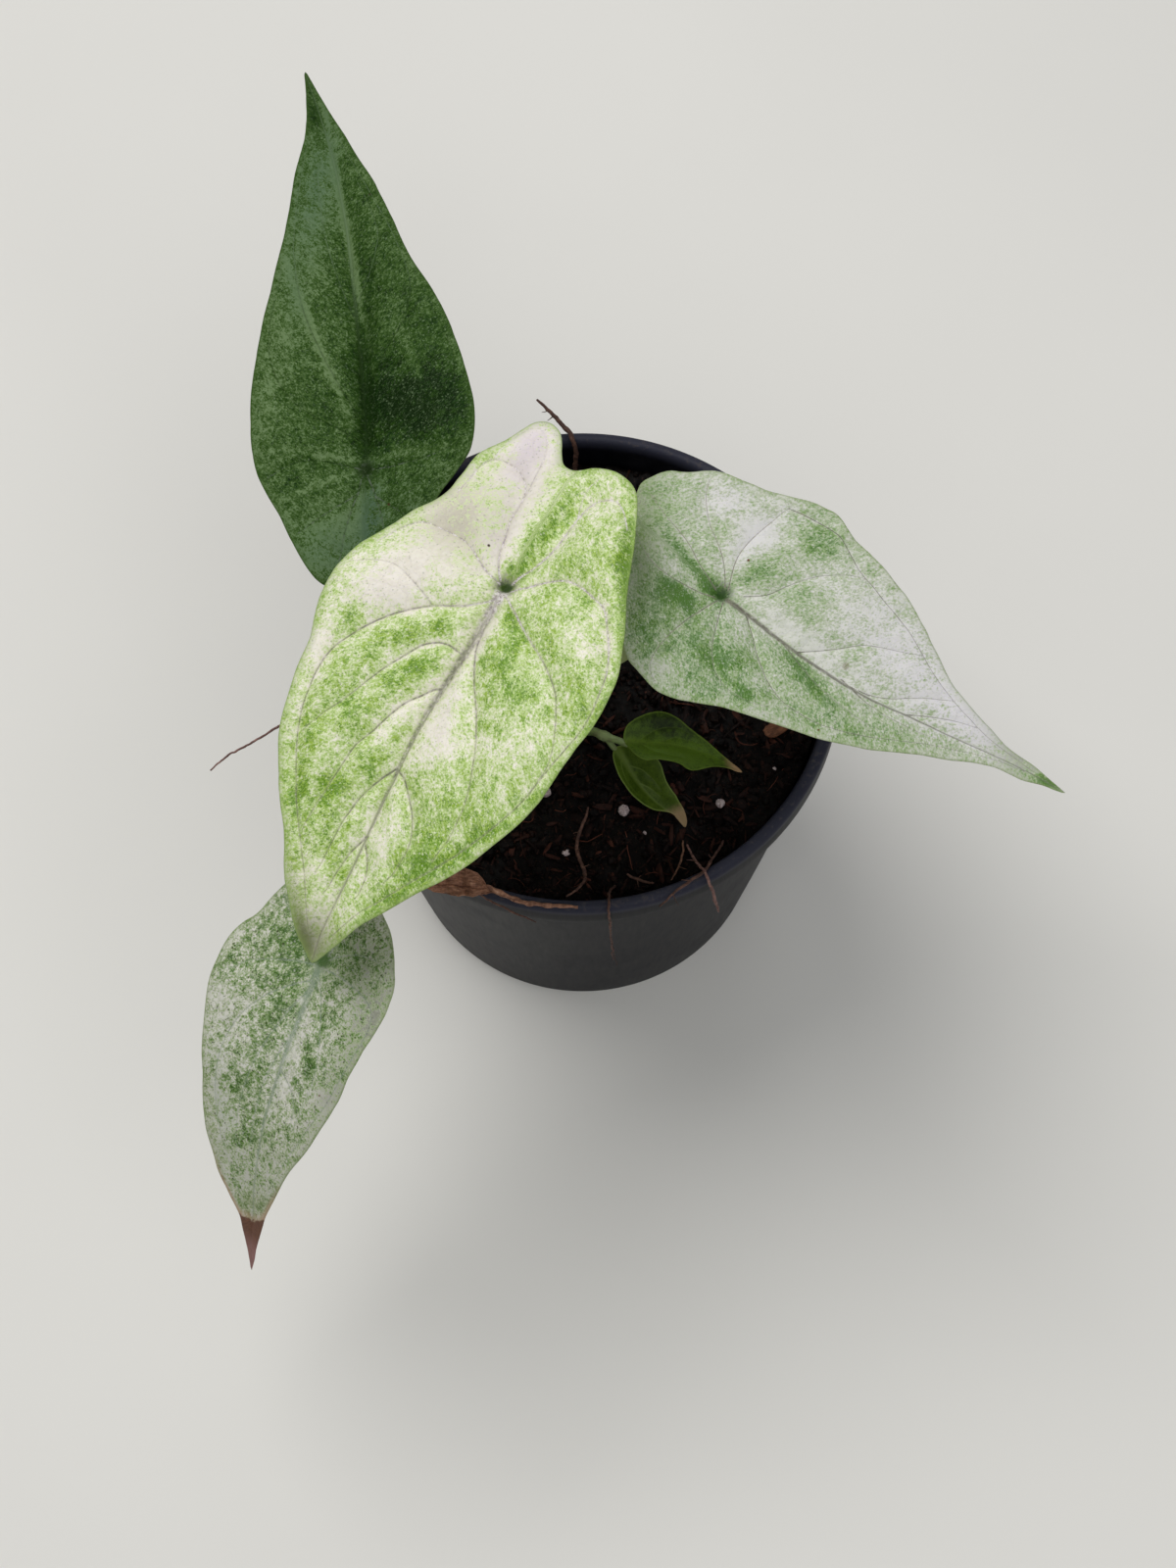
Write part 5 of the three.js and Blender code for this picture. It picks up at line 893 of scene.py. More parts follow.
    # the funnel over the stalk, a little behind it, and the raised start of the midrib
    rr = np.hypot((u + 0.9 * k) / 1.15, v)
    pit = rel["pit"] * (np.exp(-((rr / (1.9 * (0.5 if small else 1))) ** 2)) * 0.7 + 0.3 * np.exp(-((rr / (4.5 * (0.5 if small else 1))) ** 2)))
    relief -= pit
    relief += fields["lift"]
    if not small:
        length = np.array(d["mid"])[-1, 0]
        relief += rel["fold"] * (0.3 - np.exp(-midd / rel["reach"])) * sstep(u, 1.0, 6.0) * (1 - sstep(u, 0.45 * length, 0.9 * length)) * sstep(md, 0, 4.0)
    if not small:
        relief += 0.35 * np.exp(-((midd / 0.55) ** 2)) * sstep(u, 0.5, 4.0) * (1 - sstep(u, 18, 60) * 0.8)
    top = h + relief + 0.1
    t0 = rel["thick"]
    thick = t0 * (0.42 + 0.58 * sstep(md, 0, 4.0 * k))
    bottom = top - thick - (0.95 if not small else 0.3) * rib * sstep(md, 0, 1.0) * (0.4 + 0.6 * np.exp(-np.hypot(u, v) / 60))
    X = O + u[:, None] * U + v[:, None] * V
    T = X + top[:, None] * N
    B = X + bottom[:, None] * N
    # rounded edge: one loop half way, 0.12 mm out
    r_i = np.array(ring)
    out2 = -inn * 0.12 * k
    E = X[r_i] + out2[:, :1] * U + out2[:, 1:] * V + (0.5 * (top + bottom))[r_i][:, None] * N
    verts = np.vstack([T, B, E])
    a = pts[tris[:, 1]] - pts[tris[:, 0]]
    b = pts[tris[:, 2]] - pts[tris[:, 0]]
    ccw = (a[:, 0] * b[:, 1] - a[:, 1] * b[:, 0]) > 0
    tr = np.where(ccw[:, None], tris[:, ::-1], tris)
    F = tr.tolist() + (tr[:, ::-1] + n).tolist()
    fm = [0] * len(tr) + [1] * len(tr)
    m = len(ring)
    for i in range(m):
        j = (i + 1) % m
        F.append([ring[i], ring[j], 2 * n + j, 2 * n + i])
        F.append([2 * n + i, 2 * n + j, n + ring[j], n + ring[i]])
        fm += [0, 1]
    spot = np.full(n, 3.0)
    kind = np.zeros(n)
    for x, y, r, kd in d["spots"]:
        q = np.hypot(u - x, v - y) / r
        mm = q < spot
        spot[mm], kind[mm] = q[mm], kd
    # direction of the side veins, for streaked mottling
    side = np.where(v > np.interp(u, np.array(d["mid"])[:, 0], np.array(d["mid"])[:, 1], left=0), 1.0, -1.0)
    c, s = math.cos(math.radians(48)), math.sin(math.radians(48))
    flow = np.stack([u * c + v * side * s, -u * side * s + v * c, side * 9.0], -1)
    dual = lambda x: np.concatenate([x, x, x[r_i]])
    attrs = {
        "b_dens": dual(fields["dens"]), "b_hue_and_sheen": dual(fields["hue_and_sheen"]), "b_dull_tone_and_shade": dual(fields["olive"]), "b_painted_shade": dual(fields["painted_shade"]),
        "b_line": dual(np.minimum(line, 9)), "b_vs": dual(vs), "b_margin": dual(md),
        "b_spot": dual(spot), "b_kind": dual(kind), "b_u": dual(u), "b_v": dual(v), "b_pit": dual(np.hypot(u, v)),
        "b_flow": np.vstack([flow, flow, flow[r_i]]),
    }
    o = mesh_object(name, verts, F, mats, fm, attrs)
    stand_for(o, slot, node)
    print("blade", name, len(F), "faces")
    return o


def blade_material(name, c, k):
    """Variegated upper surface. c: colours, k: numbers."""
    N_ = Nodes(name)
    g = k.get
    flow = N_.vec("b_flow")
    dens, hue_and_sheen, olive = N_.val("b_dens"), N_.val("b_hue_and_sheen"), N_.val("b_dull_tone_and_shade")
    line, vs, md, uu, pd = N_.val("b_line"), N_.val("b_vs"), N_.val("b_margin"), N_.val("b_u"), N_.val("b_pit")
    fs = g("fine", 2.4)
    soft = N_.warp(flow, 0.35, 1.2)
    fine = N_.scale(N_.warp(flow, 1.1, 0.25, 2.0), (g("stretch", 0.8), 1.0, 1.0))
    n_big = N_.noise(soft, 0.13, 2.0, 0.55)
    n_med = N_.noise(N_.scale(soft, (g("stretch2", 0.7), 1.0, 1.0)), g("med", 0.36), 3.0, 0.6)
    n_clu = N_.noise(fine, g("clu", 0.95), 3.0, 0.6)
    n_fine = N_.noise(fine, fs, 3.0, 0.65)
    n_fin2 = N_.noise(N_.vadd(fine, (37.0, 11.0, 3.0)), fs * 1.3, 2.0, 0.6)
    # share of green at each place: base, patches, a little less beside the veins and at the margin
    beside = N_.smooth(line, 1.2, 7.0, 1.0, 0.0)
    S = N_.add(dens, g("base", 0.5))
    S = N_.sub(S, N_.mul(N_.mul(beside, vs), g("pale_vein", 0.12)))
    S = N_.sub(S, N_.mul(hue_and_sheen, 0.3))
    S = N_.sub(S, N_.smooth(md, 0.8, 2.4, g("pale_margin", 0.1), 0.0))
    S = N_.add(S, N_.mul(N_.sub(n_big, 0.5), g("big", 0.5)))
    S = N_.add(S, N_.mul(N_.sub(n_med, 0.5), g("w_med", 1.0)))
    S = N_.add(S, N_.mul(N_.sub(n_clu, 0.5), g("w_clu", 1.1)))
    T = N_.add(S, N_.mul(N_.sub(n_fine, 0.5), g("w_fine", 1.3)))
    D = N_.add(S, N_.mul(N_.sub(n_fin2, 0.5), g("w_deep", 1.5)))
    t0, t1, t2, t3 = g("ramp", (0.18, 0.44, 0.66, 0.90))
    pale = N_.mix(N_.smooth(n_clu, 0.40, 0.62, 0.0, 0.6), c["pale"], c["pale2"])
    # tinted patches: lilac and pale tints of the blades' own colour, and on the rear blade a painted bluish sheen and
    # shade
    pale = N_.mix(N_.mul(hue_and_sheen, 1.0, True), pale, c["hue_and_sheen"])
    # painted shade: the pale ground turns grey where a blade slopes away from the light or lies under another blade
    pale = N_.mix(N_.mul(N_.val("b_painted_shade"), 1.0, True), pale, c["painted_shade"])
    col = N_.mix(N_.smooth(T, t0, t1, 0.0, g("haze", 0.9)), pale, c["haze"])
    col = N_.mix(N_.smooth(T, t1 - 0.04, t2, 0.0, g("haze2", 0.85)), col, c["haze2"])
    # the green itself runs from a yellow to a bluish one
    green = N_.mix(N_.smooth(N_.noise(soft, 0.28, 2.0, 0.55), 0.40, 0.60), c["speck"], c["speck2"])
    col = N_.mix(N_.smooth(T, t2 - 0.06, t3, 0.0, g("speck", 0.85)), col, green)
    col = N_.mix(N_.smooth(D, t3 - 0.14, t3 + 0.10, 0.0, g("deep", 0.85)), col, c["deep"])
    # small dark dots nearly everywhere, pale flecks where it is green
    cell = N_.warp(flow, 0.9, 0.4, 1.0)
    ds = g("dots", 1.5)
    d1 = N_.mul(N_.smooth(N_.voronoi(cell, ds), 0.16, 0.34, 1.0, 0.0), N_.smooth(N_.voronoi(cell, ds, "F1", "Color"), 0.52, 0.60))
    d1 = N_.mul(d1, N_.smooth(S, g("dot0", 0.05), g("dot1", 0.65), g("dot_lo", 0.15), g("dot", 0.6)))
    col = N_.mix(d1, col, c["dot"] if "dot" in c else c["deep"])
    cel2 = N_.vadd(cell, (19.0, 5.0, 7.0))
    d2 = N_.mul(N_.smooth(N_.voronoi(cel2, ds * 0.9), 0.14, 0.36, 1.0, 0.0), N_.smooth(N_.voronoi(cel2, ds * 0.9, "F1", "Color"), 0.50, 0.58))
    col = N_.mix(N_.mul(d2, N_.smooth(S, 0.1, 0.5, 0.1, g("fleck", 0.5))), col, c["fibre"])
    # thin pale fibres between the specks
    fib = N_.noise(N_.scale(N_.warp(flow, 0.9, 0.6, 1.0), (0.45, 1.7, 1.0)), g("fib_scale", 2.0), 3.0, 0.7)
    col = N_.mix(N_.smooth(fib, 0.53, 0.66, 0.0, g("fibre", 0.22)), col, c["fibre"])
    # darker olive patches: partly the blade's own colour, partly painted shade on tips that slope away from the light,
    # along the rear midrib valley and under a neighbouring blade
    col = N_.mix(N_.mul(olive, g("olive", 0.7), True), col, c["olive"])
    # faint net of small veins
    net = N_.voronoi(N_.warp(flow, 0.4, 0.9, 2.0), g("net_scale", 0.30), "DISTANCE_TO_EDGE")
    netf = N_.smooth(net, 0.0, 0.06, g("net", 0.10), 0.0)
    col = N_.mix(netf, col, c["net"])
    # darker green hollow over the stalk
    pn = N_.add(pd, N_.mul(N_.sub(n_fine, 0.5), 3.5))
    hollow = N_.smooth(pn, g("pit0", 0.9), g("pit1", 3.0), g("pit", 0.9), 0.0)
    col = N_.mix(hollow, col, c["pit"])
    # veins: a thin broken line with a soft painted shade beside it in the crease, gone in the hollow
    away = N_.smooth(pd, 0.9, 2.2)
    ln = N_.add(line, N_.mul(N_.sub(n_fine, 0.5), 1.1))
    core = N_.mul(N_.mul(N_.smooth(ln, 0.45, 1.45, 1.0, 0.0), vs), away)
    flank = N_.mul(N_.mul(N_.smooth(line, 0.8, 4.0, 1.0, 0.0), vs), away)
    col = N_.mix(N_.mul(flank, g("flank", 0.2)), col, c["flank"])
    weak = N_.smooth(n_clu, 0.38, 0.60, g("vein_lo", 0.45), 1.0)
    # on the rear blade the vein colours are painted light: a pale sheen along the ribs, and near the stalk a dark shade
    # in the midrib valley; on the other blades they are vein colours
    vein = c["vein"]
    if "stalk_vein_and_valley_shade" in c:
        vein = N_.mix(N_.smooth(uu, *g("turn", (2.0, 22.0))), c["stalk_vein_and_valley_shade"], c["vein"])
    col = N_.mix(N_.mul(N_.mul(core, weak), g("vein", 0.85), True), col, vein)
    # scaly pale crumbs on the start of the midrib
    scaly = N_.mul(N_.mul(N_.smooth(N_.noise(flow, 1.5, 3.0, 0.7), 0.48, 0.56), N_.smooth(uu, g("scaly", 14.0), 1.0)), N_.mul(N_.smooth(line, 1.5, 0.8), away))
    col = N_.mix(N_.mul(scaly, g("scale", 0.75)), col, c["scale"])
    # margin: a soft greener band and a line
    col = N_.mix(N_.mul(N_.smooth(N_.add(md, N_.mul(N_.sub(n_clu, 0.5), 2.0)), 0.2, 2.0, 1.0, 0.0), g("band", 0.2)), col, c["margin"])
    mn = N_.add(md, N_.mul(N_.sub(n_fine, 0.5), 0.5))
    col = N_.mix(N_.smooth(mn, 0.05, 0.42, g("margin", 0.5), 0.0), col, c["margin"])
    # small age spots
    sp = N_.mul(N_.smooth(N_.val("b_spot"), 0.5, 1.15, 1.0, 0.0), N_.val("b_kind"))
    col = N_.mix(sp, col, c["spot"])
    if "dead" in k:
        u0, w0 = k["dead"]
        lean = N_.mul(N_.math("MINIMUM", N_.val("b_v"), 0.0), w0)
        edge = N_.sub(N_.sub(uu, u0), lean)
        edge = N_.add(edge, N_.mul(N_.sub(n_clu, 0.5), 2.4))
        tan = N_.mul(N_.smooth(md, 1.1, 0.2), N_.smooth(N_.add(uu, N_.mul(n_med, 9.0)), u0 - 9.0, u0 + 2.0))
        col = N_.mix(N_.mul(tan, 0.7), col, c["tan"])
        red = N_.mul(tan, N_.smooth(n_clu, 0.55, 0.65))
        col = N_.mix(N_.mul(red, 0.7), col, c["dead3"])
        col = N_.mix(N_.smooth(edge, -2.2, 0.2, 0.0, 0.65), col, c["tan"])
        brown = N_.mix(N_.smooth(uu, u0 + 2.0, u0 + 8.0), c["dead"], c["dead2"])
        streaks = N_.noise(N_.scale(flow, (0.6, 3.0, 1.0)), 0.9, 3.0, 0.6)
        brown = N_.mix(N_.smooth(streaks, 0.35, 0.7, 0.0, 0.5), brown, c["dead3"])
        col = N_.mix(N_.smooth(edge, -0.3, 0.4), col, brown)
    # fine cells and veins in the surface
    cells = N_.noise(flow, 6.5, 2.0, 0.6)
    hgt = N_.add(N_.mul(cells, 0.5), N_.mul(n_fine, 0.6))
    nrm = N_.bump(hgt, 0.4, 0.06)
    nrm = N_.bump(N_.add(N_.mul(netf, 4.0), N_.mul(core, -1.0)), 0.6, 0.12, nrm)
    rough = N_.add(N_.mul(n_fine, 0.16), g("rough", 0.48))
    return N_.done(
        col, rough, nrm, g("spec", 0.2),
        Subsurface_Weight=g("sss", 0.10), Subsurface_Radius=(1.0, 1.1, 0.45), Subsurface_Scale=0.0005,
    )


def under_material(name, base, dark, vein, margin):
    """Lower surface: matt, paler, veins raised and smooth."""
    N_ = Nodes(name)
    flow = N_.vec("b_flow")
    dens = N_.val("b_dens")
    line, vs, md = N_.val("b_line"), N_.val("b_vs"), N_.val("b_margin")
    soft = N_.warp(flow, 0.35, 1.2)
    n_med = N_.noise(soft, 0.45, 3.0, 0.6)
    n_fine = N_.noise(soft, 2.2, 2.0, 0.6)
    f = N_.smooth(N_.add(N_.mul(n_med, 0.7), N_.add(N_.mul(n_fine, 0.3), N_.mul(dens, 0.35))), 0.35, 0.75)
    col = N_.mix(f, base, dark)
    net = N_.voronoi(N_.warp(flow, 0.4, 0.9, 2.0), 0.36, "DISTANCE_TO_EDGE")
    col = N_.mix(N_.smooth(net, 0.02, 0.09, 0.25, 0.0), col, vein)
    ln = N_.add(line, N_.mul(N_.sub(n_fine, 0.5), 0.4))
    col = N_.mix(N_.mul(N_.smooth(ln, 1.0, 2.6, 1.0, 0.0), vs), col, vein)
    col = N_.mix(N_.smooth(md, 0.15, 0.7, 0.6, 0.0), col, margin)
    nrm = N_.bump(N_.add(n_fine, N_.smooth(net, 0.0, 0.12, 1.0, 0.0)), 0.35, 0.05)
    return N_.done(col, N_.add(N_.mul(n_fine, 0.15), 0.5), nrm, 0.35, Subsurface_Weight=0.1, Subsurface_Radius=(1.0, 1.1, 0.45), Subsurface_Scale=0.0006)


# ------------------------------------------------------------------ finishes of the four blades
# in these colour sets the greyed ground is painted shade, the olive is partly the blade's own colour and partly painted
# shade, and the colour beside the veins is painted shade in their creases
CREAM = dict(
    pale=srgb(232, 228, 216), pale2=srgb(216, 210, 196), hue_and_sheen=srgb(210, 200, 208), painted_shade=srgb(184, 179, 162), haze=srgb(206, 216, 172), haze2=srgb(170, 196, 116),
    speck=srgb(138, 170, 46), speck2=srgb(120, 158, 50), deep=srgb(84, 126, 18), fibre=srgb(226, 230, 206), olive=srgb(96, 102, 68), dot=srgb(84, 108, 52),
    pit=srgb(26, 52, 2), net=srgb(170, 162, 158), vein=srgb(86, 80, 78), stalk_vein_and_valley_shade=srgb(146, 132, 142), flank=srgb(184, 184, 156),
    scale=srgb(228, 222, 224), margin=srgb(128, 152, 84), spot=srgb(62, 48, 36),
)
SILVER = dict(
    pale=srgb(204, 205, 198), pale2=srgb(182, 186, 174), hue_and_sheen=srgb(212, 209, 214), painted_shade=srgb(138, 142, 128), haze=srgb(174, 182, 160), haze2=srgb(146, 166, 124),
    speck=srgb(112, 144, 76), speck2=srgb(100, 134, 80), deep=srgb(68, 108, 36), fibre=srgb(212, 216, 204), olive=srgb(96, 112, 70), dot=srgb(84, 94, 62),
    pit=srgb(30, 60, 12), net=srgb(158, 158, 150), vein=srgb(90, 84, 76), flank=srgb(182, 182, 174),
    scale=srgb(150, 142, 130), margin=srgb(124, 142, 90), spot=srgb(96, 60, 40),
)
FRONT = dict(
    pale=srgb(202, 202, 192), pale2=srgb(170, 171, 158), hue_and_sheen=srgb(162, 169, 158), painted_shade=srgb(136, 138, 126), haze=srgb(162, 171, 142), haze2=srgb(126, 147, 98),
    speck=srgb(88, 122, 50), speck2=srgb(82, 112, 56), deep=srgb(50, 84, 22), fibre=srgb(214, 214, 206), olive=srgb(130, 138, 98), dot=srgb(52, 56, 30),
    pit=srgb(56, 88, 34), net=srgb(156, 160, 148), vein=srgb(118, 134, 118), flank=srgb(164, 174, 154),
    scale=srgb(170, 172, 160), margin=srgb(116, 134, 86), spot=srgb(92, 58, 40),
    tan=srgb(168, 140, 116), dead=srgb(92, 64, 50), dead2=srgb(140, 102, 100), dead3=srgb(120, 82, 64),
)
# rear blade: the bluish tint here is painted sheen and shade, the pale vein colour painted sheen along the ribs, the
# second vein colour painted shade in the midrib valley, and the olive partly painted shade
GREEN = dict(
    pale=srgb(98, 120, 80), pale2=srgb(78, 102, 58), hue_and_sheen=srgb(62, 88, 74), painted_shade=srgb(56, 72, 46), haze=srgb(54, 80, 30), haze2=srgb(33, 60, 9),
    speck=srgb(22, 48, 2), speck2=srgb(18, 46, 9), deep=srgb(5, 24, 0), fibre=srgb(112, 134, 98), olive=srgb(12, 36, 0), dot=srgb(5, 20, 0),
    pit=srgb(8, 22, 2), net=srgb(56, 75, 40), vein=srgb(104, 124, 98), stalk_vein_and_valley_shade=srgb(8, 28, 0), flank=srgb(44, 68, 26),
    scale=srgb(92, 104, 88), margin=srgb(56, 80, 34), spot=srgb(66, 36, 28),
)
LEAVES["front"]["wide"] = 0.85
LEAVES["rear"]["wide"] = 0.85
LEAVES["right"]["wide"] = 0.55
LEAVES["centre"]["wide"] = 1.15
under_cream = under_material("under_cream", srgb(206, 208, 176), srgb(150, 172, 112), srgb(184, 188, 150), srgb(160, 160, 120))
under_silver = under_material("under_silver", srgb(186, 192, 168), srgb(132, 154, 104), srgb(170, 178, 146), srgb(146, 148, 118))
under_green = under_material("under_green", srgb(126, 146, 100), srgb(88, 116, 66), srgb(140, 156, 110), srgb(120, 132, 90))
m_cream = blade_material("blade_cream", CREAM, dict(base=0.565, flank=0.36, pale_margin=0.0, band=0.35, w_fine=1.7, w_clu=0.85, w_med=0.8, pale_vein=0.08, dot_lo=0.3, pit=0.95, pit1=3.4))
m_silver = blade_material("blade_silver", SILVER, dict(base=0.55, fine=2.2, w_fine=1.8, w_clu=0.8, w_med=0.55, stretch=0.7, stretch2=0.6, pale_vein=0.08, vein=0.9, vein_lo=0.65, flank=0.2, scaly=4.0, margin=0.4, pit0=0.5, pit1=3.2, pit=0.95, pale_margin=0.05, fleck=0.4, dot=0.45, band=0.15))
m_front = blade_material("blade_front", FRONT, dict(base=0.505, fine=2.2, clu=0.95, med=0.42, stretch=1.0, stretch2=1.0, w_med=1.0, w_clu=1.2, w_fine=1.7, ramp=(0.24, 0.44, 0.60, 0.80), big=0.12, pale_vein=0.05, vein=0.7, flank=0.2, fibre=0.3, net=0.04, scaly=2.0, dots=1.35, dot=0.9, dot_lo=0.4, fleck=0.35, dead=(60.4, 0.55), rough=0.5))
m_green = blade_material("blade_green", GREEN, dict(base=0.56, fine=2.8, clu=1.2, med=0.5, big=0.35, w_med=0.9, w_clu=1.0, w_fine=1.5, w_deep=1.5, vein=0.55, vein_lo=0.35, turn=(30.0, 55.0), flank=0.15, fibre=0.42, fib_scale=2.8, pale_vein=0.0, net=0.06, scaly=2.0, margin=0.6, rough=0.56, spec=0.06, pit=0.7, sss=0.04))
Q = 1.0
leaf_rear = build_blade("rear", "blade_rear", "leaf_rear", "blade_green", [m_green, under_green], 1.0 * Q, 3)
leaf_centre = build_blade("centre", "blade_centre", "leaf_centre", "blade_cream", [m_cream, under_cream], 0.95 * Q, 5)
leaf_right = build_blade("right", "blade_right", "leaf_right", "blade_silver", [m_silver, under_silver], 0.95 * Q, 7)
leaf_front = build_blade("front", "blade_front", "leaf_front", "blade_silver", [m_front, under_silver], 0.85 * Q, 11)


# ------------------------------------------------------------------ pot
POT_PROFILE = [  # outer side from the foot up over the lip and down the inner side, (radius, height)
    (44.0, 0.0), (44.5, 0.08), (44.85, 0.35), (45.0, 1.0), (47.5, 20.0), (50.05, 40.0), (52.6, 60.0), (55.2, 80.0), (56.9, 92.5),
    (57.35, 96.2), (57.42, 96.6), (57.6, 102.3), (57.75, 102.6), (58.6, 102.62), (58.78, 102.4), (58.88, 99.6), (58.95, 97.5), (59.1, 97.12), (59.45, 96.98),
    (59.78, 97.15), (59.95, 97.7), (60.0, 99.6), (60.0, 103.4), (59.93, 103.95), (59.7, 104.4), (59.3, 104.8), (58.8, 104.98),
    (58.2, 105.0), (57.7, 104.88), (57.3, 104.55), (57.05, 104.1), (56.75, 103.0), (56.6, 102.0), (56.2, 96.5),
    (54.0, 80.0), (51.4, 60.0), (48.85, 40.0), (46.3, 20.0), (43.9, 1.7), (43.7, 1.35), (43.2, 1.2),
]
POT_SEG = 224
HOLES = [(34.0 * math.cos((i + 0.5) * TAU / 8), 34.0 * math.sin((i + 0.5) * TAU / 8)) for i in range(8)]
HOLE_R = 4.5


def pot_finish():
    n = Nodes("pot_plastic")
    co = n.coord()
    # fine vertical drag marks, smudges of dried water, dust lying on the lip and crumbs of mix
    drag = n.noise(n.scale(co, (900.0, 900.0, 30.0)), 1.0, 3.0, 0.6)
    smudge = n.noise(n.warp(co, 40.0, 0.012, 2.0), 38.0, 4.0, 0.6)
    grit = n.noise(co, 900.0, 2.0, 0.6)
    sep = n.t.nodes.new("ShaderNodeSeparateXYZ")
    n.put(sep.inputs[0], n.t.nodes.new("ShaderNodeNewGeometry").outputs["Normal"])
    up_ = n.smooth(sep.outputs[2], 0.35, 0.95)
    sp = n.t.nodes.new("ShaderNodeSeparateXYZ")
    n.put(sp.inputs[0], co)
    high = n.smooth(sp.outputs[2], 0.055, 0.105)
    col = n.mix(n.smooth(drag, 0.35, 0.7), srgb(6, 6, 11), srgb(11, 11, 18))
    film = n.mul(n.smooth(smudge, 0.48, 0.72), n.mad(high, 0.14, 0.1))
    col = n.mix(film, col, srgb(56, 55, 64))
    # painted highlight: a lighter bluish band along the top of the lip
    lip = n.mul(n.smooth(sp.outputs[2], 0.1015, 0.1042), n.mad(smudge, 0.5, 0.6))
    col = n.mix(lip, col, srgb(46, 47, 60))
    dust = n.mul(n.smooth(n.add(n.mul(grit, 0.6), n.mul(smudge, 0.4)), 0.5, 0.66), n.mad(up_, 0.3, 0.02))
    col = n.mix(dust, col, srgb(92, 84, 78))
    rough = n.add(n.mad(drag, 0.12, 0.42), n.mul(n.add(film, dust), 0.4))
    nrm = n.bump(n.add(n.mul(drag, 0.5), n.mul(grit, 0.5)), 0.12, 0.08)
    return n.done(col, rough, nrm, 0.12)


def build_pot():
    prof = np.array(POT_PROFILE)
    S = POT_SEG
    a = np.arange(S) / S * TAU
    verts, faces = [], []
    for r, z in prof:
        # a thin pressed wall is never quite round
        rr = r + 0.10 * np.sin(2 * a + 0.7) * (z / 105) + 0.05 * np.sin(5 * a + z * 0.01) * (z / 105)
        verts.append(np.stack([rr * np.cos(a), rr * np.sin(a), np.full(S, z)], -1))
    verts = np.vstack(verts)
    for i in range(len(prof) - 1):
        for j in range(S):
            k = (j + 1) % S
            faces.append([i * S + j, i * S + k, (i + 1) * S + k, (i + 1) * S + j])
    base = len(verts)

    def plate(ring_ids, z, flip):
        nonlocal verts
        outer = verts[ring_ids][:, :2]
        loops, allp = [list(range(S))], [tuple(p) for p in outer]
        H = 28
        holes = []
        for cx, cy in HOLES:
            ids = []
            for q in range(H):
                t = q / H * TAU
                ids.append(len(allp))
                allp.append((cx + HOLE_R * math.cos(t), cy + HOLE_R * math.sin(t)))
            holes.append(ids)
        for r, m in ((10, 16), (20, 32), (27, 48), (40, 64)):
            for q in range(m):
                t = (q + 0.37) / m * TAU
                p = (r * math.cos(t), r * math.sin(t))
                if all(math.hypot(p[0] - h[0], p[1] - h[1]) > HOLE_R + 0.8 for h in HOLES):
                    allp.append(p)
        edges = [(h[q], h[(q + 1) % H]) for h in holes for q in range(H)]
        res = geometry.delaunay_2d_cdt([Vector(p) for p in allp], edges, [list(range(S))], 1, 1e-6)
        first = {}
        for i, o in enumerate(res[3]):
            for q in o:
                first[q] = i
        ids = {}
        new = []
        for i, o in enumerate(res[3]):
            if o and min(o) < S:
                ids[i] = int(ring_ids[min(o)])
            else:
                ids[i] = len(verts) + len(new)
                new.append((res[0][i][0], res[0][i][1], z))
        verts = np.vstack([verts, np.array(new)])
        for f in res[2]:
            c = sum((Vector(res[0][q]) for q in f), Vector((0, 0))) / 3
            if any(math.hypot(c[0] - h[0], c[1] - h[1]) < HOLE_R * 0.999 for h in HOLES):
                continue
            f = [ids[q] for q in f]
            p = verts[f][:, :2]
            ccw = (p[1][0] - p[0][0]) * (p[2][1] - p[0][1]) - (p[2][0] - p[0][0]) * (p[1][1] - p[0][1]) > 0
            faces.append(f if ccw != flip else f[::-1])
        return [[ids[first[q]] for q in h] for h in holes]

    low = plate(np.arange(S), 0.0, True)
    high = plate(np.arange(S) + (len(prof) - 1) * S, 1.2, False)
    for lo_, hi_ in zip(low, high):
        H = len(lo_)
        for q in range(H):
            k = (q + 1) % H
            faces.append([lo_[k], lo_[q], hi_[q], hi_[k]])
    o = mesh_object("pot_shell", verts, faces, [pot_finish()])
    # crisp edges at the foot, the holes and under the lip
    me = o.data
    ang = math.radians(38)
    me.set_sharp_from_angle(angle=ang)
    stand_for(o, "pot", "pot")
    return o


build_pot()


# ------------------------------------------------------------------ potting mix
def soil_top(x, y):
    return 95.7 + 0.6 * np.sin(x / 9 + 1) * np.cos(y / 11) + 0.35 * np.sin((x + y) / 8) + 1.4 * np.exp(-((x - CROWN[0]) ** 2 + (y - CROWN[1]) ** 2) / 160)


OCT_V = np.array([(1, 0, 0), (-1, 0, 0), (0, 1, 0), (0, -1, 0), (0, 0, 1), (0, 0, -1)], float)
OCT_F = [(0, 2, 4), (2, 1, 4), (1, 3, 4), (3, 0, 4), (2, 0, 5), (1, 2, 5), (3, 1, 5), (0, 3, 5)]


def octasphere(level):
    v, f = [tuple(p) for p in OCT_V], list(OCT_F)
    for _ in range(level):
        mid, nf = {}, []

        def m(a, b):
            k = (min(a, b), max(a, b))
            if k not in mid:
                p = (np.array(v[a]) + np.array(v[b])) / 2
                mid[k] = len(v)
                v.append(tuple(p / np.linalg.norm(p)))
            return mid[k]

        for a, b, c in f:
            ab, bc, ca = m(a, b), m(b, c), m(c, a)
            nf += [(a, ab, ca), (ab, b, bc), (ca, bc, c), (ab, bc, ca)]
        f = nf
    return np.array(v), np.array(f)


def rot_matrix(az, tilt, roll_):
    ca, sa, ct, st, cr, sr = math.cos(az), math.sin(az), math.cos(tilt), math.sin(tilt), math.cos(roll_), math.sin(roll_)
    Z = np.array([[ca, -sa, 0], [sa, ca, 0], [0, 0, 1]])
    Y = np.array([[ct, 0, st], [0, 1, 0], [-st, 0, ct]])
    X = np.array([[1, 0, 0], [0, cr, -sr], [0, sr, cr]])
    return Z @ Y @ X


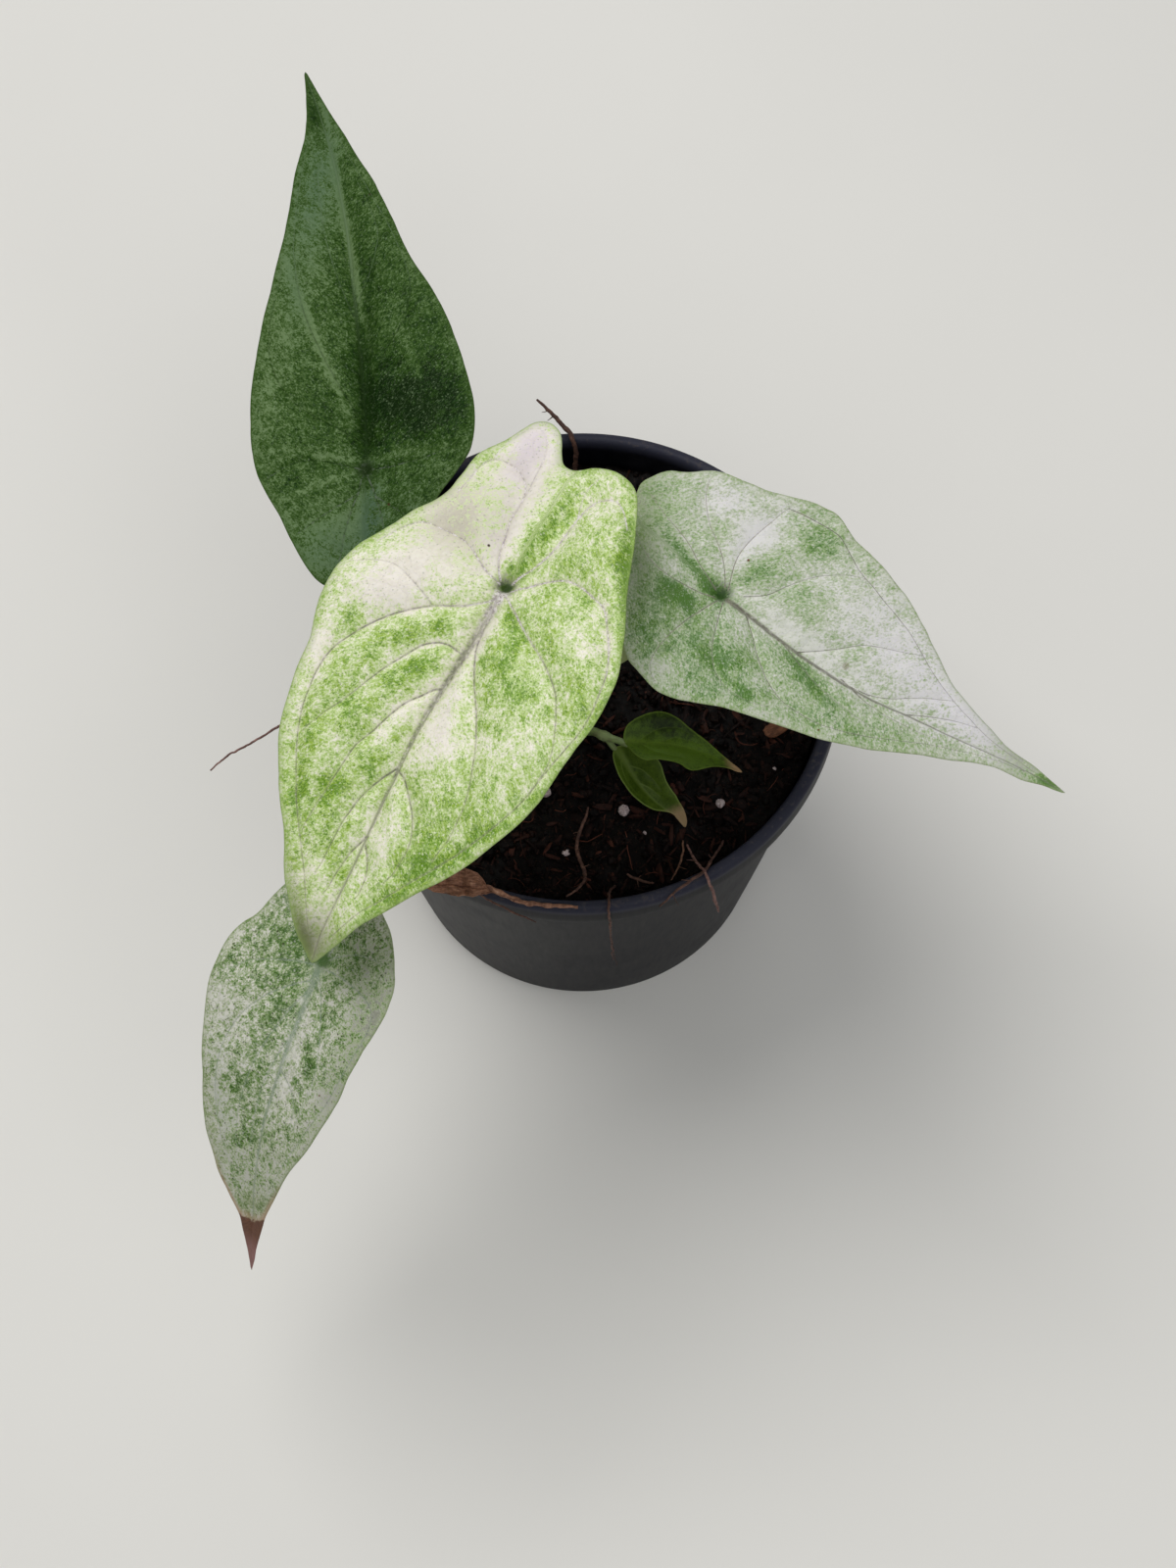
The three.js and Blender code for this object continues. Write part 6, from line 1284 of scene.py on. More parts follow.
def ring_tube(path, radii, sides=8, seed=0, rough=0.0, flat=None, twist=0.0):
    """Closed round tube along path (n, 3) with a radius at each point, rounded at both ends."""
    P = np.asarray(path, float)
    n = len(P)
    R = np.asarray(radii, float)
    T = np.gradient(P, axis=0)
    T /= np.linalg.norm(T, axis=1)[:, None]
    ref = np.array([0, 0, 1.0]) if abs(T[0][2]) < 0.9 else np.array([1.0, 0, 0])
    s = unit(np.cross(T[0], ref))
    verts = []
    S = [s]
    for i in range(1, n):
        s = S[-1] - T[i] * (S[-1] @ T[i])
        S.append(unit(s))
    ang = np.arange(sides) / sides * TAU
    rings = []
    for i in range(n):
        u_, w_ = S[i], np.cross(T[i], S[i])
        a = ang + twist * i / n
        r = np.full(sides, R[i])
        if rough:
            q = P[i] + np.cos(a)[:, None] * u_ * R[i] + np.sin(a)[:, None] * w_ * R[i]
            r = r * (1 + rough * fnoise(q, 0.9, seed, 2))
        ru, rw = r * np.cos(a), r * np.sin(a)
        if flat is not None:
            rw = rw * flat
        rings.append(P[i] + ru[:, None] * u_ + rw[:, None] * w_)
    a0 = P[0] - T[0] * R[0] * 0.5
    a1 = P[-1] + T[-1] * R[-1] * 0.5
    first = [P[0] + (rings[0] - P[0]) * 0.7 - T[0] * R[0] * 0.3]
    last = [P[-1] + (rings[-1] - P[-1]) * 0.7 + T[-1] * R[-1] * 0.3]
    rings = first + rings + last
    V_ = np.vstack(rings + [a0[None], a1[None]])
    m = len(rings)
    F = []
    for i in range(m - 1):
        for j in range(sides):
            k = (j + 1) % sides
            F.append([i * sides + j, i * sides + k, (i + 1) * sides + k, (i + 1) * sides + j])
    e0, e1 = m * sides, m * sides + 1
    for j in range(sides):
        k = (j + 1) % sides
        F.append([e0, k, j])
        F.append([e1, (m - 1) * sides + j, (m - 1) * sides + k])
    t = np.concatenate([np.repeat(np.r_[0, np.linspace(0, 1, n), 1], sides), [0, 1]])
    return V_, F, t


def soil_finish():
    n = Nodes("mix_finish")
    co = n.coord()
    tone = n.val("tone")
    g = n.noise(co, 650.0, 4.0, 0.65)
    fibre = n.noise(n.scale(n.warp(co, 120.0, 0.004, 2.0), (1.0, 1.0, 1.0)), 1500.0, 3.0, 0.7)
    col = n.ramp(n.add(n.mul(tone, 0.82), n.mul(n.sub(g, 0.5), 0.45)), [
        (0.0, srgb(2, 1, 1)), (0.22, srgb(7, 4, 3)), (0.42, srgb(19, 10, 8)), (0.62, srgb(48, 26, 20)), (0.82, srgb(86, 49, 38)), (1.0, srgb(138, 94, 75)),
    ])
    col = n.mix(n.smooth(fibre, 0.58, 0.7, 0.0, 0.35), col, srgb(84, 50, 38))
    damp = n.noise(co, 45.0, 2.0, 0.5)
    rough = n.mad(g, 0.3, n.smooth(damp, 0.4, 0.65, 0.42, 0.68))
    nrm = n.bump(n.add(n.mul(g, 0.6), n.mul(fibre, 0.5)), 0.7, 0.25)
    return n.done(col, rough, nrm, 0.1)


def perlite_finish():
    n = Nodes("perlite_finish")
    co = n.coord()
    g = n.noise(co, 1400.0, 3.0, 0.6)
    pits = n.voronoi(co, 1900.0, "F1")
    # painted shade: the grains are white perlite, coloured a darkened pinkish grey as they lie in shade
    col = n.mix(n.smooth(g, 0.35, 0.7), srgb(146, 130, 131), srgb(190, 177, 177))
    col = n.mix(n.smooth(pits, 0.5, 0.15, 0.0, 0.55), col, srgb(112, 92, 84))
    nrm = n.bump(n.add(n.mul(g, 0.4), pits), 0.8, 0.22)
    return n.done(col, 0.85, nrm, 0.25, Subsurface_Weight=0.15, Subsurface_Radius=(1, 1, 1), Subsurface_Scale=0.0004)


m_soil, m_perlite = soil_finish(), perlite_finish()


def build_soil():
    rng = np.random.default_rng(21)
    R_TOP = 55.3
    step = 0.78
    # surface points in a hexagonal net, with rings at the wall
    xs = np.arange(-R_TOP, R_TOP, step)
    ys = np.arange(-R_TOP, R_TOP, step * 0.866)
    G = np.array([(x + (j % 2) * step / 2, y) for j, y in enumerate(ys) for x in xs])
    G += rng.uniform(-0.15, 0.15, G.shape) * step
    G = G[np.hypot(*G.T) < R_TOP - 0.8 * step]
    m = int(TAU * R_TOP / step)
    a = np.arange(m) / m * TAU
    ring = np.stack([R_TOP * np.cos(a), R_TOP * np.sin(a)], -1)
    allp = np.vstack([ring, G])
    res = geometry.delaunay_2d_cdt([Vector(p) for p in allp], [], [list(range(m))], 1, 1e-6)
    P = np.array([tuple(p) for p in res[0]])
    first = {}
    for i, o in enumerate(res[3]):
        for q in o:
            first[q] = i
    rim = [first[i] for i in range(m)]
    p3 = np.column_stack([P, np.zeros(len(P))])
    z = soil_top(P[:, 0], P[:, 1]) - 0.3
    lumps = 0.75 * fnoise(p3, 0.17, 31, 2) + 0.6 * (np.abs(fnoise(p3, 0.36, 32, 2)) * 2 - 0.5) + 0.42 * fnoise(p3, 0.8, 33, 2)
    # crumbs lean up a little against the wall, and the mix is firm round the crown
    rr = np.hypot(P[:, 0], P[:, 1])
    z = z + lumps + 0.5 * sstep(rr, 50, 55)
    verts = [np.column_stack([P, z])]
    faces = []
    for f in res[2]:
        p = P[list(f)]
        ccw = (p[1][0] - p[0][0]) * (p[2][1] - p[0][1]) - (p[2][0] - p[0][0]) * (p[1][1] - p[0][1]) > 0
        faces.append(list(f) if ccw else list(f)[::-1])
    # sides and bottom, inside the pot
    n0 = len(P)
    for q, (rb, zb) in enumerate(((52.6, 70.0), (46.6, 25.0), (43.5, 1.6))):
        verts.append(np.stack([rb * np.cos(a), rb * np.sin(a), np.full(m, zb)], -1))
    up_ids = rim
    for q in range(3):
        dn = [n0 + q * m + j for j in range(m)]
        for j in range(m):
            k = (j + 1) % m
            faces.append([up_ids[j], dn[j], dn[k], up_ids[k]])
        up_ids = dn
    faces.append(up_ids[::-1])
    tone = [0.15 + 0.2 * fnoise(p3, 0.5, 40, 2), np.full(3 * m, 0.3)]
    smooth_n = len(faces)
    base = n0 + 3 * m
    # coarse chips and crumbs
    v1, f1 = octasphere(1)
    N_CH = 3700
    for i in range(N_CH):
        r = 54.6 * math.sqrt(rng.random())
        t = rng.random() * TAU
        x, y = r * math.cos(t), r * math.sin(t)
        if math.hypot(x - CROWN[0], y - CROWN[1]) < 8.5:
            continue
        splinter = rng.random() < 0.38
        if splinter:
            L_ = rng.uniform(0.8, 2.0) + (rng.random() < 0.22) * rng.uniform(0.4, 1.4)
            w_, h_ = L_ * rng.uniform(0.16, 0.36), L_ * rng.uniform(0.10, 0.2)
            tt = 0.30 + 0.56 * rng.beta(1.7, 1.8)
        else:
            L_ = rng.uniform(0.4, 1.05) + (rng.random() < 0.14) * rng.uniform(0.4, 0.9)
            w_, h_ = L_ * rng.uniform(0.6, 0.95), L_ * rng.uniform(0.4, 0.8)
            tt = 0.08 + 0.58 * rng.beta(1.5, 2.7)
        L_ = min(L_, (56.0 - r) + 0.5)
        q = v1 * (1 + rng.uniform(-0.22, 0.22, (len(v1), 1)))
        q = np.sign(q) * np.abs(q) ** 0.8 * (L_, w_, h_)
        M = rot_matrix(rng.random() * TAU, rng.normal(0, 0.32 if splinter else 0.6), rng.normal(0, 0.6))
        zc = float(soil_top(np.array(x), np.array(y))) + rng.uniform(-0.25, 0.6) + h_ * 0.3 + 0.5 * float(sstep(np.array(r), 50, 55))
        q = q @ M.T + (x, y, zc)
        verts.append(q)
        faces += (f1 + base).tolist()
        base += len(q)
        tone.append(np.full(len(q), tt))
    flat_n = len(faces)
    # loose brown fibres
    for i in range(150):
        r = 52.0 * math.sqrt(rng.random())
        t = rng.random() * TAU
        x, y = r * math.cos(t), r * math.sin(t)
        ln = rng.uniform(3.5, 13.0)
        k = 9
        h = rng.random() * TAU
        bend = rng.normal(0, 1.6)
        pts = []
        for j in range(k):
            pts.append((x, y))
            h += bend / k + rng.normal(0, 0.12)
            x += ln / k * math.cos(h)
            y += ln / k * math.sin(h)
        pts = np.array(pts)
        if np.hypot(*pts.T).max() > 54.5 or np.hypot(pts[:, 0] - CROWN[0], pts[:, 1] - CROWN[1]).min() < 9:
            continue
        zz = soil_top(pts[:, 0], pts[:, 1]) + 0.75 + 0.5 * np.sin(np.arange(k) * rng.uniform(0.3, 0.8) + rng.random() * 6)
        zz[0] -= 0.9
        zz[-1] -= 0.9
        rad = rng.uniform(0.07, 0.17) * np.array([0.7] + [1] * (k - 2) + [0.5])
        V_, F, _ = ring_tube(np.column_stack([pts, zz]), rad, 5, i)
        verts.append(V_)
        faces += [[q + base for q in f] for f in F]
        base += len(V_)
        tone.append(np.full(len(V_), rng.uniform(0.62, 1.0)))
    fibre_n = len(faces)
    # small grains of perlite pressed into the surface
    grains = 0
    v2, f2 = octasphere(2)
    for i in range(11):
        r = 52.0 * math.sqrt(rng.random())
        t = rng.random() * TAU
        x, y = r * math.cos(t), r * math.sin(t)
        if math.hypot(x - CROWN[0], y - CROWN[1]) < 10:
            continue
        s = rng.uniform(0.25, 0.5)
        q = v2 * s * (1 + 0.25 * fnoise(v2 + i * 5.1, 1.6, 9, 2)[:, None])
        q = q + (x, y, float(soil_top(np.array(x), np.array(y))) + 0.35)
        verts.append(q)
        faces += (f2 + base).tolist()
        base += len(q)
        tone.append(np.full(len(q), 0.5))
    V_ = np.vstack(verts)
    fm = np.zeros(len(faces), int)
    fm[fibre_n:] = 1
    o = mesh_object("mix_body", V_, faces, [m_soil, m_perlite], fm, {"tone": np.concatenate(tone)})
    sm = np.ones(len(faces), bool)
    sm[smooth_n:flat_n] = False
    o.data.polygons.foreach_set("use_smooth", sm)
    stand_for(o, "potting_mix", "potting_mix")
    print("soil", len(faces), "faces")
    return o


build_soil()


# ------------------------------------------------------------------ perlite and bark on the mix
def build_perlite(i, x, y, d):
    v, f = octasphere(4)
    q = v.copy()
    n1 = fnoise(v + i * 7.7, 1.1, 60 + i, 2)
    n2 = np.abs(fnoise(v + i * 3.1, 3.2, 70 + i, 2))
    n3 = fnoise(v + i * 1.7, 8.0, 80 + i, 2)
    q = v * (1 + 0.22 * n1 - 0.22 * n2 + 0.05 * n3)[:, None]
    lo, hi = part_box("perlite_%d" % i)
    lo, hi = np.array(lo) / MM, np.array(hi) / MM
    c, s = (lo + hi) / 2, (hi - lo) / 2
    q = (q - q.min(0)) / (q.max(0) - q.min(0)) * 2 - 1
    q = c + q * s
    o = mesh_object("perlite_grain_%d" % i, q, f.tolist(), [m_perlite])
    stand_for(o, "perlite", "perlite_%d" % i)


for i, (x, y, d) in enumerate([(9.5, -32.8, 2.9), (31.4, -32, 2.3), (-3.9, -42.8, 2.2), (-8.2, -28.4, 2.4), (24, 40.5, 2.4)], 1):
    build_perlite(i, x, y, d)


def bark_finish():
    n = Nodes("bark_finish")
    co = n.coord()
    v = n.vec("grain")
    g = n.noise(n.scale(v, (0.5, 3.2, 2.0)), 1.2, 4.0, 0.65)
    s = n.noise(v, 0.7, 2.0, 0.5)
    col = n.ramp(n.add(n.mul(g, 0.7), n.mul(s, 0.35)), [(0.25, srgb(44, 26, 18)), (0.5, srgb(88, 54, 36)), (0.68, srgb(128, 84, 58)), (0.85, srgb(160, 118, 88))])
    return n.done(col, n.mad(g, 0.25, 0.6), n.bump(g, 0.8, 0.3), 0.25)


m_bark = bark_finish()


def build_chip(i, x, y, L_, W_, H_, turn):
    v, f = octasphere(4)
    e = np.array([0.55, 0.6, 0.7])
    q = np.sign(v) * np.abs(v) ** e
    q = q / np.abs(q).max(0)
    edge = 1 + 0.14 * fnoise(v * (1, 1, 0.2) + i * 9, 2.4, 90 + i, 3)
    q = q * (np.array([edge, edge, np.ones_like(edge)]).T)
    q = q * (L_ / 2, W_ / 2, H_ / 2)
    q[:, 2] += 0.16 * fnoise(q * (0.5, 2.5, 0), 0.8, 95 + i, 3) * np.sign(q[:, 2]) + 0.10 * (q[:, 0] / L_ * 2) ** 2
    c, s = math.cos(turn), math.sin(turn)
    w = q.copy()
    w[:, 0], w[:, 1] = q[:, 0] * c - q[:, 1] * s, q[:, 0] * s + q[:, 1] * c
    lo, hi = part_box("bark_chip_%d" % i)
    cz = np.array((lo + hi) / 2) / MM
    w = w - (w.min(0) + w.max(0)) / 2 + cz
    o = mesh_object("chip_%d" % i, w, f.tolist(), [m_bark], None, {"grain": q})
    stand_for(o, "bark", "bark_chip_%d" % i)


for i, a in enumerate([(45, -13, 6.2, 3.4, 1.0, 0.5), (12.5, 44.5, 6.8, 3.6, 1.1, 2.4), (-33, 27, 7.4, 3.8, 1.1, 1.2)], 1):
    build_chip(i, *a)


# ------------------------------------------------------------------ crown
def crown_finish():
    n = Nodes("crown_finish")
    co = n.coord()
    band = n.noise(n.scale(co, (220.0, 220.0, 1500.0)), 1.0, 3.0, 0.6)
    g = n.noise(co, 700.0, 4.0, 0.65)
    col = n.ramp(n.add(n.mul(band, 0.5), n.mul(g, 0.5)), [(0.3, srgb(38, 24, 16)), (0.5, srgb(84, 58, 38)), (0.62, srgb(124, 96, 64)), (0.78, srgb(150, 132, 92))])
    return n.done(col, n.mad(g, 0.2, 0.6), n.bump(n.add(band, g), 0.8, 0.3), 0.25)


def build_crown():
    prof = spline([(0.05, 86.0), (4, 86.4), (6.4, 88.5), (7.6, 92), (7.9, 96), (7.5, 98.3), (6.6, 99.3), (4.5, 99.8), (2.4, 100.0), (0.05, 100.0)], 0.35)
    S = 96
    a = np.arange(S) / S * TAU
    V_, F = [], []
    for r, z in prof:
        q = np.stack([r * np.cos(a), r * np.sin(a), np.full(S, z)], -1)
        # leaf scars ring the corm
        k = 1 + (0.05 * np.sin(z * 4.4 + 0.8 * np.sin(a * 2)) + 0.10 * fnoise(q, 0.28, 3, 3)) * min(1, r / 3)
        q[:, :2] *= k[:, None]
        q[:, 2] += 0.35 * fnoise(q, 0.6, 8, 2) * min(1, r / 2) * (1 if z > 98 else 0.3)
        V_.append(q)
    V_ = np.vstack(V_)
    m = len(prof)
    for i in range(m - 1):
        for j in range(S):
            k = (j + 1) % S
            F.append([i * S + j, i * S + k, (i + 1) * S + k, (i + 1) * S + j])
    F.append(list(range(S))[::-1])
    F.append([(m - 1) * S + j for j in range(S)])
    V_[:, 0] += CROWN[0]
    V_[:, 1] += CROWN[1]
    o = mesh_object("crown", V_, F, [crown_finish()])
    stand_for(o, "crown", "rhizome")


build_crown()


# ------------------------------------------------------------------ leaf stalks
def petiole_finish(name, a, b, foot, speck):
    n = Nodes(name)
    co = n.coord()
    t = n.val("along")
    g = n.noise(n.scale(co, (1.0, 1.0, 0.35)), 650.0, 3.0, 0.6)
    m_ = n.noise(n.scale(co, (1.0, 1.0, 0.4)), 190.0, 2.0, 0.5)
    col = n.mix(n.smooth(m_, 0.35, 0.65), a, b)
    col = n.mix(n.smooth(t, 0.22, 0.0, 0.0, 0.85), col, foot)
    col = n.mix(n.mul(n.smooth(g, 0.56, 0.66), 0.45), col, speck)
    fine = n.noise(n.scale(co, (1.0, 1.0, 0.08)), 2600.0, 2.0, 0.5)
    return n.done(col, n.mad(g, 0.15, 0.34), n.bump(fine, 0.3, 0.06), 0.45, Subsurface_Weight=0.12, Subsurface_Radius=(1, 1.1, 0.4), Subsurface_Scale=0.0008)


m_pet = petiole_finish("stalk_pale", srgb(158, 168, 116), srgb(128, 144, 86), srgb(176, 158, 138), srgb(110, 92, 74))
m_pet_green = petiole_finish("stalk_green", srgb(112, 130, 78), srgb(84, 106, 54), srgb(160, 148, 118), srgb(70, 56, 46))
m_pet_young = petiole_finish("stalk_young", srgb(132, 146, 100), srgb(112, 130, 80), srgb(160, 152, 124), srgb(96, 88, 66))


def bezier(c, t):
    c = np.asarray(c, float)
    t = np.asarray(t)[:, None]
    return (1 - t) ** 3 * c[0] + 3 * (1 - t) ** 2 * t * c[1] + 3 * (1 - t) * t**2 * c[2] + t**3 * c[3]


def build_petiole(key, blade, mat, sink):
    p = PETIOLES[key]
    O, U, V, N = blade_frame(LEAVES[blade])
    c = np.array(p["path"], float)
    end = O - N * sink
    c[2] += end - c[3]
    c[3] = end
    n = 120
    t = np.linspace(0, 1, n)
    P = bezier(c, t)
    L_ = np.r_[0, np.cumsum(np.linalg.norm(np.diff(P, axis=0), axis=1))]
    s = L_ / L_[-1]
    R = p["foot"] + (p["top"] - p["foot"]) * s**0.8
    R = R * (1 + 0.45 * np.exp(-L_ / 5.0))  # swollen sheath at the crown
    R = R + 0.6 * np.exp(-(L_[-1] - L_) / 1.1)  # widens into the blade
    # the sheath: one side of the lower third is split and overlaps
    V_, F, at = ring_tube(P, R, 28, 3, 0.02)
    rings = n + 2
    X = V_[: rings * 28].reshape(rings, 28, 3)
    C = np.vstack([P[:1], P, P[-1:]])
    ang = np.arange(28) / 28 * TAU
    ss = np.r_[0, s, 1]
    open_ = (1 - sstep(ss, 0.22, 0.42))[:, None]
    lip = 0.16 * np.exp(-(((ang - 2.1) / 0.28) ** 2)) - 0.22 * np.exp(-(((ang - 2.75) / 0.22) ** 2)) + 0.12 * np.exp(-(((ang - 3.3) / 0.3) ** 2))
    ridge = 0.02 * np.sin(ang * 7)
    X = C[:, None] + (X - C[:, None]) * (1 + open_ * lip[None] + ridge[None])[..., None]
    V_[: rings * 28] = X.reshape(-1, 3)
    o = mesh_object("stalk_" + key, V_, F, [mat], None, {"along": at})
    stand_for(o, "petiole", "petiole_" + key)


SINK = {"rear": 3.2, "centre": 4.7, "right": 4.0, "front": 2.9}
build_petiole("rear", "rear", m_pet_green, SINK["rear"])
build_petiole("centre", "centre", m_pet, SINK["centre"])
build_petiole("right", "right", m_pet, SINK["right"])
build_petiole("front", "front", m_pet, SINK["front"])


def build_offset_stalk():
    main = spline(OFFSET_MAIN, 0.35)
    br = spline(OFFSET_BRANCH, 0.3)
    s = np.linspace(0, 1, len(main))
    R = 1.3 + (0.72 - 1.3) * s
    R = R + 0.35 * np.exp(-(((s - 0.72) / 0.08) ** 2)) + 0.35 * np.exp(-s * 18)
    V1, F1, a1 = ring_tube(main, R, 22, 5, 0.02)
    s2 = np.linspace(0, 1, len(br))
    V2, F2, a2 = ring_tube(br, 0.78 + (0.62 - 0.78) * s2, 18, 6, 0.02)
    V_ = np.vstack([V1, V2])
    F = F1 + [[q + len(V1) for q in f] for f in F2]
    o = mesh_object("stalk_offset", V_, F, [m_pet_young], None, {"along": np.concatenate([a1, 0.6 + a2 * 0.4])})
    stand_for(o, "petiole", "offset_stalk")


build_offset_stalk()


# ------------------------------------------------------------------ young blades
def young_material(name, top, dark, pale, tip, deep):
    n = Nodes(name)
    flow = n.vec("b_flow")
    line, vs, md, u_ = n.val("b_line"), n.val("b_vs"), n.val("b_margin"), n.val("b_u")
    dens = n.val("b_dens")
    soft = n.warp(flow, 0.8, 0.6)
    n_m = n.noise(soft, 0.7, 3.0, 0.6)
    n_f = n.noise(soft, 3.4, 2.0, 0.6)
    f = n.smooth(n.add(n.add(n.mul(n_m, 0.7), n.mul(n_f, 0.3)), dens), 0.2, 0.82)
    col = n.mix(f, top, dark)
    col = n.mix(n.mul(n.smooth(n_f, 0.54, 0.66), 0.4), col, deep)
    col = n.mix(n.mul(n.smooth(line, 0.8, 3.4, 1.0, 0.0), n.mul(n.math("POWER", vs, 2.5), 0.5)), col, pale)
    col = n.mix(n.smooth(md, 0.12, 0.42, 0.7, 0.0), col, pale)
    col = n.mix(n.smooth(n.add(u_, n.mul(n_f, 1.6)), 21.5 if "upper" in name else 17.0, 25.0 if "upper" in name else 20.0), col, tip)
    nrm = n.bump(n_f, 0.25, 0.04)
    return n.done(col, n.mad(n_f, 0.14, 0.38), nrm, 0.1, Subsurface_Weight=0.07, Subsurface_Radius=(1, 1.1, 0.4), Subsurface_Scale=0.0005)


y_up = young_material("young_upper", srgb(78, 104, 24), srgb(19, 33, 0), srgb(88, 108, 38), srgb(146, 118, 88), srgb(17, 34, 1))
y_lo = young_material("young_lower", srgb(72, 92, 22), srgb(42, 60, 6), srgb(104, 122, 58), srgb(140, 118, 88), srgb(32, 48, 5))
y_un = under_material("under_young", srgb(142, 162, 100), srgb(112, 136, 74), srgb(158, 174, 118), srgb(150, 160, 110))
build_blade("offset_upper", "young_upper", "offset_leaf_upper", "young_leaf", [y_up, y_un], 0.42, 13)
build_blade("offset_lower", "young_lower", "offset_leaf_lower", "young_leaf", [y_lo, y_un], 0.42, 17)


# ------------------------------------------------------------------ roots, fibres and the dead leaf
def root_finish(name, dark, mid, light):
    n = Nodes(name)
    co = n.coord()
    g = n.noise(co, 500.0, 4.0, 0.65)
    f = n.noise(co, 1800.0, 2.0, 0.6)
    col = n.ramp(n.add(n.mul(g, 0.7), n.mul(f, 0.35)), [(0.3, dark), (0.52, mid), (0.72, light)])
    return n.done(col, n.mad(g, 0.2, 0.58), n.bump(n.add(g, f), 0.7, 0.12), 0.3)


m_root = root_finish("root_brown", srgb(62, 40, 30), srgb(100, 70, 54), srgb(142, 108, 88))
m_root_dark = root_finish("root_dark", srgb(40, 25, 21), srgb(72, 48, 40), srgb(108, 78, 66))
m_root_pink = root_finish("root_pinkish", srgb(64, 42, 38), srgb(104, 74, 68), srgb(148, 114, 104))


def build_root(node, radii, mat, seed, lump=0.14, k=0.72, side=0):
    path = spline(STRANDS[node], 0.35)
    n = len(path)
    s = np.linspace(0, 1, n)
    wob = np.column_stack([fnoise(np.column_stack([s * n * 0.35, s * 0 + seed, s * 0 + j]), 0.5, seed + j, 3) for j in range(3)])
    path = path + wob * 0.34 * np.minimum(1, np.minimum(s, 1 - s) * 12)[:, None]
    r = np.interp(s, np.linspace(0, 1, len(radii)), radii) * k
    r = r * (1 + lump * fnoise(np.column_stack([s * n * 0.35, s * 0, s * 0 + seed]), 0.6, seed + 9, 2))
    V_, F, at = ring_tube(path, r, 12, seed, 0.14)
    V_, F, at = [V_], list(F), [at]
    base = len(V_[0])
    rng = np.random.default_rng(seed)
    # short rootlets
    for q in range(side):
        i = int(n * rng.uniform(0.15, 0.9))
        t = unit(path[min(i + 2, n - 1)] - path[max(i - 2, 0)])
        w = rng.normal(0, 1, 3)
        w[2] = abs(w[2]) * 0.5
        d = unit(unit(w - t * (w @ t)) + t * rng.uniform(0.2, 0.9))
        ln = rng.uniform(1.2, 3.4)
        p = [path[i] + d * ln * h + np.array([0, 0, -0.25 * h * h * ln]) + rng.normal(0, 0.05, 3) * (h > 0) for h in np.linspace(0, 1, 7)]
        v2, f2, a2 = ring_tube(np.array(p), np.linspace(r[i] * 0.45, 0.06, 7), 6, q)
        V_.append(v2)
        F += [[c + base for c in f] for f in f2]
        at.append(a2)
        base += len(v2)
    o = mesh_object("strand_" + node, np.vstack(V_), F, [mat], None, {"along": np.concatenate(at)})
    stand_for(o, "root", node)


build_root("root_curled", [0.35, 0.6, 0.65, 0.65, 0.6, 0.5, 0.3], m_root_dark, 1, k=0.66, side=3)
build_root("root_over_rim_a", [0.4, 0.5, 0.55, 0.6, 0.5, 0.3], m_root_dark, 2, k=0.6, side=4)
build_root("root_over_rim_b", [0.4, 0.5, 0.5, 0.5, 0.55, 0.65, 0.4], m_root_pink, 3, k=0.62, side=3)
build_root("root_hanging", [0.45, 0.5, 0.5, 0.42, 0.36, 0.22], m_root_dark, 4, k=0.6, side=2)
build_root("root_rear", [0.6, 0.75, 0.8, 0.75, 0.6, 0.4], m_root_dark, 5, k=0.75, side=2)
build_root("root_left", [0.5, 0.55, 0.5, 0.5, 0.45, 0.4, 0.3], m_root_pink, 6, k=0.62)
build_root("fibre_front", [0.3, 0.35, 0.35, 0.3, 0.2], m_root, 7, k=0.7, side=2)
build_root("root_stub", [0.4, 0.5, 0.5, 0.35], m_root_dark, 8, k=0.7, side=2)
build_root("fibre_rim", [0.25, 0.35, 0.35, 0.3, 0.2], m_root_dark, 9, k=0.7)


def dry_finish():
    n = Nodes("dry_finish")
    v = n.vec("sheet")
    lines = n.noise(n.scale(n.warp(v, 0.3, 0.5, 2.0), (0.35, 3.0, 1.0)), 1.4, 4.0, 0.65)
    g = n.noise(v, 0.9, 3.0, 0.6)
    col = n.ramp(n.add(n.mul(lines, 0.55), n.mul(g, 0.5)), [(0.28, srgb(54, 33, 26)), (0.46, srgb(106, 71, 55)), (0.62, srgb(152, 110, 88)), (0.82, srgb(196, 158, 134))])
    return n.done(col, n.mad(g, 0.2, 0.55), n.bump(n.add(n.mul(lines, 0.8), g), 0.8, 0.2), 0.3, Subsurface_Weight=0.1, Subsurface_Radius=(1, 0.7, 0.4), Subsurface_Scale=0.0006)


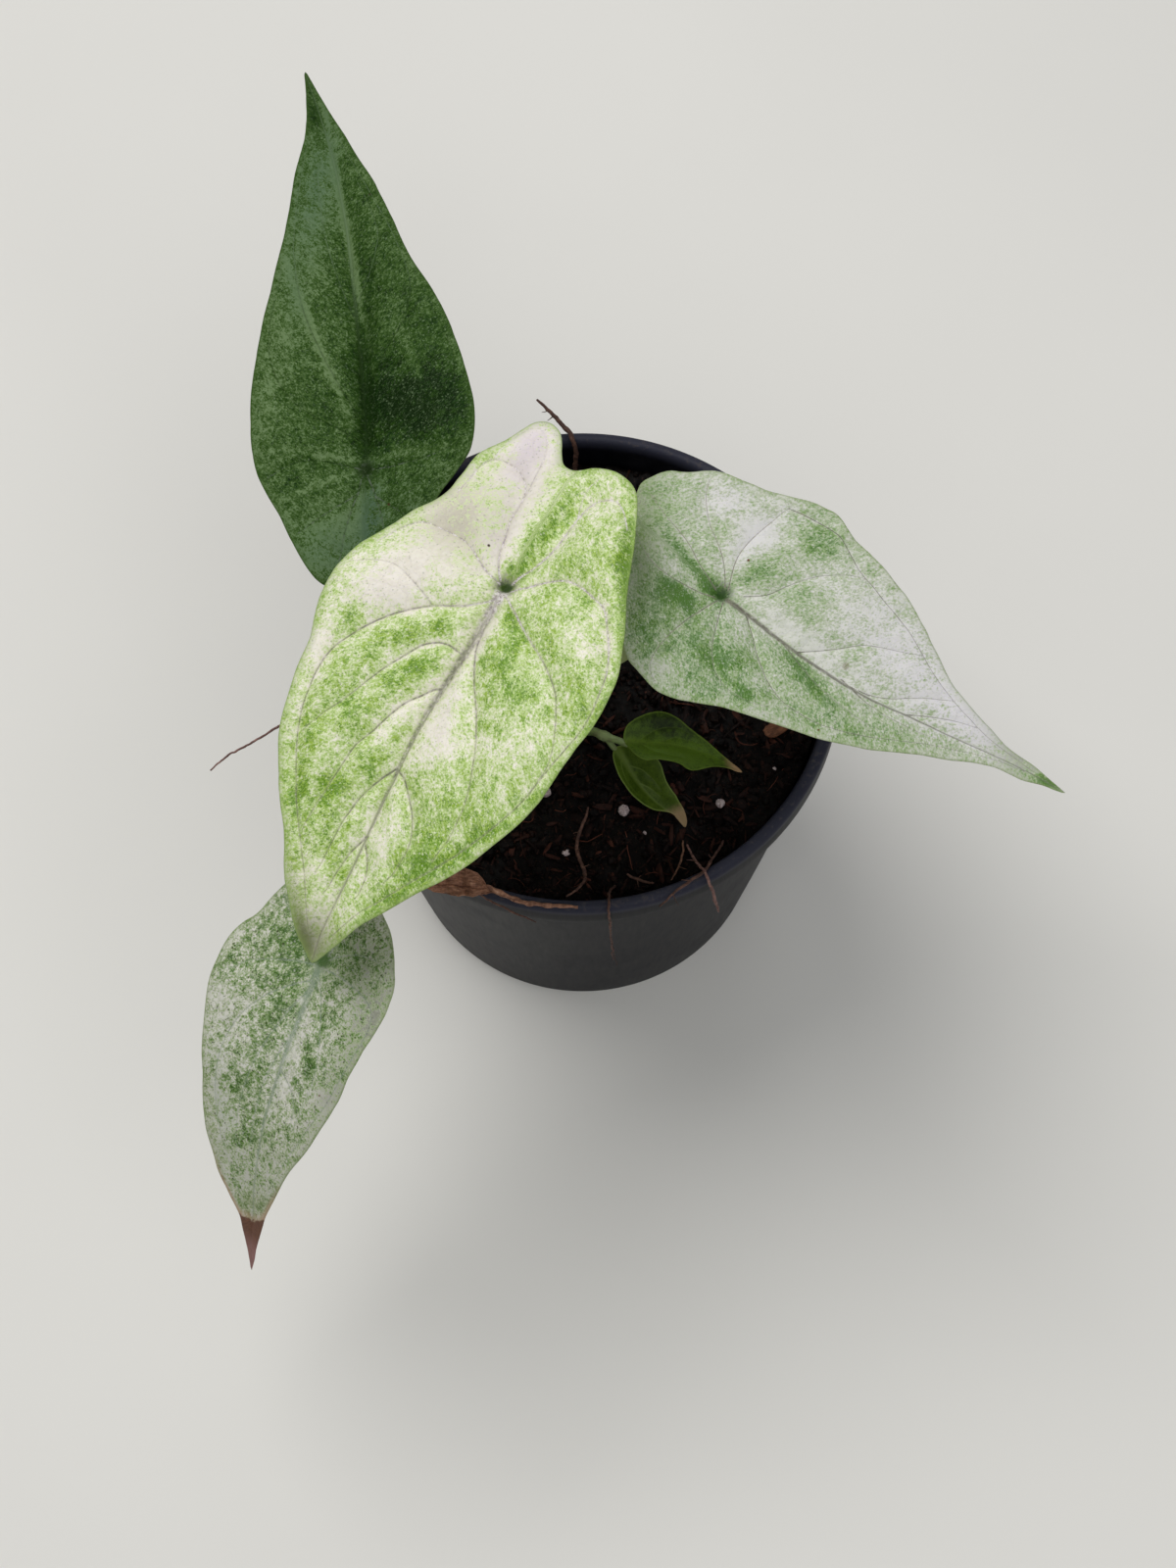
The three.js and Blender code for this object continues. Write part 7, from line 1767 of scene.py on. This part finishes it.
def build_dry_leaf():
    path = spline(STRANDS["dry_leaf"], 0.4)
    n = len(path)
    s = np.linspace(0, 1, n)
    at = [0, 0.1, 0.2, 0.3, 0.36, 0.42, 0.47, 0.52, 0.555, 0.6, 0.7, 0.8, 0.9, 1.0]
    rear = np.interp(s, at, [0.5, 1.2, 1.9, 3.2, 3.8, 3.1, 2.2, 1.4, 0.75, 0.5, 0.5, 0.46, 0.4, 0.22])
    fore = np.interp(s, at, [0.4, 0.6, 1.1, 2.1, 3.0, 2.8, 2.1, 1.4, 0.75, 0.5, 0.5, 0.46, 0.4, 0.22])
    across = (rear + fore) / 2
    wob = np.column_stack([fnoise(np.column_stack([s * n * 0.4, s * 0 + 3, s * 0 + j]), 0.35, 31 + j, 3) for j in range(3)])
    path = path + wob * 0.42 * (sstep(s, 0.5, 0.62) * (1 - sstep(s, 0.93, 1.0)))[:, None]
    T = np.gradient(path, axis=0)
    T /= np.linalg.norm(T, axis=1)[:, None]
    upv = np.array([0, -0.25, 1.0])
    S_ = np.cross(T, upv)
    S_ /= np.linalg.norm(S_, axis=1)[:, None]
    W_ = np.cross(S_, T)
    m = 44
    V_, sheet = [], []
    t = np.linspace(-1, 1, m)
    blade_w = 1 - sstep(s, 0.48, 0.575)
    for i in range(n):
        # torn, rolled edges; sharp crumples; the end closes into a twisted stalk
        e = np.array([[s[i] * 40, 0.0, 1.0], [s[i] * 40, 5.0, 2.0]])
        tear = 1 + 0.26 * fnoise(e, 0.6, 51, 3)
        w = np.where(t < 0, rear[i] * tear[0], fore[i] * tear[1])
        u_ = np.stack([np.full(m, s[i] * 40), t * across[i], np.zeros(m)], -1)
        fold = 0.95 * np.abs(fnoise(u_ * (1.0, 1.6, 1), 0.32, 61, 2)) + 0.45 * np.abs(fnoise(u_ * (1.6, 1.0, 1), 0.75, 62, 2))
        curl = 0.85 * np.abs(t) ** 3 * (0.5 + 0.7 * (fnoise(e, 0.4, 58, 1)[0] + 0.5))
        crease = 1.3 * np.exp(-np.abs((s[i] - 0.395 - 0.03 * t) / 0.028)) + 0.9 * np.exp(-np.abs((s[i] - 0.30 + 0.04 * t) / 0.025)) + 0.8 * np.exp(-np.abs(t - 0.15 - 1.2 * (s[i] - 0.4)) / 0.12)
        z = (fold * 1.5 - 0.3 + curl - crease) * min(1.0, across[i] / 2.4)
        flatp = np.stack([t * w, z], -1)
        a = t * math.pi * 0.97 + s[i] * 9
        k_ = across[i] * (0.85 + 0.2 * math.sin(i * 0.7))
        rnd = np.stack([np.sin(a) * 1.05 * k_, -np.cos(a) * 0.8 * k_ + 0.1], -1)
        q = flatp * blade_w[i] + rnd * (1 - blade_w[i])
        V_.append(path[i] + q[:, :1] * S_[i] + q[:, 1:] * W_[i])
        sheet.append(np.stack([np.full(m, s[i] * 40), t * across[i], np.zeros(m)], -1))
    V_ = np.vstack(V_)
    p = fnoise(V_, 1.1, 77, 3)
    V_ = V_ + 0.14 * p[:, None] * np.repeat(W_, m, axis=0)
    F = []
    for i in range(n - 1):
        for j in range(m - 1):
            F.append([i * m + j, i * m + j + 1, (i + 1) * m + j + 1, (i + 1) * m + j])
    o = mesh_object("dead_leaf", V_, F, [dry_finish()], None, {"sheet": np.vstack(sheet)})
    mod = o.modifiers.new("thick", "SOLIDIFY")
    mod.thickness = 0.2 * MM
    mod.offset = 0.0
    dg = bpy.context.evaluated_depsgraph_get()
    me = bpy.data.meshes.new_from_object(o.evaluated_get(dg))
    o.modifiers.clear()
    o.data = me
    stand_for(o, "dry_leaf", "dry_leaf")


build_dry_leaf()


# ------------------------------------------------------------------ camera, light and floor
def look_at(o, target):
    d = Vector(target) - o.location
    o.rotation_euler = d.to_track_quat("-Z", "Y").to_euler()


cam_data = bpy.data.cameras.new("camera")
cam = bpy.data.objects.new("camera", cam_data)
scene.collection.objects.link(cam)
pitch, roll = math.radians(68.3798), math.radians(-0.9605)
fwd = Vector((0, math.cos(pitch), -math.sin(pitch)))
right = Vector((1, 0, 0))
up = right.cross(fwd)
rx = right * math.cos(roll) + up * math.sin(roll)
uy = up * math.cos(roll) - right * math.sin(roll)
cam.matrix_world = Matrix((
    (rx.x, uy.x, -fwd.x, 0.0014644),
    (rx.y, uy.y, -fwd.y, -0.2820255),
    (rx.z, uy.z, -fwd.z, 0.7420636),
    (0, 0, 0, 1),
))
cam_data.sensor_fit = "VERTICAL"
cam_data.sensor_height = 36.0
cam_data.lens = 3111.0 * 36.0 / 1600.0
cam_data.clip_start = 0.02
cam_data.clip_end = 20.0
scene.camera = cam


def area(name, loc, target, size, power, color=(1, 1, 1), size_y=None):
    l = bpy.data.lights.new(name, "AREA")
    l.energy = power
    l.color = color
    l.shape = "RECTANGLE" if size_y else "DISK"
    l.size = size
    if size_y:
        l.size_y = size_y
    o = bpy.data.objects.new(name, l)
    o.location = loc
    scene.collection.objects.link(o)
    look_at(o, target)
    return o


area("key", (-0.56, 0.44, 1.58), (-0.02, 0.0, 0.12), 1.15, 19.0, (1.0, 0.985, 0.96))
area("fill", (0.75, -0.55, 0.75), (0, 0, 0.08), 0.9, 1.1, (0.96, 0.98, 1.0))
area("front", (0.22, -0.70, 1.35), (0, 0, 0.12), 1.0, 5.0, (1.0, 0.99, 0.98))
area("rim", (0.15, 0.95, 0.55), (0, 0, 0.1), 0.6, 0.8, (0.95, 0.97, 1.0))
world = bpy.data.worlds.new("world")
world.use_nodes = True
world.node_tree.nodes["Background"].inputs[0].default_value = (0.96, 0.98, 1.0, 1)
world.node_tree.nodes["Background"].inputs[1].default_value = 0.24
scene.world = world

fl = Nodes("floor")
fn = fl.noise(fl.coord(), 6.0, 3.0, 0.5)
fl_m = fl.done(fl.mix(fn, srgb(214, 213, 209), srgb(222, 221, 217)), 0.75, None, 0.2)
bpy.ops.mesh.primitive_plane_add(size=6.0, location=(0, 0, 0))
floor = bpy.context.object
floor.name = "floor"
floor.data.materials.append(fl_m)
